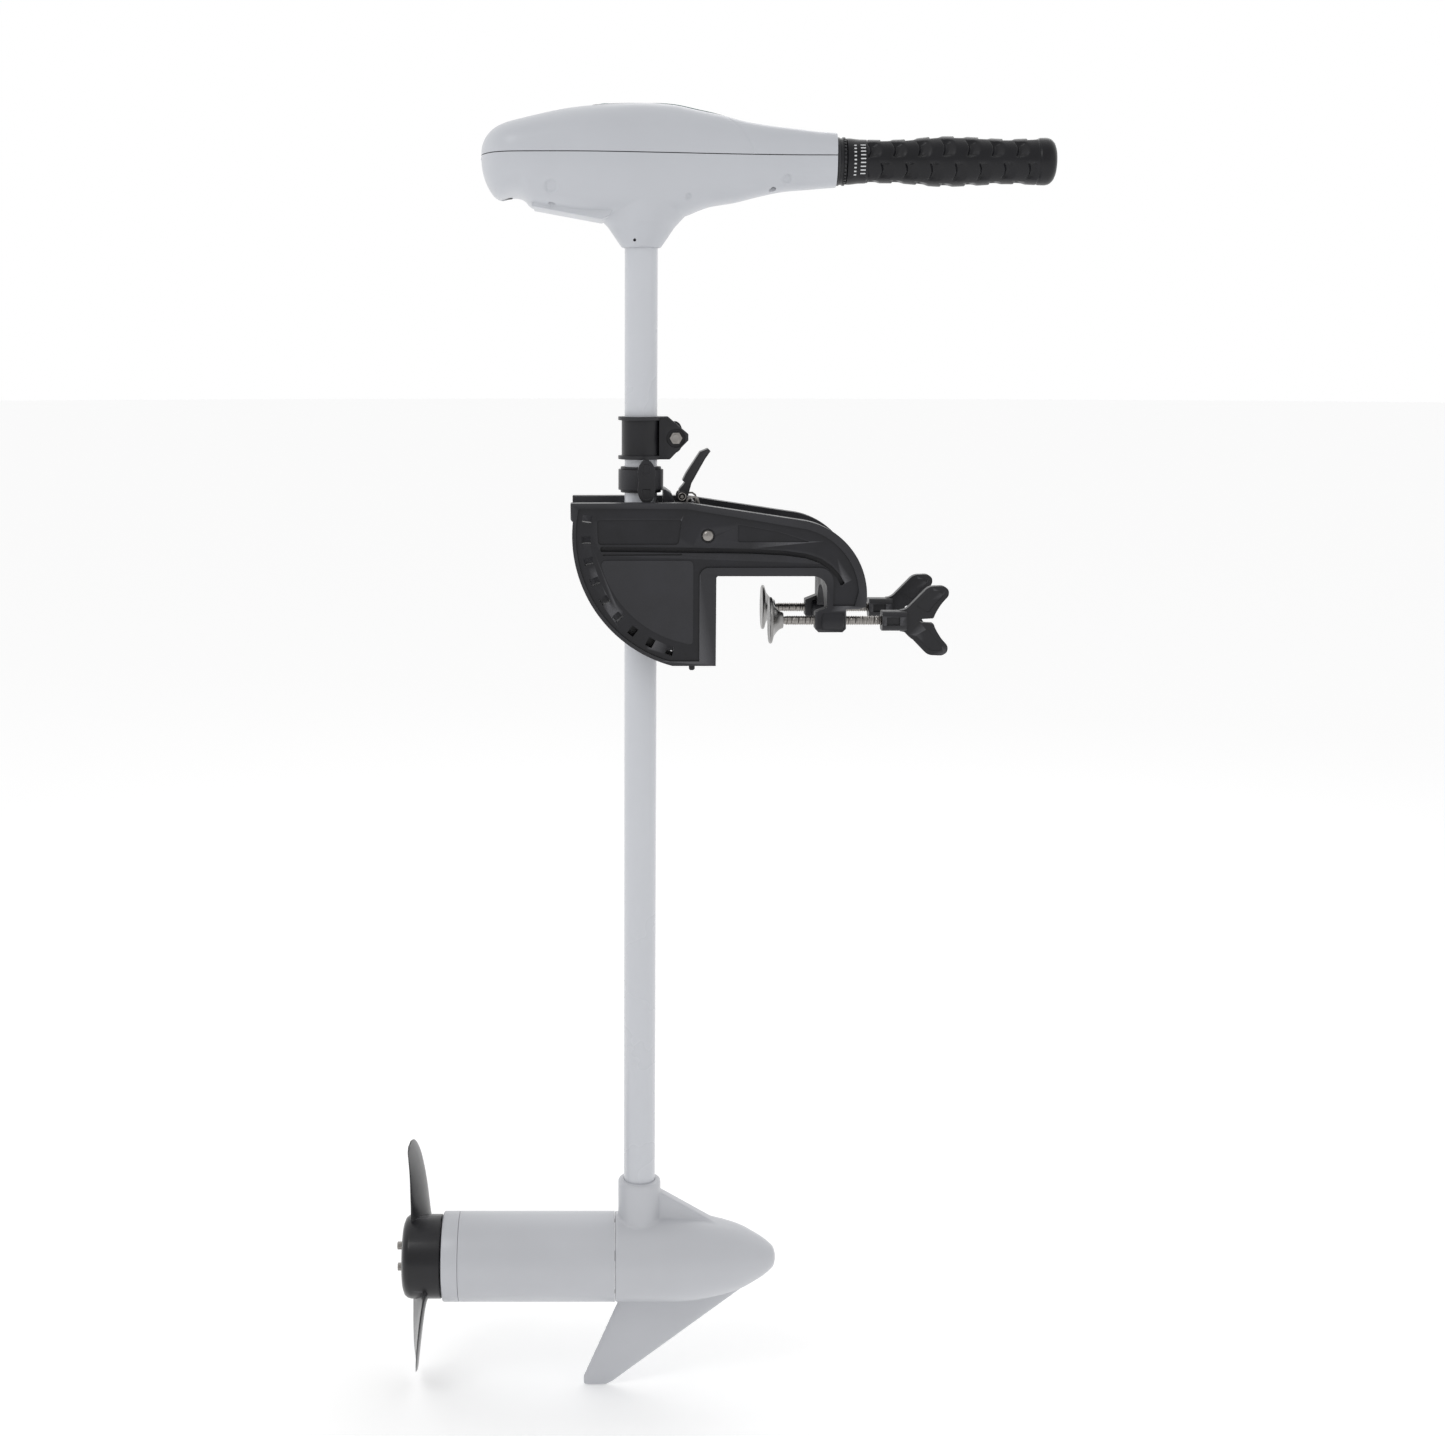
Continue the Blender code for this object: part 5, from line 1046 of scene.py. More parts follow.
    def build_bridge(self) -> Thing:
        """The webs between the cheeks: bearing plate with ribs, seat and arched inboard web."""
        width, web = self.inner - 0.0003, 0.011
        back = self.throat + web
        walls = softened([(0, -self.seat), (0, self.seat), (self.throat, self.seat),
                          (self.throat, 0.004), (back, 0.004), (back, self.seat + web),
                          (-web, self.seat + web), (-web, -self.seat)], 0.0006, 1)
        bridge = Forge.prism("bracket_webs", walls, -width, width)
        arch: Outline = [(-width + 0.008, -0.01)]
        arch += [(width * 0.8 * math.cos(a), 0.004 + 0.022 * math.sin(a))
                 for a in [math.pi * (1 - i / 28) for i in range(29)]]
        arch += [(width - 0.008, -0.01)]
        opening = Forge.prism("arch", arch, self.throat - 0.002, back + 0.002, Axis.X)
        pockets = [Forge.prism("pocket", softened([(y, -0.033), (y + 0.0155, -0.033),
                                                   (y + 0.0155, 0.030), (y, 0.030)], 0.002),
                               -web - 0.002, -web + 0.0055, Axis.X)
                   for y in (-0.0365, -0.0175, 0.0020, 0.0210)]
        Forge.cut(bridge, [opening, *pockets])
        Forge.rounded(bridge, 0.0005)
        return self.dress(bridge, Body.BRACKET, BRACKET_NYLON, "moulded_black",
                          ["bracket_bridge"])

    def build_bolt(self) -> None:
        """Tilt bolt with a domed head, and its nut in the far cheek."""
        x, z = self.pivot
        head = self.outer - 0.0028
        dome: Outline = [(0, -self.outer + 0.0001), (0.0018, -self.outer + 0.0002),
                         (0.0036, -self.outer + 0.0007), (0.0047, -self.outer + 0.0016),
                         (0.0050, -self.outer + 0.0022), (0.0050, -head), (0.0039, -head)]
        shank: Outline = [(0.0039, head + 0.0020), (0.0035, head + 0.0024), (0, head + 0.0024)]
        bolt = Forge.turned("pivot_bolt_turned", dome + shank, Axis.Y, (x, 0, z), 48)
        self.dress(Forge.shaded(bolt), Body.BRACKET, STAINLESS, "steel", ["pivot_bolt"])
        nut = Forge.prism("pivot_nut_hex", circle(self.pivot, 0.0054, 6), head, head + 0.0026)
        bore = Forge.rod("nut_bore", 0.0042, (x, head - 0.001, z), (x, head + 0.004, z))
        Forge.rounded(Forge.cut(nut, [bore]), 0.0003)
        self.dress(nut, Body.BRACKET, STAINLESS, "steel", ["pivot_nut"])

    def build(self) -> None:
        """Build and dress the whole bracket."""
        for side in Side:
            self.build_cheek(side)
        self.build_bridge()
        self.build_bolt()


# ---------------------------------------------------------------- clamp screws
@dataclass
class ClampScrew(Assembly):
    """One thumb screw: pressed pad, threaded rod and winged knob."""

    side: Side = Side.NEAR
    opening: float = 0.0465
    pad_radius: float = 0.0205
    rod_radius: float = 0.0042
    rod_end: float = 0.1576
    pitch: float = 0.002
    knob_start: float = 0.145
    sleeve_radius: float = 0.0094
    wing_span: float = 0.0307
    wing_reach: float = 0.0583
    wing_thick: float = 0.008

    @property
    def y(self) -> float:
        """Where the screw's axis lies across the bracket."""
        return self.side.value * SCREW_Y

    def build_pad(self) -> Thing:
        """The pressed steel pad: a dished disc with a rolled rim, drawn up to a neck."""
        r = self.pad_radius
        profile: Outline = [(0, 0.0009), (r * 0.5, 0.0007), (r * 0.86, 0.0), (r * 0.95, 0.0001),
                            (r * 0.985, 0.0006), (r, 0.0014), (r * 0.985, 0.0024),
                            (r * 0.94, 0.0029), (r * 0.80, 0.0036), (r * 0.66, 0.0046),
                            (r * 0.53, 0.0066), (r * 0.43, 0.0085), (r * 0.37, 0.0103),
                            (0.0071, 0.0118), (0.0066, 0.0125), (0.0044, 0.0125),
                            (0.0036, 0.0122), (0.0036, 0.0050), (0, 0.0050)]
        pad = Forge.turned(f"{self.side.label}_pad_pressed", profile, Axis.X,
                           (self.opening, self.y, 0), 96)
        body = Body.NEAR_PAD if self.side is Side.NEAR else Body.FAR_PAD
        return self.dress(Forge.shaded(pad, 50), body, PRESSED_STEEL, "steel",
                          [f"{self.side.label}_clamp_pad"])

    def build_rod(self, body: Body) -> Thing:
        """The rod with its thread cut from the pad's neck to the knob."""
        start, end = self.opening + 0.0145, self.rod_end
        core = self.rod_radius - 0.0006
        ball = 0.0033
        profile: Outline = [(0, self.opening + 0.0053), (ball, self.opening + 0.0053),
                            (ball, self.opening + 0.0135), (core, start), (core, end - 0.001),
                            (core - 0.0008, end), (0, end)]
        bar = Forge.turned("rod_core", profile, Axis.X, (0, self.y, 0), 24)
        length = end - start - 0.002
        thread = self.repeater.coil("thread", core + 0.00005, length, length / self.pitch, 0.00055,
                                    STAINLESS, steps=16, sides=4)
        thread.data.transform(Matrix.Translation((start + 0.0004, self.y, 0)) @ Axis.X.value)
        rod = Forge.merged(f"{self.side.label}_rod_threaded", [bar, thread])
        return self.dress(Forge.shaded(rod, 45), body, STAINLESS, "steel",
                          [f"{self.side.label}_clamp_rod"])

    def wing_outline(self) -> Outline:
        """The Y of the two wings in the XZ plane, with the narrow notch between them."""
        start, reach, span = self.knob_start, self.wing_reach, self.wing_span
        half: Outline = [(start + 0.006, 0.0090), (start + 0.352 * reach, 0.305 * span),
                         (start + 0.70 * reach, 0.985 * span), (start + 0.92 * reach, span),
                         (start + 0.995 * reach, 0.90 * span), (start + reach, 0.72 * span),
                         (start + 0.885 * reach, 0.48 * span), (start + 0.80 * reach, 0.20 * span),
                         (start + 0.775 * reach, 0.055 * span)]
        notch: Outline = [(start + 0.60 * reach, 0.052 * span),
                          (start + 0.575 * reach, 0.028 * span)]
        upper = softened(half, 0.0042, 5)[6:] + notch
        return [(x, -z) for x, z in reversed(upper)] + upper

    def build_knob(self, body: Body) -> Thing:
        """The moulded knob: a ribbed sleeve that grows into two wings."""
        x, r = self.knob_start, self.sleeve_radius
        square = softened([(-r, -r), (r, -r), (r, r), (-r, r)], 0.0055, 5)
        outline = [(self.y + u * 0.93, v * 0.93) for u, v in square]
        knob = Forge.prism(f"{self.side.label}_knob_moulded", outline, x, x + 0.0215, Axis.X)
        wings = Forge.prism("wings", self.wing_outline(), self.y - self.wing_thick / 2,
                            self.y + self.wing_thick / 2)
        Forge.joined(knob, [wings])
        out = 0.0076
        dimples = [Forge.box("dimple", (x + 0.0038, self.y + s * out - 0.0012, -0.0036),
                             (x + 0.0155, self.y + s * out + 0.0012, 0.0036)) for s in (-1, 1)]
        hollows = [Forge.prism("hollow", self._hollow(t), self.y + s * self.wing_thick / 2 - 0.0006,
                               self.y + s * self.wing_thick / 2 + 0.0006)
                   for s in (-1, 1) for t in (-1, 1)]
        bore = Forge.rod("bore", self.rod_radius + 0.0002, (x - 0.001, self.y, 0),
                         (x + 0.0129, self.y, 0), 24)
        Forge.cut(knob, [*dimples, *hollows, bore])
        Forge.rounded(knob, 0.0008, 3, 34)
        return self.dress(knob, body, KNOB_PLASTIC, "knob_black",
                          [f"{self.side.label}_clamp_knob"])

    def _hollow(self, up: int) -> Outline:
        """Outline of the shallow thumb hollow on a wing's face."""
        start, reach, span = self.knob_start, self.wing_reach, self.wing_span
        corners = [(start + 0.50 * reach, 0.44 * span), (start + 0.735 * reach, 0.86 * span),
                   (start + 0.90 * reach, 0.86 * span), (start + 0.92 * reach, 0.72 * span),
                   (start + 0.79 * reach, 0.46 * span), (start + 0.70 * reach, 0.22 * span)]
        return softened([(x, up * z) for x, z in corners], 0.003, 4)

    def build(self) -> None:
        """Build and dress the screw."""
        body = Body.NEAR_SCREW if self.side is Side.NEAR else Body.FAR_SCREW
        self.build_pad()
        self.build_rod(body)
        self.build_knob(body)


# ---------------------------------------------------------------- tilt hinge and lock
@dataclass
class TiltHinge(Assembly):
    """The casting on the tilt bolt with the steering collar, bush, release lever and lock bar."""

    lever_pin: Point2 = (-0.0290, 0.1060)

    def build_casting(self) -> None:
        """The hinge casting and its bush, with flanges round the steering collar."""
        casting = Forge.refined("tilt_hinge", "tilt_hinge_casting", 0.0006)
        self.dress(casting, Body.HINGE, BRACKET_NYLON, "moulded_black", ["tilt_hinge"])
        low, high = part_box("steering_liner")
        inner, outer = 0.01492, (high.x - low.x) / 2
        bore = 0.0163
        profile: Outline = [(inner, low.z), (outer - 0.0004, low.z), (outer, low.z + 0.0004),
                            (outer, low.z + 0.0019), (bore, low.z + 0.0019),
                            (bore, high.z - 0.0019), (outer, high.z - 0.0019),
                            (outer, high.z - 0.0004), (outer - 0.0004, high.z), (inner, high.z)]
        bush = Forge.turned("steering_bush", profile, Axis.Z, (SHAFT_X, 0, 0), 96)
        self.dress(Forge.shaded(bush), Body.HINGE, BUSH_ACETAL, "bush_plastic",
                   ["steering_liner"])

    def build_lever(self) -> None:
        """The release lever: a thumb paddle with ribs on a narrow neck."""
        lever = Forge.refined("tilt_lever", "tilt_lever_moulded", 0.0007)
        self.dress(lever, Body.LEVER, KNOB_PLASTIC, "moulded_black", ["tilt_lever"])
        x, z = self.lever_pin
        low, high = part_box("lever_pin")
        profile = [(0, low.y), (0.0015, low.y), (0.0020, low.y + 0.0006),
                   (0.0020, high.y - 0.0006), (0.0015, high.y), (0, high.y)]
        pin = Forge.turned("lever_pin_turned", profile, Axis.Y, (x, 0, z), 32)
        self.dress(Forge.shaded(pin), Body.HINGE, STAINLESS, "steel", ["lever_pin"])
        low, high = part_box("lever_spring")
        wire = 0.0006
        coil = self.repeater.coil("lever_spring_wound", 0.0032, high.y - low.y - 2 * wire, 2.6, wire,
                                  STAINLESS, steps=40, sides=10)
        middle = ((low.x + high.x) / 2, low.y + wire, (low.z + high.z) / 2)
        coil.data.transform(Matrix.Translation(middle) @ Axis.Y.value)
        self.dress(Forge.shaded(coil), Body.HINGE, STAINLESS, "steel", ["lever_spring"])

    def build_lock(self) -> None:
        """The lock bar with its pull rods."""
        lock = Forge.refined("latch_bar", "lock_bar_bright", 0.0004)
        self.dress(lock, Body.LATCH, STAINLESS, "steel", ["latch_bar"])

    def build_tension_knob(self) -> None:
        """The lobed screw that nips the steering bush."""
        low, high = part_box("tension_knob")
        x, z = (low.x + high.x) / 2, (low.z + high.z) / 2
        wing = LobedKnob(self.repeater, x=x, z=z, face=low.y, depth=0.009, hub_end=low.y + 0.0128,
                         stud_end=high.y, length=high.z - low.z, width=high.x - low.x,
                         hub_radius=0.0056)
        wing.build("tension_knob_moulded", Body.TENSION, "tension_knob")

    def build(self) -> None:
        """Build and dress the hinge."""
        self.build_casting()
        self.build_lever()
        self.build_lock()
        self.build_tension_knob()


@dataclass
class LobedKnob(Assembly):
    """A small two-lobed wing knob on a Y axis, its face towards -Y or +Y."""

    x: float = 0.0
    z: float = 0.0
    face: float = 0.0
    depth: float = 0.009
    hub_end: float = 0.0
    stud_end: float = 0.0
    length: float = 0.038
    width: float = 0.017
    hub_radius: float = 0.0055
    bore: float = 0.0

    def outline(self) -> Outline:
        """Outline of the lobes, pinched at the waist."""
        points: Outline = []
        count = 72
        for i in range(count):
            a = 2 * math.pi * i / count
            waist = 1.0 - 0.20 * math.cos(a) ** 2 * (1 - abs(math.sin(a)))
            swell = 1.0 + 0.16 * math.sin(a) ** 2 * math.cos(a) ** 2 * 4
            points.append((self.x + self.width / 2 * math.cos(a) * waist * min(swell, 1.1),
                           self.z + self.length / 2 * math.sin(a)))
        return points

    def build(self, name: str, body: Body, node: str) -> Thing:
        """Build and dress the knob.

        Args:
            name: Name of the piece.
            body: Body that it moves with.
            node: CAD node that it replaces.

        Returns:
            The knob.
        """
        way = 1.0 if self.hub_end > self.face else -1.0
        low, high = sorted((self.face, self.face + way * self.depth))
        knob = Forge.prism(name, self.outline(), low, high)
        add = [Forge.rod("hub", self.hub_radius, (self.x, self.face + way * 0.002, self.z),
                         (self.x, self.hub_end, self.z))]
        if self.stud_end:
            add.append(Forge.rod("stud", 0.0029, (self.x, self.hub_end - way * 0.002, self.z),
                                 (self.x, self.stud_end, self.z), 24))
        Forge.joined(knob, add)
        edge = self.face - way * 0.001
        hollows = [Forge.prism("hollow", softened(
            [(self.x - 0.0036, self.z + s * 0.0065), (self.x + 0.0036, self.z + s * 0.0065),
             (self.x + 0.0030, self.z + s * (self.length / 2 - 0.0035)),
             (self.x - 0.0030, self.z + s * (self.length / 2 - 0.0035))], 0.002),
            *sorted((edge, self.face + way * 0.0008))) for s in (-1, 1)]
        if self.bore:
            hollows.append(Forge.rod("bore", self.bore, (self.x, edge, self.z),
                                     (self.x, self.hub_end + way * 0.001, self.z), 24))
        Forge.cut(knob, hollows)
        Forge.rounded(knob, 0.0009, 3, 36)
        return self.dress(knob, body, KNOB_PLASTIC, "knob_black", [node])


@dataclass
class DepthCollar(Assembly):
    """Split clamp ring on the tube, with its hexagon screw and wing knob."""

    def build(self) -> None:
        """Build and dress the collar."""
        ring = Forge.refined("depth_collar", "depth_collar_moulded", 0.0005)
        self.dress(ring, Body.SWIVEL, KNOB_PLASTIC, "moulded_black", ["depth_collar"])
        low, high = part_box("depth_screw")
        x, z = (low.x + high.x) / 2, (low.z + high.z) / 2
        screw = Forge.prism("depth_screw_hex", circle((x, z), 0.0056, 6), low.y, low.y + 0.0042)
        sink = Forge.turned("head_dish", [(0, low.y + 0.0007), (0.0034, low.y + 0.0004),
                                          (0.0040, low.y - 0.001), (0, low.y - 0.001)], Axis.Y,
                            (x, 0, z), 32)
        Forge.cut(screw, [sink])
        Forge.rounded(screw, 0.00045, 2)
        shank = Forge.rod("shank", 0.0025, (x, low.y + 0.003, z), (x, high.y, z), 24)
        length = high.y - low.y - 0.008
        thread = self.repeater.coil("thread", 0.00255, length, length / 0.001, 0.0003, STAINLESS,
                                    steps=14, sides=4)
        thread.data.transform(Matrix.Translation((x, low.y + 0.0062, z)) @ Axis.Y.value)
        whole = Forge.merged("depth_screw_threaded", [screw, shank, thread])
        self.dress(Forge.shaded(whole), Body.SWIVEL, STAINLESS, "steel", ["depth_screw"])
        low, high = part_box("depth_knob")
        knob = LobedKnob(self.repeater, x=(low.x + high.x) / 2, z=(low.z + high.z) / 2, face=high.y,
                         depth=0.009, hub_end=low.y, length=high.z - low.z,
                         width=high.x - low.x, hub_radius=0.0061, bore=0.0033)
        knob.build("depth_knob_moulded", Body.DEPTH_WING, "depth_knob")


# ---------------------------------------------------------------- control head
@dataclass
class ControlHead(Assembly):
    """The two shells of the head with the inlaid panels, screw wells, badge and neck."""

    seam: float = 0.400
    rear: float = -0.2041
    nose: float = 0.1035
    neck_bottom: float = 0.3224
    wall: float = 0.0028
    seam_gap: float = 0.0004
    cover_square: float = 0.72
    housing_square: float = 0.74
    crown: Curve1D = Curve1D((
        (-0.2041, 0.0262), (-0.1830, 0.0284), (-0.1724, 0.0306), (-0.1516, 0.0356),
        (-0.1308, 0.0398), (-0.1099, 0.0424), (-0.0891, 0.0441), (-0.0632, 0.0449),
        (-0.0371, 0.0432), (-0.0163, 0.0390), (0.0045, 0.0348), (0.0254, 0.0297),
        (0.0462, 0.0263), (0.0671, 0.0238), (0.0880, 0.0213), (0.1035, 0.0202)))
    keel: Curve1D = Curve1D((
        (-0.2041, 0.0350), (-0.1938, 0.0385), (-0.1870, 0.0378), (-0.1800, 0.0352),
        (-0.1729, 0.0350), (-0.1670, 0.0372), (-0.1624, 0.0424), (-0.1520, 0.0459),
        (-0.1310, 0.0493), (-0.1101, 0.0519), (-0.0652, 0.0535), (-0.0367, 0.0525),
        (-0.0262, 0.0501), (-0.0158, 0.0459), (-0.0053, 0.0424), (0.0156, 0.0390),
        (0.0365, 0.0339), (0.0573, 0.0297), (0.0782, 0.0279), (0.0991, 0.0262), (0.1035, 0.0260)))
    beam: Curve1D = Curve1D((
        (-0.2041, 0.0510), (-0.1900, 0.0555), (-0.1550, 0.0580), (-0.1050, 0.0563),
        (-0.0450, 0.0441), (0.0150, 0.0302), (0.0650, 0.0225), (0.1035, 0.0212)))
    flare: Curve1D = Curve1D((
        (0.0, 0.3224), (0.0163, 0.3224), (0.0172, 0.3230), (0.0200, 0.3268), (0.0240, 0.3326),
        (0.0285, 0.3392), (0.0330, 0.3448), (0.0370, 0.3520), (0.0400, 0.3640),
        (0.0420, 0.3860), (0.0435, 0.4200), (0.0600, 0.9000)))

    def _rear_round(self, x: float, length: float, power: float) -> float:
        """Share of full size near the rear end, rounded like a fingertip."""
        u = min(1.0, max(0.0, (x - self.rear) / length))
        return (1 - (1 - u) ** power) ** (1 / power)

    def top_height(self, x: float) -> float:
        """Height of the crown over the seam."""
        return self.crown(x) * self._rear_round(x, 0.030, 2.3)

    def half_width(self, x: float) -> float:
        """Half width of the head in plan."""
        return self.beam(x) * self._rear_round(x, 0.034, 2.5)

    def keel_depth(self, x: float) -> float:
        """Depth of the keel under the seam."""
        return self.keel(x) * self._rear_round(x, 0.024, 2.3)

    def cover_point(self, x: float, angle: float) -> Vector:
        """A point on the cover's outer skin.

        Args:
            x: Station.
            angle: 0 at the far seam, pi at the near seam.

        Returns:
            The point.
        """
        c, s = math.cos(angle), math.sin(angle)
        y = self.half_width(x) * math.copysign(abs(c) ** self.cover_square, c)
        z = self.top_height(x) * abs(s) ** self.cover_square
        return Vector((x, y, self.seam + max(z, self.seam_gap)))

    def skin_height(self, x: float, y: float) -> float:
        """Height of the cover's skin over a point in plan."""
        share = min(1.0, abs(y) / self.half_width(x))
        drop = share ** (2 / self.cover_square)
        return self.seam + self.top_height(x) * (1 - drop) ** (self.cover_square / 2)

    def badge_groove(self, x: float, z: float) -> float:
        """Depth of the fine line that marks off the nose part of the cover."""
        share = min(1.0, max(0.0, (z - self.seam) / 0.0348))
        line = 0.0310 - 0.026 * share ** 1.7
        return 0.0005 * math.exp(-((x - line) / 0.0006) ** 2)

    def housing_point(self, x: float, angle: float) -> Vector:
        """A point on the lower housing's outer skin, with the neck drawn out of it.

        Args:
            x: Station.
            angle: 0 at the far seam, pi at the near seam.

        Returns:
            The point.
        """
        c, s = math.cos(angle), math.sin(angle)
        y = self.half_width(x) * math.copysign(abs(c) ** self.housing_square, c)
        depth = self.keel_depth(x) * abs(s) ** self.housing_square
        z = self.seam - max(depth, self.seam_gap)
        reach = math.hypot(x - SHAFT_X, y)
        neck = self.flare(reach)
        blend = 0.0080
        if reach < 0.058:
            gap = max(0.0, blend - abs(z - neck)) / blend
            z = min(z, neck) - gap * gap * blend * 0.25
            z = max(z, self.neck_bottom)
        return Vector((x, y, z))

    def side_wells(self, x: float, z: float) -> float:
        """Depth of the round hollows in the housing's sides."""
        depth = 0.0
        for (spot_x, spot_z), radius in (((-0.1426, 0.3715), 0.0058), ((0.0600, 0.3800), 0.0044),
                                         ((-0.0255, 0.3640), 0.0030)):
            reach = math.hypot(x - spot_x, z - spot_z)
            depth += 0.0015 * (1 - smooth_step(radius - 0.0016, radius, reach))
        return depth

    def _stations(self, fine: Sequence[tuple[float, float]], step: float) -> list[float]:
        """Places along the head: close together at the rear and in the fine stretches."""
        start = self.rear + 0.00002
        places = [start + 0.030 * (i / 22) ** 2 for i in range(22)]
        x = start + 0.030
        while x < self.nose - 0.0001:
            places.append(x)
            x += step if any(a < x < b for a, b in fine) else 0.0026
        return places + [self.nose]

    def _shell(self, name: str, skin: Callable[[float, float], Vector], stations: list[float],
               steps: int, relief: Callable[[float, float], float] | None) -> Thing:
        """A half shell: the skin as a sheet, closed at the rear, then given its wall.

        Args:
            name: Object name.
            skin: Skin point from station and angle.
            stations: Stations along the head.
            steps: Spaces round the half section.
            relief: Depth pressed into the skin at a point, if any.

        Returns:
            The shell.
        """
        bm = bmesh.new()
        rows = []
        for x in stations:
            row = []
            for k in range(steps + 1):
                point = skin(x, math.pi * k / steps)
                if relief:
                    out = Vector((0, point.y, point.z - self.seam + 0.01)).normalized()
                    point -= out * relief(point.x, point.z)
                row.append(bm.verts.new(point))
            rows.append(row)
        for low, high in zip(rows, rows[1:]):
            for i in range(steps):
                bm.faces.new((low[i], low[i + 1], high[i + 1], high[i]))
        tip = bm.faces.new(rows[0])
        bmesh.ops.recalc_face_normals(bm, faces=bm.faces)
        if tip.normal.x > 0:
            bmesh.ops.reverse_faces(bm, faces=bm.faces)
        mesh = bpy.data.meshes.new(name)
        bm.to_mesh(mesh)
        bm.free()
        shell = bpy.data.objects.new(name, mesh)
        bpy.context.scene.collection.objects.link(shell)
        wall = shell.modifiers.new("wall", "SOLIDIFY")
        wall.thickness = self.wall
        wall.offset = -1.0
        wall.use_even_offset = False
        return Forge.solved(shell)

    def build_cover(self) -> Thing:
        """The white top cover."""
        stations = self._stations(((-0.002, 0.036),), 0.0006)
        cover = self._shell("head_cover_moulded", self.cover_point, stations, 72,
                            self.badge_groove)
        Forge.cut(cover, [self._button_hole(0.0060), self._mouth()])
        Forge.shaded(cover, 40)
        return self.dress(cover, Body.MOTOR, SHELL_WHITE, "shell_white", ["head_cover"])

    @staticmethod
    def _button_hole(radius: float) -> Thing:
        """Cutter for the push button's hole."""
        return Forge.rod("button_hole", radius, (BUTTON_X, 0, 0.43), (BUTTON_X, 0, 0.46), 48)

    @staticmethod
    def _mouth() -> Thing:
        """Cutter for the tiller's way through the nose."""
        return Forge.rod("mouth", TILLER_RADIUS, (0.09, 0, TILLER_Z), (0.11, 0, TILLER_Z), 64)

    @staticmethod
    def screw_spots() -> list[Point2]:
        """Where the cover's four screws are driven from below."""
        return [(-0.1426, -0.036), (-0.1426, 0.036), (0.048, -0.0135), (0.048, 0.0135)]

    def build_housing(self) -> Thing:
        """The white lower housing with its neck, screw wells and cable way."""
        stations = self._stations(((-0.151, -0.134), (-0.112, -0.018), (0.053, 0.067)), 0.0010)
        shell = self._shell("head_housing_moulded", self.housing_point, stations, 140,
                            self.side_wells)
        side = [(-0.1600, 0.3562), (-0.1000, 0.3452), (-0.0940, 0.3480), (-0.0880, 0.3560),
                (-0.1560, 0.3645)]
        Forge.joined(shell, [Forge.rounded(Forge.prism("ledge", side, -0.0335, 0.0335), 0.0008)])
        cuts = [Forge.rod("screw_well", 0.0031, (x, y, 0.33), (x, y, 0.3860), 40)
                for x, y in self.screw_spots()]
        cuts += [Forge.rod("neck_screw_well", 0.0013, (x, s * 0.030, 0.3284),
                           (x, s * 0.010, 0.3284), 20)
                 for x in (-0.0713, -0.0449) for s in (-1, 1)]
        cuts.append(Forge.rod("tube_socket", 0.0148, (SHAFT_X, 0, 0.31), (SHAFT_X, 0, 0.367), 96))
        cuts.append(self._mouth())
        cuts.append(Forge.rod("gland_way", 0.0048, (self.rear + 0.021, 0, 0.34),
                              (self.rear + 0.021, 0, 0.38), 32))
        Forge.cut(shell, cuts)
        Forge.shaded(shell, 40)
        return self.dress(shell, Body.MOTOR, SHELL_WHITE, "shell_white", ["head_housing"])

    def _inlay(self, name: str, outline: Outline, low: float, high: float) -> Thing:
        """A thin inlay that follows the cover's crown.

        Args:
            name: Object name.
            outline: Its outline in plan.
            low: Underside, over the skin.
            high: Top, over the skin.

        Returns:
            The inlay.
        """
        centre = Vector((sum(p[0] for p in outline), sum(p[1] for p in outline))) / len(outline)
        shares = [1.0, 0.985, 0.9, 0.8, 0.65, 0.5, 0.35, 0.2]

        def ring(share: float, lift: float) -> list[Point3]:
            spots = [centre + (Vector(p) - centre) * share for p in outline]
            return [(s.x, s.y, self.skin_height(s.x, s.y) + lift) for s in spots]

        rings = [ring(share, low) for share in reversed(shares)]
        rings += [ring(1.0, high - 0.0002)] + [ring(share, high) for share in shares[1:]]
        return Forge.shaded(Forge.loft(name, rings), 40)

    def build_panels(self) -> None:
        """Gloss black status oval and button panel, with plain marks."""
        count = 72
        oval = [(-0.028 + 0.037 * math.cos(2 * math.pi * i / count),
                 0.0110 * math.sin(2 * math.pi * i / count)) for i in range(count)]
        status = self._inlay("status_panel_gloss", oval, -0.0004, 0.0004)
        self.dress(status, Body.MOTOR, PANEL_GLOSS, "panel_gloss", ["status_panel"])
        plate = softened([(-0.0690, -0.0070), (-0.0690, 0.0070), (-0.1080, 0.0150),
                          (-0.1080, -0.0150)], 0.003, 5)
        panel = self._inlay("button_panel_gloss", self._resampled(plate, 72), -0.0004, 0.0004)
        Forge.shaded(Forge.cut(panel, [self._button_hole(0.0059)]), 40)
        self.dress(panel, Body.MOTOR, PANEL_GLOSS, "panel_gloss", ["button_panel"])
        sweep = arc((-0.028, 0.0), 0.0310, 205, 335, 30)
        teal = [(x, y * 0.28) for x, y in sweep]
        arc_mark = self._inlay_strip("status_arc", teal, 0.0011)
        self.dress(arc_mark, Body.MOTOR, MARK_TEAL, "panel_gloss")
        dots = []
        for i in range(5):
            x = -0.046 + i * 0.009
            dots.append(self._inlay(f"status_dot_{i}", circle((x, 0.0025), 0.0014, 24), 0.0003,
                                    0.00062))
        for i, x in enumerate((-0.079, -0.084)):
            dots.append(self._inlay(f"panel_bar_{i}", self._resampled(
                softened([(x - 0.0006, -0.0035), (x + 0.0006, -0.0035), (x + 0.0006, 0.0035),
                          (x - 0.0006, 0.0035)], 0.0004, 2), 24), 0.0003, 0.00062))
        marks = Forge.merged("panel_marks", dots)
        self.dress(Forge.shaded(marks), Body.MOTOR, MARK_WHITE, "panel_gloss")

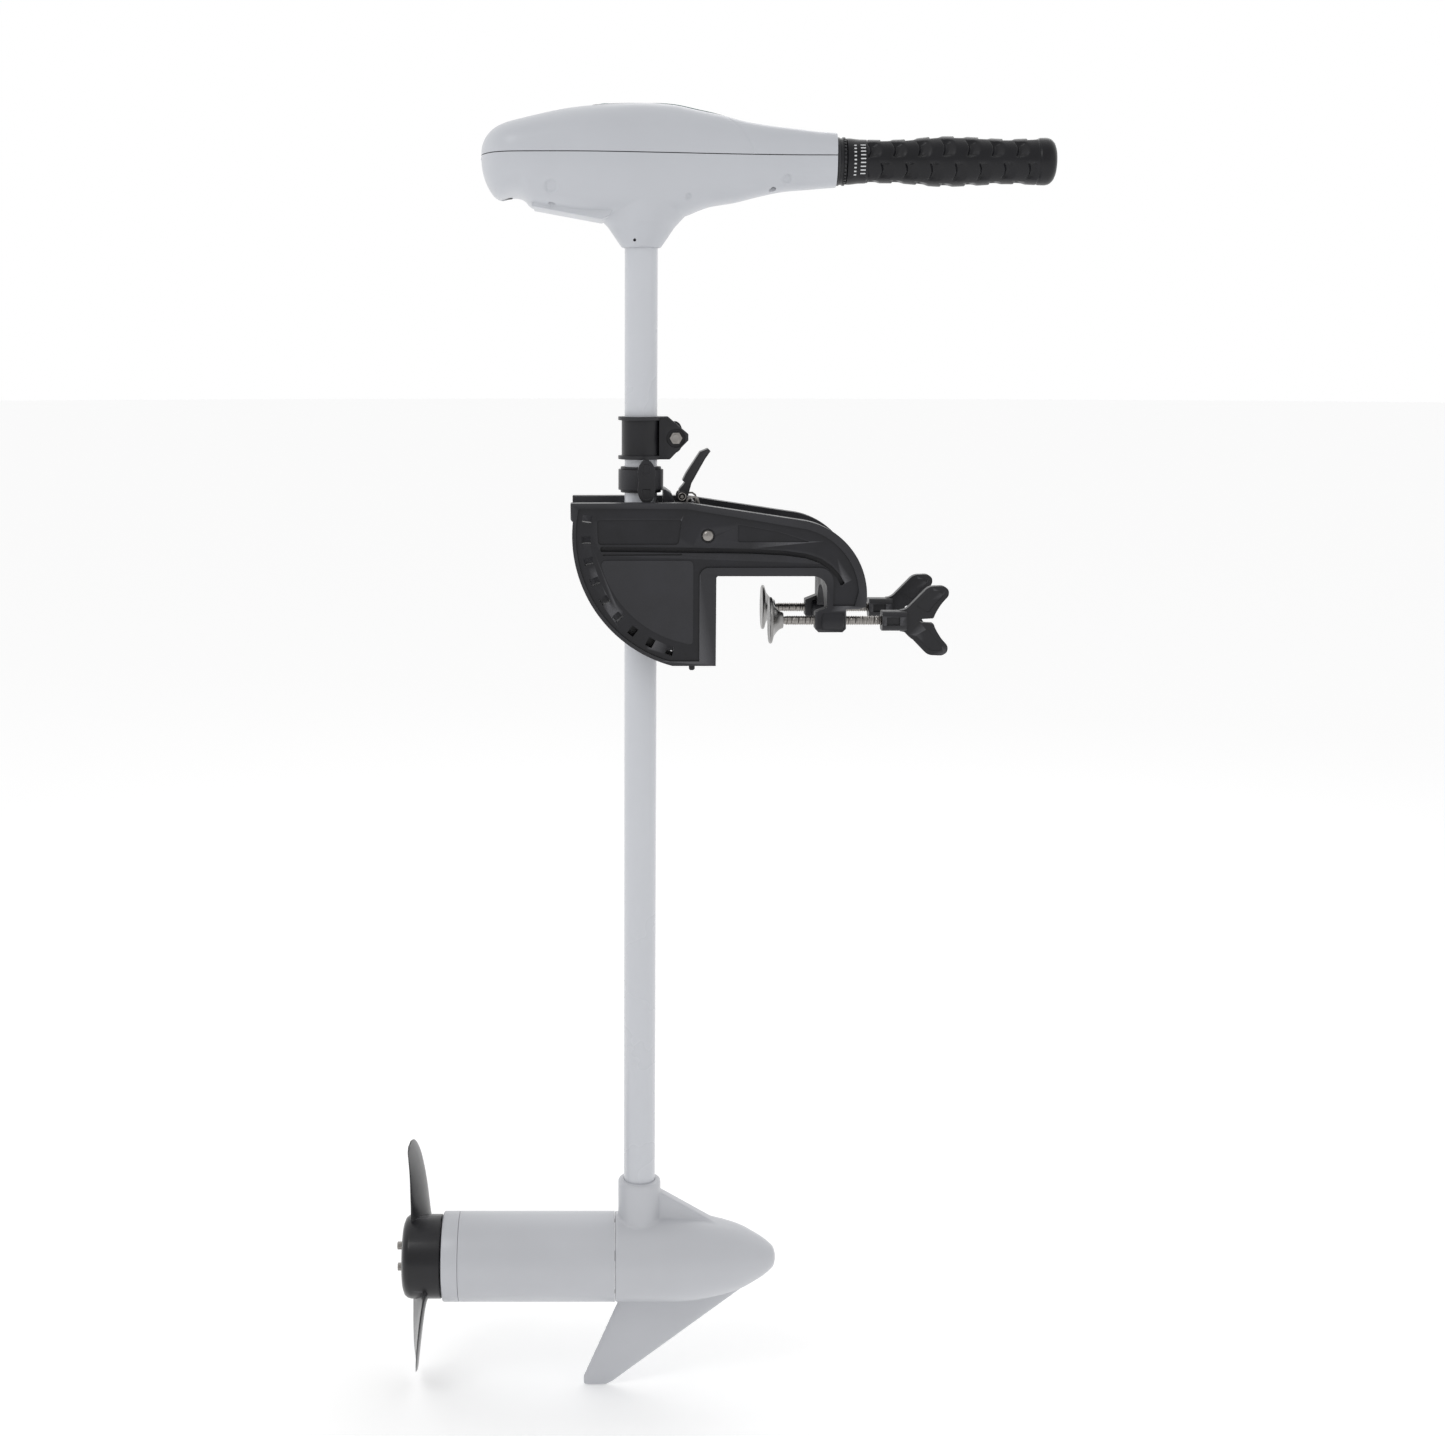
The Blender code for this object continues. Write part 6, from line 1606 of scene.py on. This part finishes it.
    @staticmethod
    def _resampled(outline: Outline, count: int) -> Outline:
        """The outline with its points evenly spaced."""
        lengths = [(Vector(outline[(i + 1) % len(outline)]) - Vector(p)).length
                   for i, p in enumerate(outline)]
        total, points = sum(lengths), []
        for k in range(count):
            goal, i = total * k / count, 0
            while goal > lengths[i] and i < len(lengths) - 1:
                goal -= lengths[i]
                i += 1
            a, b = Vector(outline[i]), Vector(outline[(i + 1) % len(outline)])
            spot = a + (b - a) * (goal / max(lengths[i], 1e-9))
            points.append((spot.x, spot.y))
        return points

    def _inlay_strip(self, name: str, path: Outline, half: float) -> Thing:
        """A narrow inlaid band along a path on the cover."""
        rings = []
        for i, point in enumerate(path):
            ahead, behind = Vector(path[min(i + 1, len(path) - 1)]), Vector(path[max(i - 1, 0)])
            across = (ahead - behind).normalized().orthogonal()
            taper = half * (0.35 + 0.65 * math.sin(math.pi * i / (len(path) - 1)))
            left, right = Vector(point) + across * taper, Vector(point) - across * taper
            rings.append([(p.x, p.y, self.skin_height(p.x, p.y) + lift)
                          for p, lift in ((left, 0.0002), (left, 0.00062), (right, 0.00062),
                                          (right, 0.0002))])
        return Forge.loft(name, rings)

    def build_badge(self) -> None:
        """A blank raised oval on the far side of the nose, where a badge would sit."""
        rings = []
        count, layers = 64, ((1.0, -0.0006), (1.0, 0.0004), (0.965, 0.0008), (0.90, 0.0008),
                             (0.87, 0.0005), (0.45, 0.0005), (0.02, 0.0005))
        for share, lift in layers:
            ring = []
            for i in range(count):
                a = 2 * math.pi * i / count
                x = 0.064 + 0.024 * share * math.cos(a)
                angle = 0.98 + 0.34 * share * math.sin(a)
                point = self.cover_point(x, angle)
                out = Vector((0, point.y, point.z - self.seam + 0.004)).normalized()
                ring.append(tuple(point + out * lift))
            rings.append(ring)
        badge = Forge.loft("nose_badge_blank", rings)
        self.dress(Forge.shaded(badge, 50), Body.MOTOR, SHELL_WHITE, "shell_white")

    def build_button(self) -> Thing:
        """The pale push button, dished on top."""
        low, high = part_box("test_button")
        r = (high.x - low.x) / 2
        profile: Outline = [(0, low.z), (r - 0.0004, low.z), (r, low.z + 0.0004),
                            (r, high.z - 0.0009), (r - 0.0003, high.z - 0.0003),
                            (r - 0.0009, high.z), (r * 0.6, high.z - 0.00035),
                            (r * 0.3, high.z - 0.0005), (0, high.z - 0.00055)]
        button = Forge.turned("test_button_dished", profile, Axis.Z, (BUTTON_X, 0, 0), 64)
        return self.dress(Forge.shaded(button, 50), Body.BUTTON, BUTTON_PALE, "button_pale",
                          ["test_button"])

    def build_gland(self) -> Thing:
        """The rubber gland under the rear, with its rings."""
        low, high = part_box("cable_gland")
        x, z = (low.x + high.x) / 2, max(low.z, 0.3642)
        profile: Outline = [(0.0032, z), (0.0050, z), (0.0056, z + 0.0005), (0.0056, z + 0.0013),
                            (0.0052, z + 0.0016), (0.0060, z + 0.0020), (0.0060, z + 0.0028),
                            (0.0056, z + 0.0031), (0.0066, z + 0.0036), (0.0066, z + 0.0046),
                            (0.0045, z + 0.0055), (0.0045, high.z), (0.0032, high.z)]
        gland = Forge.turned("cable_gland_ringed", profile, Axis.Z, (x, 0, 0), 48)
        return self.dress(Forge.shaded(gland, 45), Body.MOTOR, GLAND_RUBBER, "rubber_black",
                          ["cable_gland"])

    def build(self) -> None:
        """Build and dress the head."""
        self.build_cover()
        self.build_housing()
        self.build_panels()
        self.build_badge()
        self.build_button()
        self.build_gland()


# ---------------------------------------------------------------- tiller
@dataclass
class Tiller(Assembly):
    """Index ring at the head's nose and the grooved grip."""

    pockets: int = 7
    pocket_start: float = 0.1370
    pocket_pitch: float = 0.0212
    rows: int = 6
    body_radius: Curve1D = Curve1D((
        (0.1122, 0.0196), (0.1160, 0.0196), (0.1245, 0.0187), (0.1593, 0.0187), (0.1940, 0.0214),
        (0.2218, 0.0207), (0.2496, 0.0192), (0.2705, 0.0196), (0.2840, 0.0202)))

    def pocket_depth(self, x: float, angle: float) -> float:
        """Depth of the crescent finger grooves at a point on the grip.

        Args:
            x: Place along the grip.
            angle: Angle round it.

        Returns:
            The depth.
        """
        sector = 2 * math.pi / self.rows
        row = math.floor(angle / sector)
        across = (angle / sector - row) * 2 - 1
        lean = 0.0042 * (across * across)
        place = (x - self.pocket_start - (row % 2) * self.pocket_pitch * 0.5 + lean)
        index = round(place / self.pocket_pitch)
        if index < 0 or index >= self.pockets:
            return 0.0
        along = (place - index * self.pocket_pitch) / 0.0062
        if not -1.0 < along < 1.0 or abs(across) > 0.86:
            return 0.0
        edge = smooth_step(0.0, 0.30, 0.86 - abs(across))
        steep = smooth_step(-1.0, -0.55, along) * (1 - smooth_step(-0.45, 1.0, along))
        return 0.0030 * steep * edge

    def build_grip(self) -> Thing:
        """The rubber grip: swelling body, grooves, collar and domed end."""
        stations = [0.1122 + 0.1706 * i / 300 for i in range(301)]
        sides = 132
        rings = [self._round(0.1122, radius, sides) for radius in (TILLER_RADIUS, 0.0189)]
        for x in stations[1:]:
            ring = []
            for i in range(sides):
                a = 2 * math.pi * i / sides
                r = self.body_radius(x) - self.pocket_depth(x, a)
                r -= 0.0006 * math.exp(-((x - 0.1305) / 0.0006) ** 2)
                r -= 0.0007 * math.exp(-((x - 0.2785) / 0.0007) ** 2)
                ring.append((x, r * math.cos(a), TILLER_Z + r * math.sin(a)))
            rings.append(ring)
        for x, r in ((0.2860, 0.0202), (0.2885, 0.0197), (0.2905, 0.0186), (0.2925, 0.0165),
                     (0.2938, 0.0135), (0.2944, 0.0095), (0.2946, 0.004)):
            rings.append(self._round(x, r, sides))
        rings.append(self._round(0.2946, 0.0005, sides))
        rings.append(self._round(0.2590, 0.0005, sides))
        rings.append(self._round(0.2590, TILLER_RADIUS, sides))
        bm = bmesh.new()
        rows = [[bm.verts.new(p) for p in ring] for ring in rings]
        for low, high in zip(rows, rows[1:] + rows[:1]):
            if low is rows[-4] or (low is rows[-3] and high is rows[-2]):
                continue
            for i in range(sides):
                j = (i + 1) % sides
                bm.faces.new((low[i], low[j], high[j], high[i]))
        bm.faces.new(rows[-4])
        bm.faces.new(rows[-2])
        for vert in rows[-3]:
            bm.verts.remove(vert)
        grip = Forge.thing("tiller_grip_grooved", bm)
        return self.dress(Forge.shaded(grip, 40), Body.GRIP, GRIP_RUBBER, "grip_rubber",
                          ["tiller_grip"])

    @staticmethod
    def _round(x: float, radius: float, sides: int) -> list[Point3]:
        """A plain circle of the grip."""
        return [(x, y, z) for y, z in circle((0.0, TILLER_Z), radius, sides)]

    def build_ring(self) -> None:
        """The black index ring, notched round its rim, and the white marks on the grip."""
        low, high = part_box("nose_ring")
        r = (high.z - low.z) / 2
        profile: Outline = [(TILLER_RADIUS, low.x), (r - 0.0010, low.x), (r, low.x + 0.0008),
                            (r, low.x + 0.0024), (r - 0.0008, low.x + 0.0028),
                            (r - 0.0008, high.x - 0.0028), (r, high.x - 0.0024),
                            (r, high.x - 0.0008), (r - 0.0010, high.x), (TILLER_RADIUS, high.x)]
        ring = Forge.turned("nose_ring_notched", profile, Axis.X, (0, 0, TILLER_Z), 96)
        notch = Forge.box("notch", (high.x - 0.0022, -0.0007, r - 0.0009),
                          (high.x + 0.001, 0.0007, r + 0.002))
        notches = self.repeater.ring("notches", notch, 36, 0.0, math.radians(10), (1.0, 0.0, 0.0),
                                     (0.0, 0.0, TILLER_Z), KNOB_PLASTIC)
        Forge.cut(ring, [notches])
        Forge.shaded(ring, 35)
        self.dress(ring, Body.MOTOR, KNOB_PLASTIC, "knob_black", ["nose_ring"])
        marks = []
        for row, (x, half, long) in enumerate(((0.1190, 0.0006, 0.0010), (0.1258, 0.0005, 0.0022))):
            r = self.body_radius(x)
            tick = Forge.box("tick", (x - long, -half, r - 0.0006), (x + long, half, r + 0.00018))
            marks.append(self.repeater.ring(f"ticks_{row}", tick, 9, math.radians(50 - 3 * row),
                                            math.radians(10), (1.0, 0.0, 0.0),
                                            (0.0, 0.0, TILLER_Z), MARK_WHITE))
        both = Forge.merged("grip_scale_marks", marks)
        self.dress(both, Body.GRIP, MARK_WHITE, "grip_rubber")

    def build(self) -> None:
        """Build and dress the tiller."""
        self.build_ring()
        self.build_grip()


# ---------------------------------------------------------------- tube and lower unit
@dataclass
class LowerUnit(Assembly):
    """White tube, nose housing with its skeg, motor can and rear bell."""

    radius: float = 0.0413
    socket_radius: float = 0.0198
    nose_profile: Curve1D = Curve1D((
        (SEAM_X, 0.0413), (-0.0440, 0.0413), (-0.0300, 0.0412), (-0.0150, 0.0401),
        (0.0000, 0.0375), (0.0192, 0.0328), (0.0315, 0.0285), (0.0410, 0.0235),
        (0.0514, 0.0173), (0.0580, 0.0120), (0.0612, 0.0080), (0.0629, 0.0)))

    def build_tube(self) -> Thing:
        """The long white tube."""
        low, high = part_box("shaft_tube")
        inner, outer = SHAFT_RADIUS - 0.0022, SHAFT_RADIUS
        steps = 30
        profile: Outline = [(inner, low.z), (outer, low.z)]
        profile += [(outer, low.z + (high.z - low.z) * i / steps) for i in range(1, steps)]
        profile += [(outer, high.z), (inner, high.z)]
        tube = Forge.turned("shaft_tube_drawn", profile, Axis.Z, (SHAFT_X, 0, 0), 96)
        return self.dress(Forge.shaded(tube, 50), Body.MOTOR, TUBE_WHITE, "tube_white",
                          ["shaft_tube"])

    def build_nose(self) -> Thing:
        """The nose housing, its socket and gusset melted together, with the skeg below."""
        stations = [SEAM_X + 0.1480 * i / 60 for i in range(61)]
        profile: Outline = [(0, SEAM_X)]
        profile += [(self.nose_profile(x), x) for x in stations]
        profile += [(0.0092, 0.0609), (0.0063, 0.0619), (0.0030, 0.0627), (0, 0.0629)]
        hull = Forge.turned("nose_housing_cast", profile, Axis.X, (0, 0, MOTOR_Z), 96)
        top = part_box("nose_housing")[1].z
        socket = Forge.turned("socket", [(0, -0.590), (self.socket_radius + 0.002, -0.590),
                                         (self.socket_radius, -0.572),
                                         (self.socket_radius, top - 0.0012),
                                         (self.socket_radius - 0.0012, top), (0, top)],
                              Axis.Z, (SHAFT_X, 0, 0), 72)
        gusset_side = [(-0.060, -0.590), (-0.0470, -0.5460), (-0.0438, -0.5462),
                       (0.0032, -0.5735), (0.0150, -0.5790), (0.0100, -0.590)]
        gusset = Forge.prism("gusset", gusset_side, -0.0062, 0.0062)
        Forge.joined(hull, [socket, gusset, self._skeg()])
        Forge.fused(hull, 0.0011, 10)
        bore = Forge.rod("tube_bore", SHAFT_RADIUS + 0.0003, (SHAFT_X, 0, -0.572),
                         (SHAFT_X, 0, -0.5), 96)
        facing = Forge.rod("facing", 0.0440, (-0.1000, 0, MOTOR_Z), (SEAM_X, 0, MOTOR_Z), 96)
        Forge.cut(hull, [bore, facing])
        Forge.shaded(hull, 48)
        return self.dress(hull, Body.MOTOR, HULL_PAINT, "motor_paint", ["nose_housing"])

    def _skeg(self) -> Thing:
        """The fin under the housing, thick at its root and thin at its edges."""
        z = MOTOR_Z
        lead = [(0.0440, z - 0.0180), (0.0400, z - 0.0255), (-0.0930, z - 0.1280),
                (-0.0965, z - 0.1290)]
        trail = [(-0.0862, z - 0.0300), (-0.0862, z - 0.0463), (-0.1185, z - 0.1210),
                 (-0.1180, z - 0.1290)]
        rings = []
        steps = 26
        for k in range(steps + 1):
            t = k / steps
            front, back = self._along(lead, t), self._along(trail, t)
            thick = 0.0037 * (1 - t) + 0.0021 * t
            ring = []
            count = 40
            for i in range(count):
                a = 2 * math.pi * i / count
                u = 0.5 + 0.5 * math.cos(a)
                spot = back + (front - back) * u
                edge = (max(0.0, 1 - abs(2 * u - 1) ** 6)) ** 0.5
                ring.append((spot.x, math.copysign(thick * edge, math.sin(a)), spot.y))
            rings.append(ring)
        return Forge.loft("skeg", rings)

    @staticmethod
    def _along(path: Outline, t: float) -> Vector:
        """A point a share of the way along a path."""
        lengths = [(Vector(b) - Vector(a)).length for a, b in zip(path, path[1:])]
        goal = sum(lengths) * t
        for (a, b), length in zip(zip(path, path[1:]), lengths):
            if goal <= length:
                return Vector(a) + (Vector(b) - Vector(a)) * (goal / max(length, 1e-9))
            goal -= length
        return Vector(path[-1])

    def build_can(self) -> None:
        """The motor can and the rear bell, with the fine line between them."""
        low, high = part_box("motor_can")
        r, inner = self.radius, self.radius - 0.003
        profile: Outline = [(inner, low.x), (r - 0.0003, low.x), (r, low.x + 0.0003)]
        profile += [(r, low.x + (high.x - low.x) * i / 12) for i in range(1, 12)]
        profile += [(r, high.x - 0.0003), (r - 0.0003, high.x), (inner, high.x)]
        can = Forge.turned("motor_can_painted", profile, Axis.X, (0, 0, MOTOR_Z), 128)
        self.dress(Forge.shaded(can, 40), Body.MOTOR, HULL_PAINT, "motor_paint", ["motor_can"])
        low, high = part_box("rear_end_bell")
        seat = high.x - 0.0080
        profile = [(0.0054, low.x), (r - 0.0016, low.x), (r - 0.0008, low.x + 0.0002),
                   (r - 0.0002, low.x + 0.0008), (r, low.x + 0.0016), (r, seat - 0.0003),
                   (r - 0.0003, seat), (inner - 0.0003, seat), (inner - 0.0003, high.x),
                   (0.0173, high.x), (0.0113, high.x), (0.0113, seat - 0.0073), (0.0085, seat - 0.0075),
                   (0.0085, seat - 0.0125), (0.0054, seat - 0.0125)]
        bell = Forge.turned("rear_bell_painted", profile, Axis.X, (0, 0, MOTOR_Z), 128)
        ways = []
        for z in (-1, 1):
            spot = MOTOR_Z + z * 0.0353
            ways.append(Forge.rod("bolt_sink", 0.0036, (low.x - 0.002, 0, spot),
                                  (low.x + 0.0042, 0, spot), 32))
            ways.append(Forge.rod("bolt_way", 0.0021, (low.x + 0.003, 0, spot),
                                  (high.x + 0.002, 0, spot), 24))
        Forge.cut(bell, ways)
        self.dress(Forge.shaded(bell, 40), Body.MOTOR, HULL_PAINT, "motor_paint",
                   ["rear_end_bell"])

    def build(self) -> None:
        """Build and dress the tube and the lower unit."""
        self.build_tube()
        self.build_nose()
        self.build_can()


@dataclass
class Propeller(Assembly):
    """Two swept blades on a deep hub, and the two screws in its back."""

    radius: float = 0.118
    hub_radius: float = 0.0385
    hub_front: float = -0.2507
    hub_length: float = 0.0375
    pitch: float = 0.075
    rake: float = -0.007
    rest: float = 0.42
    sweep: float = -0.55
    chord: Curve1D = Curve1D(((0.0, 0.050), (0.35, 0.060), (0.7, 0.052), (0.92, 0.032),
                              (1.0, 0.012)))

    def blade(self, middle_x: float) -> Thing:
        """One blade standing on the hub along +Z.

        Args:
            middle_x: Station of the blade's middle.

        Returns:
            The blade.
        """
        rings = []
        steps, count = 44, 48
        for k in range(steps + 1):
            share = k / steps
            radius = self.hub_radius * 0.90 + (self.radius - self.hub_radius * 0.90) * share
            t = max(0.0, (radius - self.hub_radius) / (self.radius - self.hub_radius))
            chord = self.chord(t)
            thick = 0.0062 * (1 - 0.78 * t) + 0.0030 * math.exp(-t / 0.05)
            pitch = math.atan2(self.pitch, 2 * math.pi * radius)
            lag = self.rest + self.sweep * t * t
            ring = []
            for i in range(count):
                a = 2 * math.pi * i / count
                along = chord / 2 * math.cos(a)
                edge = abs(math.sin(a)) ** 0.9
                across = math.copysign(thick / 2 * edge, math.sin(a))
                across += 0.05 * chord * (1 - math.cos(a) ** 2)
                x = along * math.sin(pitch) + across * math.cos(pitch) + self.rake * t
                turn = (along * math.cos(pitch) - across * math.sin(pitch)) / radius + lag
                ring.append((middle_x + x, radius * math.sin(turn), radius * math.cos(turn)))
            rings.append(ring)
        return Forge.loft("blade", rings)

    def build(self) -> None:
        """Build and dress the propeller and its screws."""
        bolt_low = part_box("hub_screw_upper")[0].x
        back, front = bolt_low + 0.0048, self.hub_front
        r = self.hub_radius
        profile: Outline = [(0, back + 0.0012), (0.0060, back + 0.0012), (0.0066, back + 0.0004),
                            (r * 0.45, back + 0.0006), (r * 0.80, back + 0.0016),
                            (r * 0.92, back + 0.0034), (r * 0.975, back + 0.0060),
                            (r, back + 0.0095), (r, front - 0.0008), (r - 0.0008, front),
                            (0.0051, front), (0.0051, back + 0.0097), (0, back + 0.0097)]
        hub = Forge.turned("propeller_moulded", profile, Axis.X, (0, 0, 0), 96)
        blade_x = self.hub_front - self.hub_length * 0.56
        blades = []
        for turn in (0.0, math.pi):
            blade = self.blade(blade_x)
            blade.data.transform(Matrix.Rotation(turn, 4, "X"))
            blades.append(blade)
        Forge.joined(hub, blades)
        slot = Forge.box("pin_slot", (front - 0.0126, -0.0026, -0.0142),
                         (front + 0.002, 0.0026, 0.0142))
        holes = [Forge.rod("screw_hole", 0.0020, (back - 0.001, 0, z), (back + 0.0085, 0, z), 20)
                 for z in (-0.0105, 0.0105)]
        Forge.cut(hub, [slot, *holes])
        hub.data.transform(Matrix.Translation((0, 0, MOTOR_Z)))
        Forge.rounded(hub, 0.0005, 2, 40)
        self.dress(hub, Body.ROTOR, PROP_PLASTIC, "prop_plastic", ["propeller"])
        for label in ("upper", "lower"):
            low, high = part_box(f"hub_screw_{label}")
            y, z = (low.y + high.y) / 2, (low.z + high.z) / 2
            cap = Forge.prism(f"hub_screw_{label}_hex", circle((y, z), 0.0038, 6), low.x,
                              low.x + 0.0045, Axis.X)
            shank = Forge.rod("shank", 0.0017, (low.x + 0.003, y, z), (high.x, y, z), 20)
            Forge.rounded(Forge.joined(cap, [shank]), 0.0004)
            self.dress(cap, Body.ROTOR, STAINLESS, "steel", [f"hub_screw_{label}"])


# ---------------------------------------------------------------- inner pieces that stay
@dataclass
class InnerWorks(Assembly):
    """CAD pieces inside the motor and head that stay as they are and get their finishes."""

    finishes: tuple[tuple[str, Finish], ...] = (
        ("control_board", BOARD_GREEN), ("speed_switch", KNOB_PLASTIC),
        ("cover_screw_rear_near", STAINLESS), ("cover_screw_rear_far", STAINLESS),
        ("cover_screw_front_near", STAINLESS), ("cover_screw_front_far", STAINLESS),
        ("tiller_tube", TILLER_STEEL), ("through_bolt_upper", STAINLESS),
        ("through_bolt_lower", STAINLESS), ("magnet_near", FERRITE), ("magnet_far", FERRITE),
        ("rear_bearing", SINTERED_BRONZE), ("front_bearing", SINTERED_BRONZE),
        ("shaft_seal", GLAND_RUBBER), ("brush_plate", BOARD_BROWN), ("motor_shaft", STAINLESS),
        ("drive_pin", STAINLESS), ("armature", LAMINATIONS), ("commutator", COPPER))

    def build(self) -> None:
        """Dress each piece that stays."""
        for node, finish in self.finishes:
            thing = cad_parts[node]
            if thing.material_slots:
                thing.material_slots[0].material = finish.material()
            else:
                thing.data.materials.append(finish.material())
            LOG.info("%s: kept, %s", node, finish.name)


# ---------------------------------------------------------------- studio
@dataclass
class Studio:
    """Pale floor, soft lights and the camera."""

    floor_z: float = -0.7402
    camera_at: Point3 = (-0.0909, -1.830, 0.2344)
    pitch: float = 8.6
    lens: float = 51.12
    shift: Point2 = (0.0765, -0.0401)

    def build_floor(self) -> None:
        """A wide plain floor."""
        bm = bmesh.new()
        bmesh.ops.create_circle(bm, cap_ends=True, segments=96, radius=40.0)
        bm.transform(Matrix.Translation((0, 0, self.floor_z)))
        floor = Forge.thing("studio_floor", bm)
        paint = bpy.data.materials.new("studio_white")
        paint.use_nodes = True
        shader = paint.node_tree.nodes["Principled BSDF"]
        shader.inputs["Base Color"].default_value = (0.97, 0.97, 0.97, 1.0)
        shader.inputs["Roughness"].default_value = 0.9
        shader.inputs["Specular IOR Level"].default_value = 0.0
        shader.inputs["Emission Color"].default_value = (1.0, 1.0, 1.0, 1.0)
        shader.inputs["Emission Strength"].default_value = 0.16
        floor.data.materials.append(paint)

    def build_lights(self) -> None:
        """White surroundings, a broad key from the front left and a fill from the right."""
        world = bpy.data.worlds.new("studio_world")
        world.use_nodes = True
        tree = world.node_tree
        way = tree.nodes.new("ShaderNodeTexCoord")
        parts = tree.nodes.new("ShaderNodeSeparateXYZ")
        ramp = tree.nodes.new("ShaderNodeMapRange")
        for socket, value in (("From Min", -0.5), ("From Max", 0.4), ("To Min", 0.62),
                              ("To Max", 1.0)):
            ramp.inputs[socket].default_value = value
        tree.links.new(way.outputs["Generated"], parts.inputs["Vector"])
        tree.links.new(parts.outputs["Y"], ramp.inputs["Value"])
        tree.links.new(ramp.outputs["Result"], tree.nodes["Background"].inputs["Strength"])
        tree.nodes["Background"].inputs["Color"].default_value = (1.0, 1.0, 1.0, 1.0)
        bpy.context.scene.world = world
        for name, place, size, power in (
                ("key", (-1.3, -1.7, 2.0), 1.1, 12.0), ("fill", (1.9, -1.4, 0.8), 1.6, 2.0),
                ("back", (0.6, 2.0, 1.5), 1.4, 5.0)):
            lamp = bpy.data.lights.new(name, "AREA")
            lamp.size = size
            lamp.energy = power
            holder = bpy.data.objects.new(name, lamp)
            holder.location = place
            aim = Vector((-0.08, 0.0, -0.1)) - Vector(place)
            holder.rotation_euler = aim.to_track_quat("-Z", "Y").to_euler()
            bpy.context.scene.collection.objects.link(holder)
        bpy.context.scene.view_settings.view_transform = "Standard"

    def build_camera(self) -> None:
        """The camera in front of the near cheek, a little above, looking slightly down."""
        data = bpy.data.cameras.new("camera")
        data.sensor_width = 36.0
        data.lens = self.lens
        data.shift_x, data.shift_y = self.shift
        data.clip_end = 100.0
        camera = bpy.data.objects.new("camera", data)
        camera.location = self.camera_at
        camera.rotation_euler = (math.radians(90.0 - self.pitch), 0.0, 0.0)
        bpy.context.scene.collection.objects.link(camera)
        bpy.context.scene.camera = camera

    def build(self) -> None:
        """Build the studio."""
        self.build_floor()
        self.build_lights()
        self.build_camera()


def main() -> None:
    """Build every sub-assembly in order, then the studio."""
    logging.basicConfig(level=logging.INFO, format="%(name)s %(message)s", stream=sys.stdout)
    repeater = Repeater()
    assemblies: list[Assembly] = [
        ClampBracket(repeater), ClampScrew(repeater, side=Side.NEAR),
        ClampScrew(repeater, side=Side.FAR), TiltHinge(repeater), DepthCollar(repeater),
        ControlHead(repeater), Tiller(repeater), LowerUnit(repeater), Propeller(repeater),
        InnerWorks(repeater)]
    for assembly in assemblies:
        assembly.build()
        LOG.info("%s finished", type(assembly).__name__)
    Studio().build()


if __name__ == "__main__":
    main()
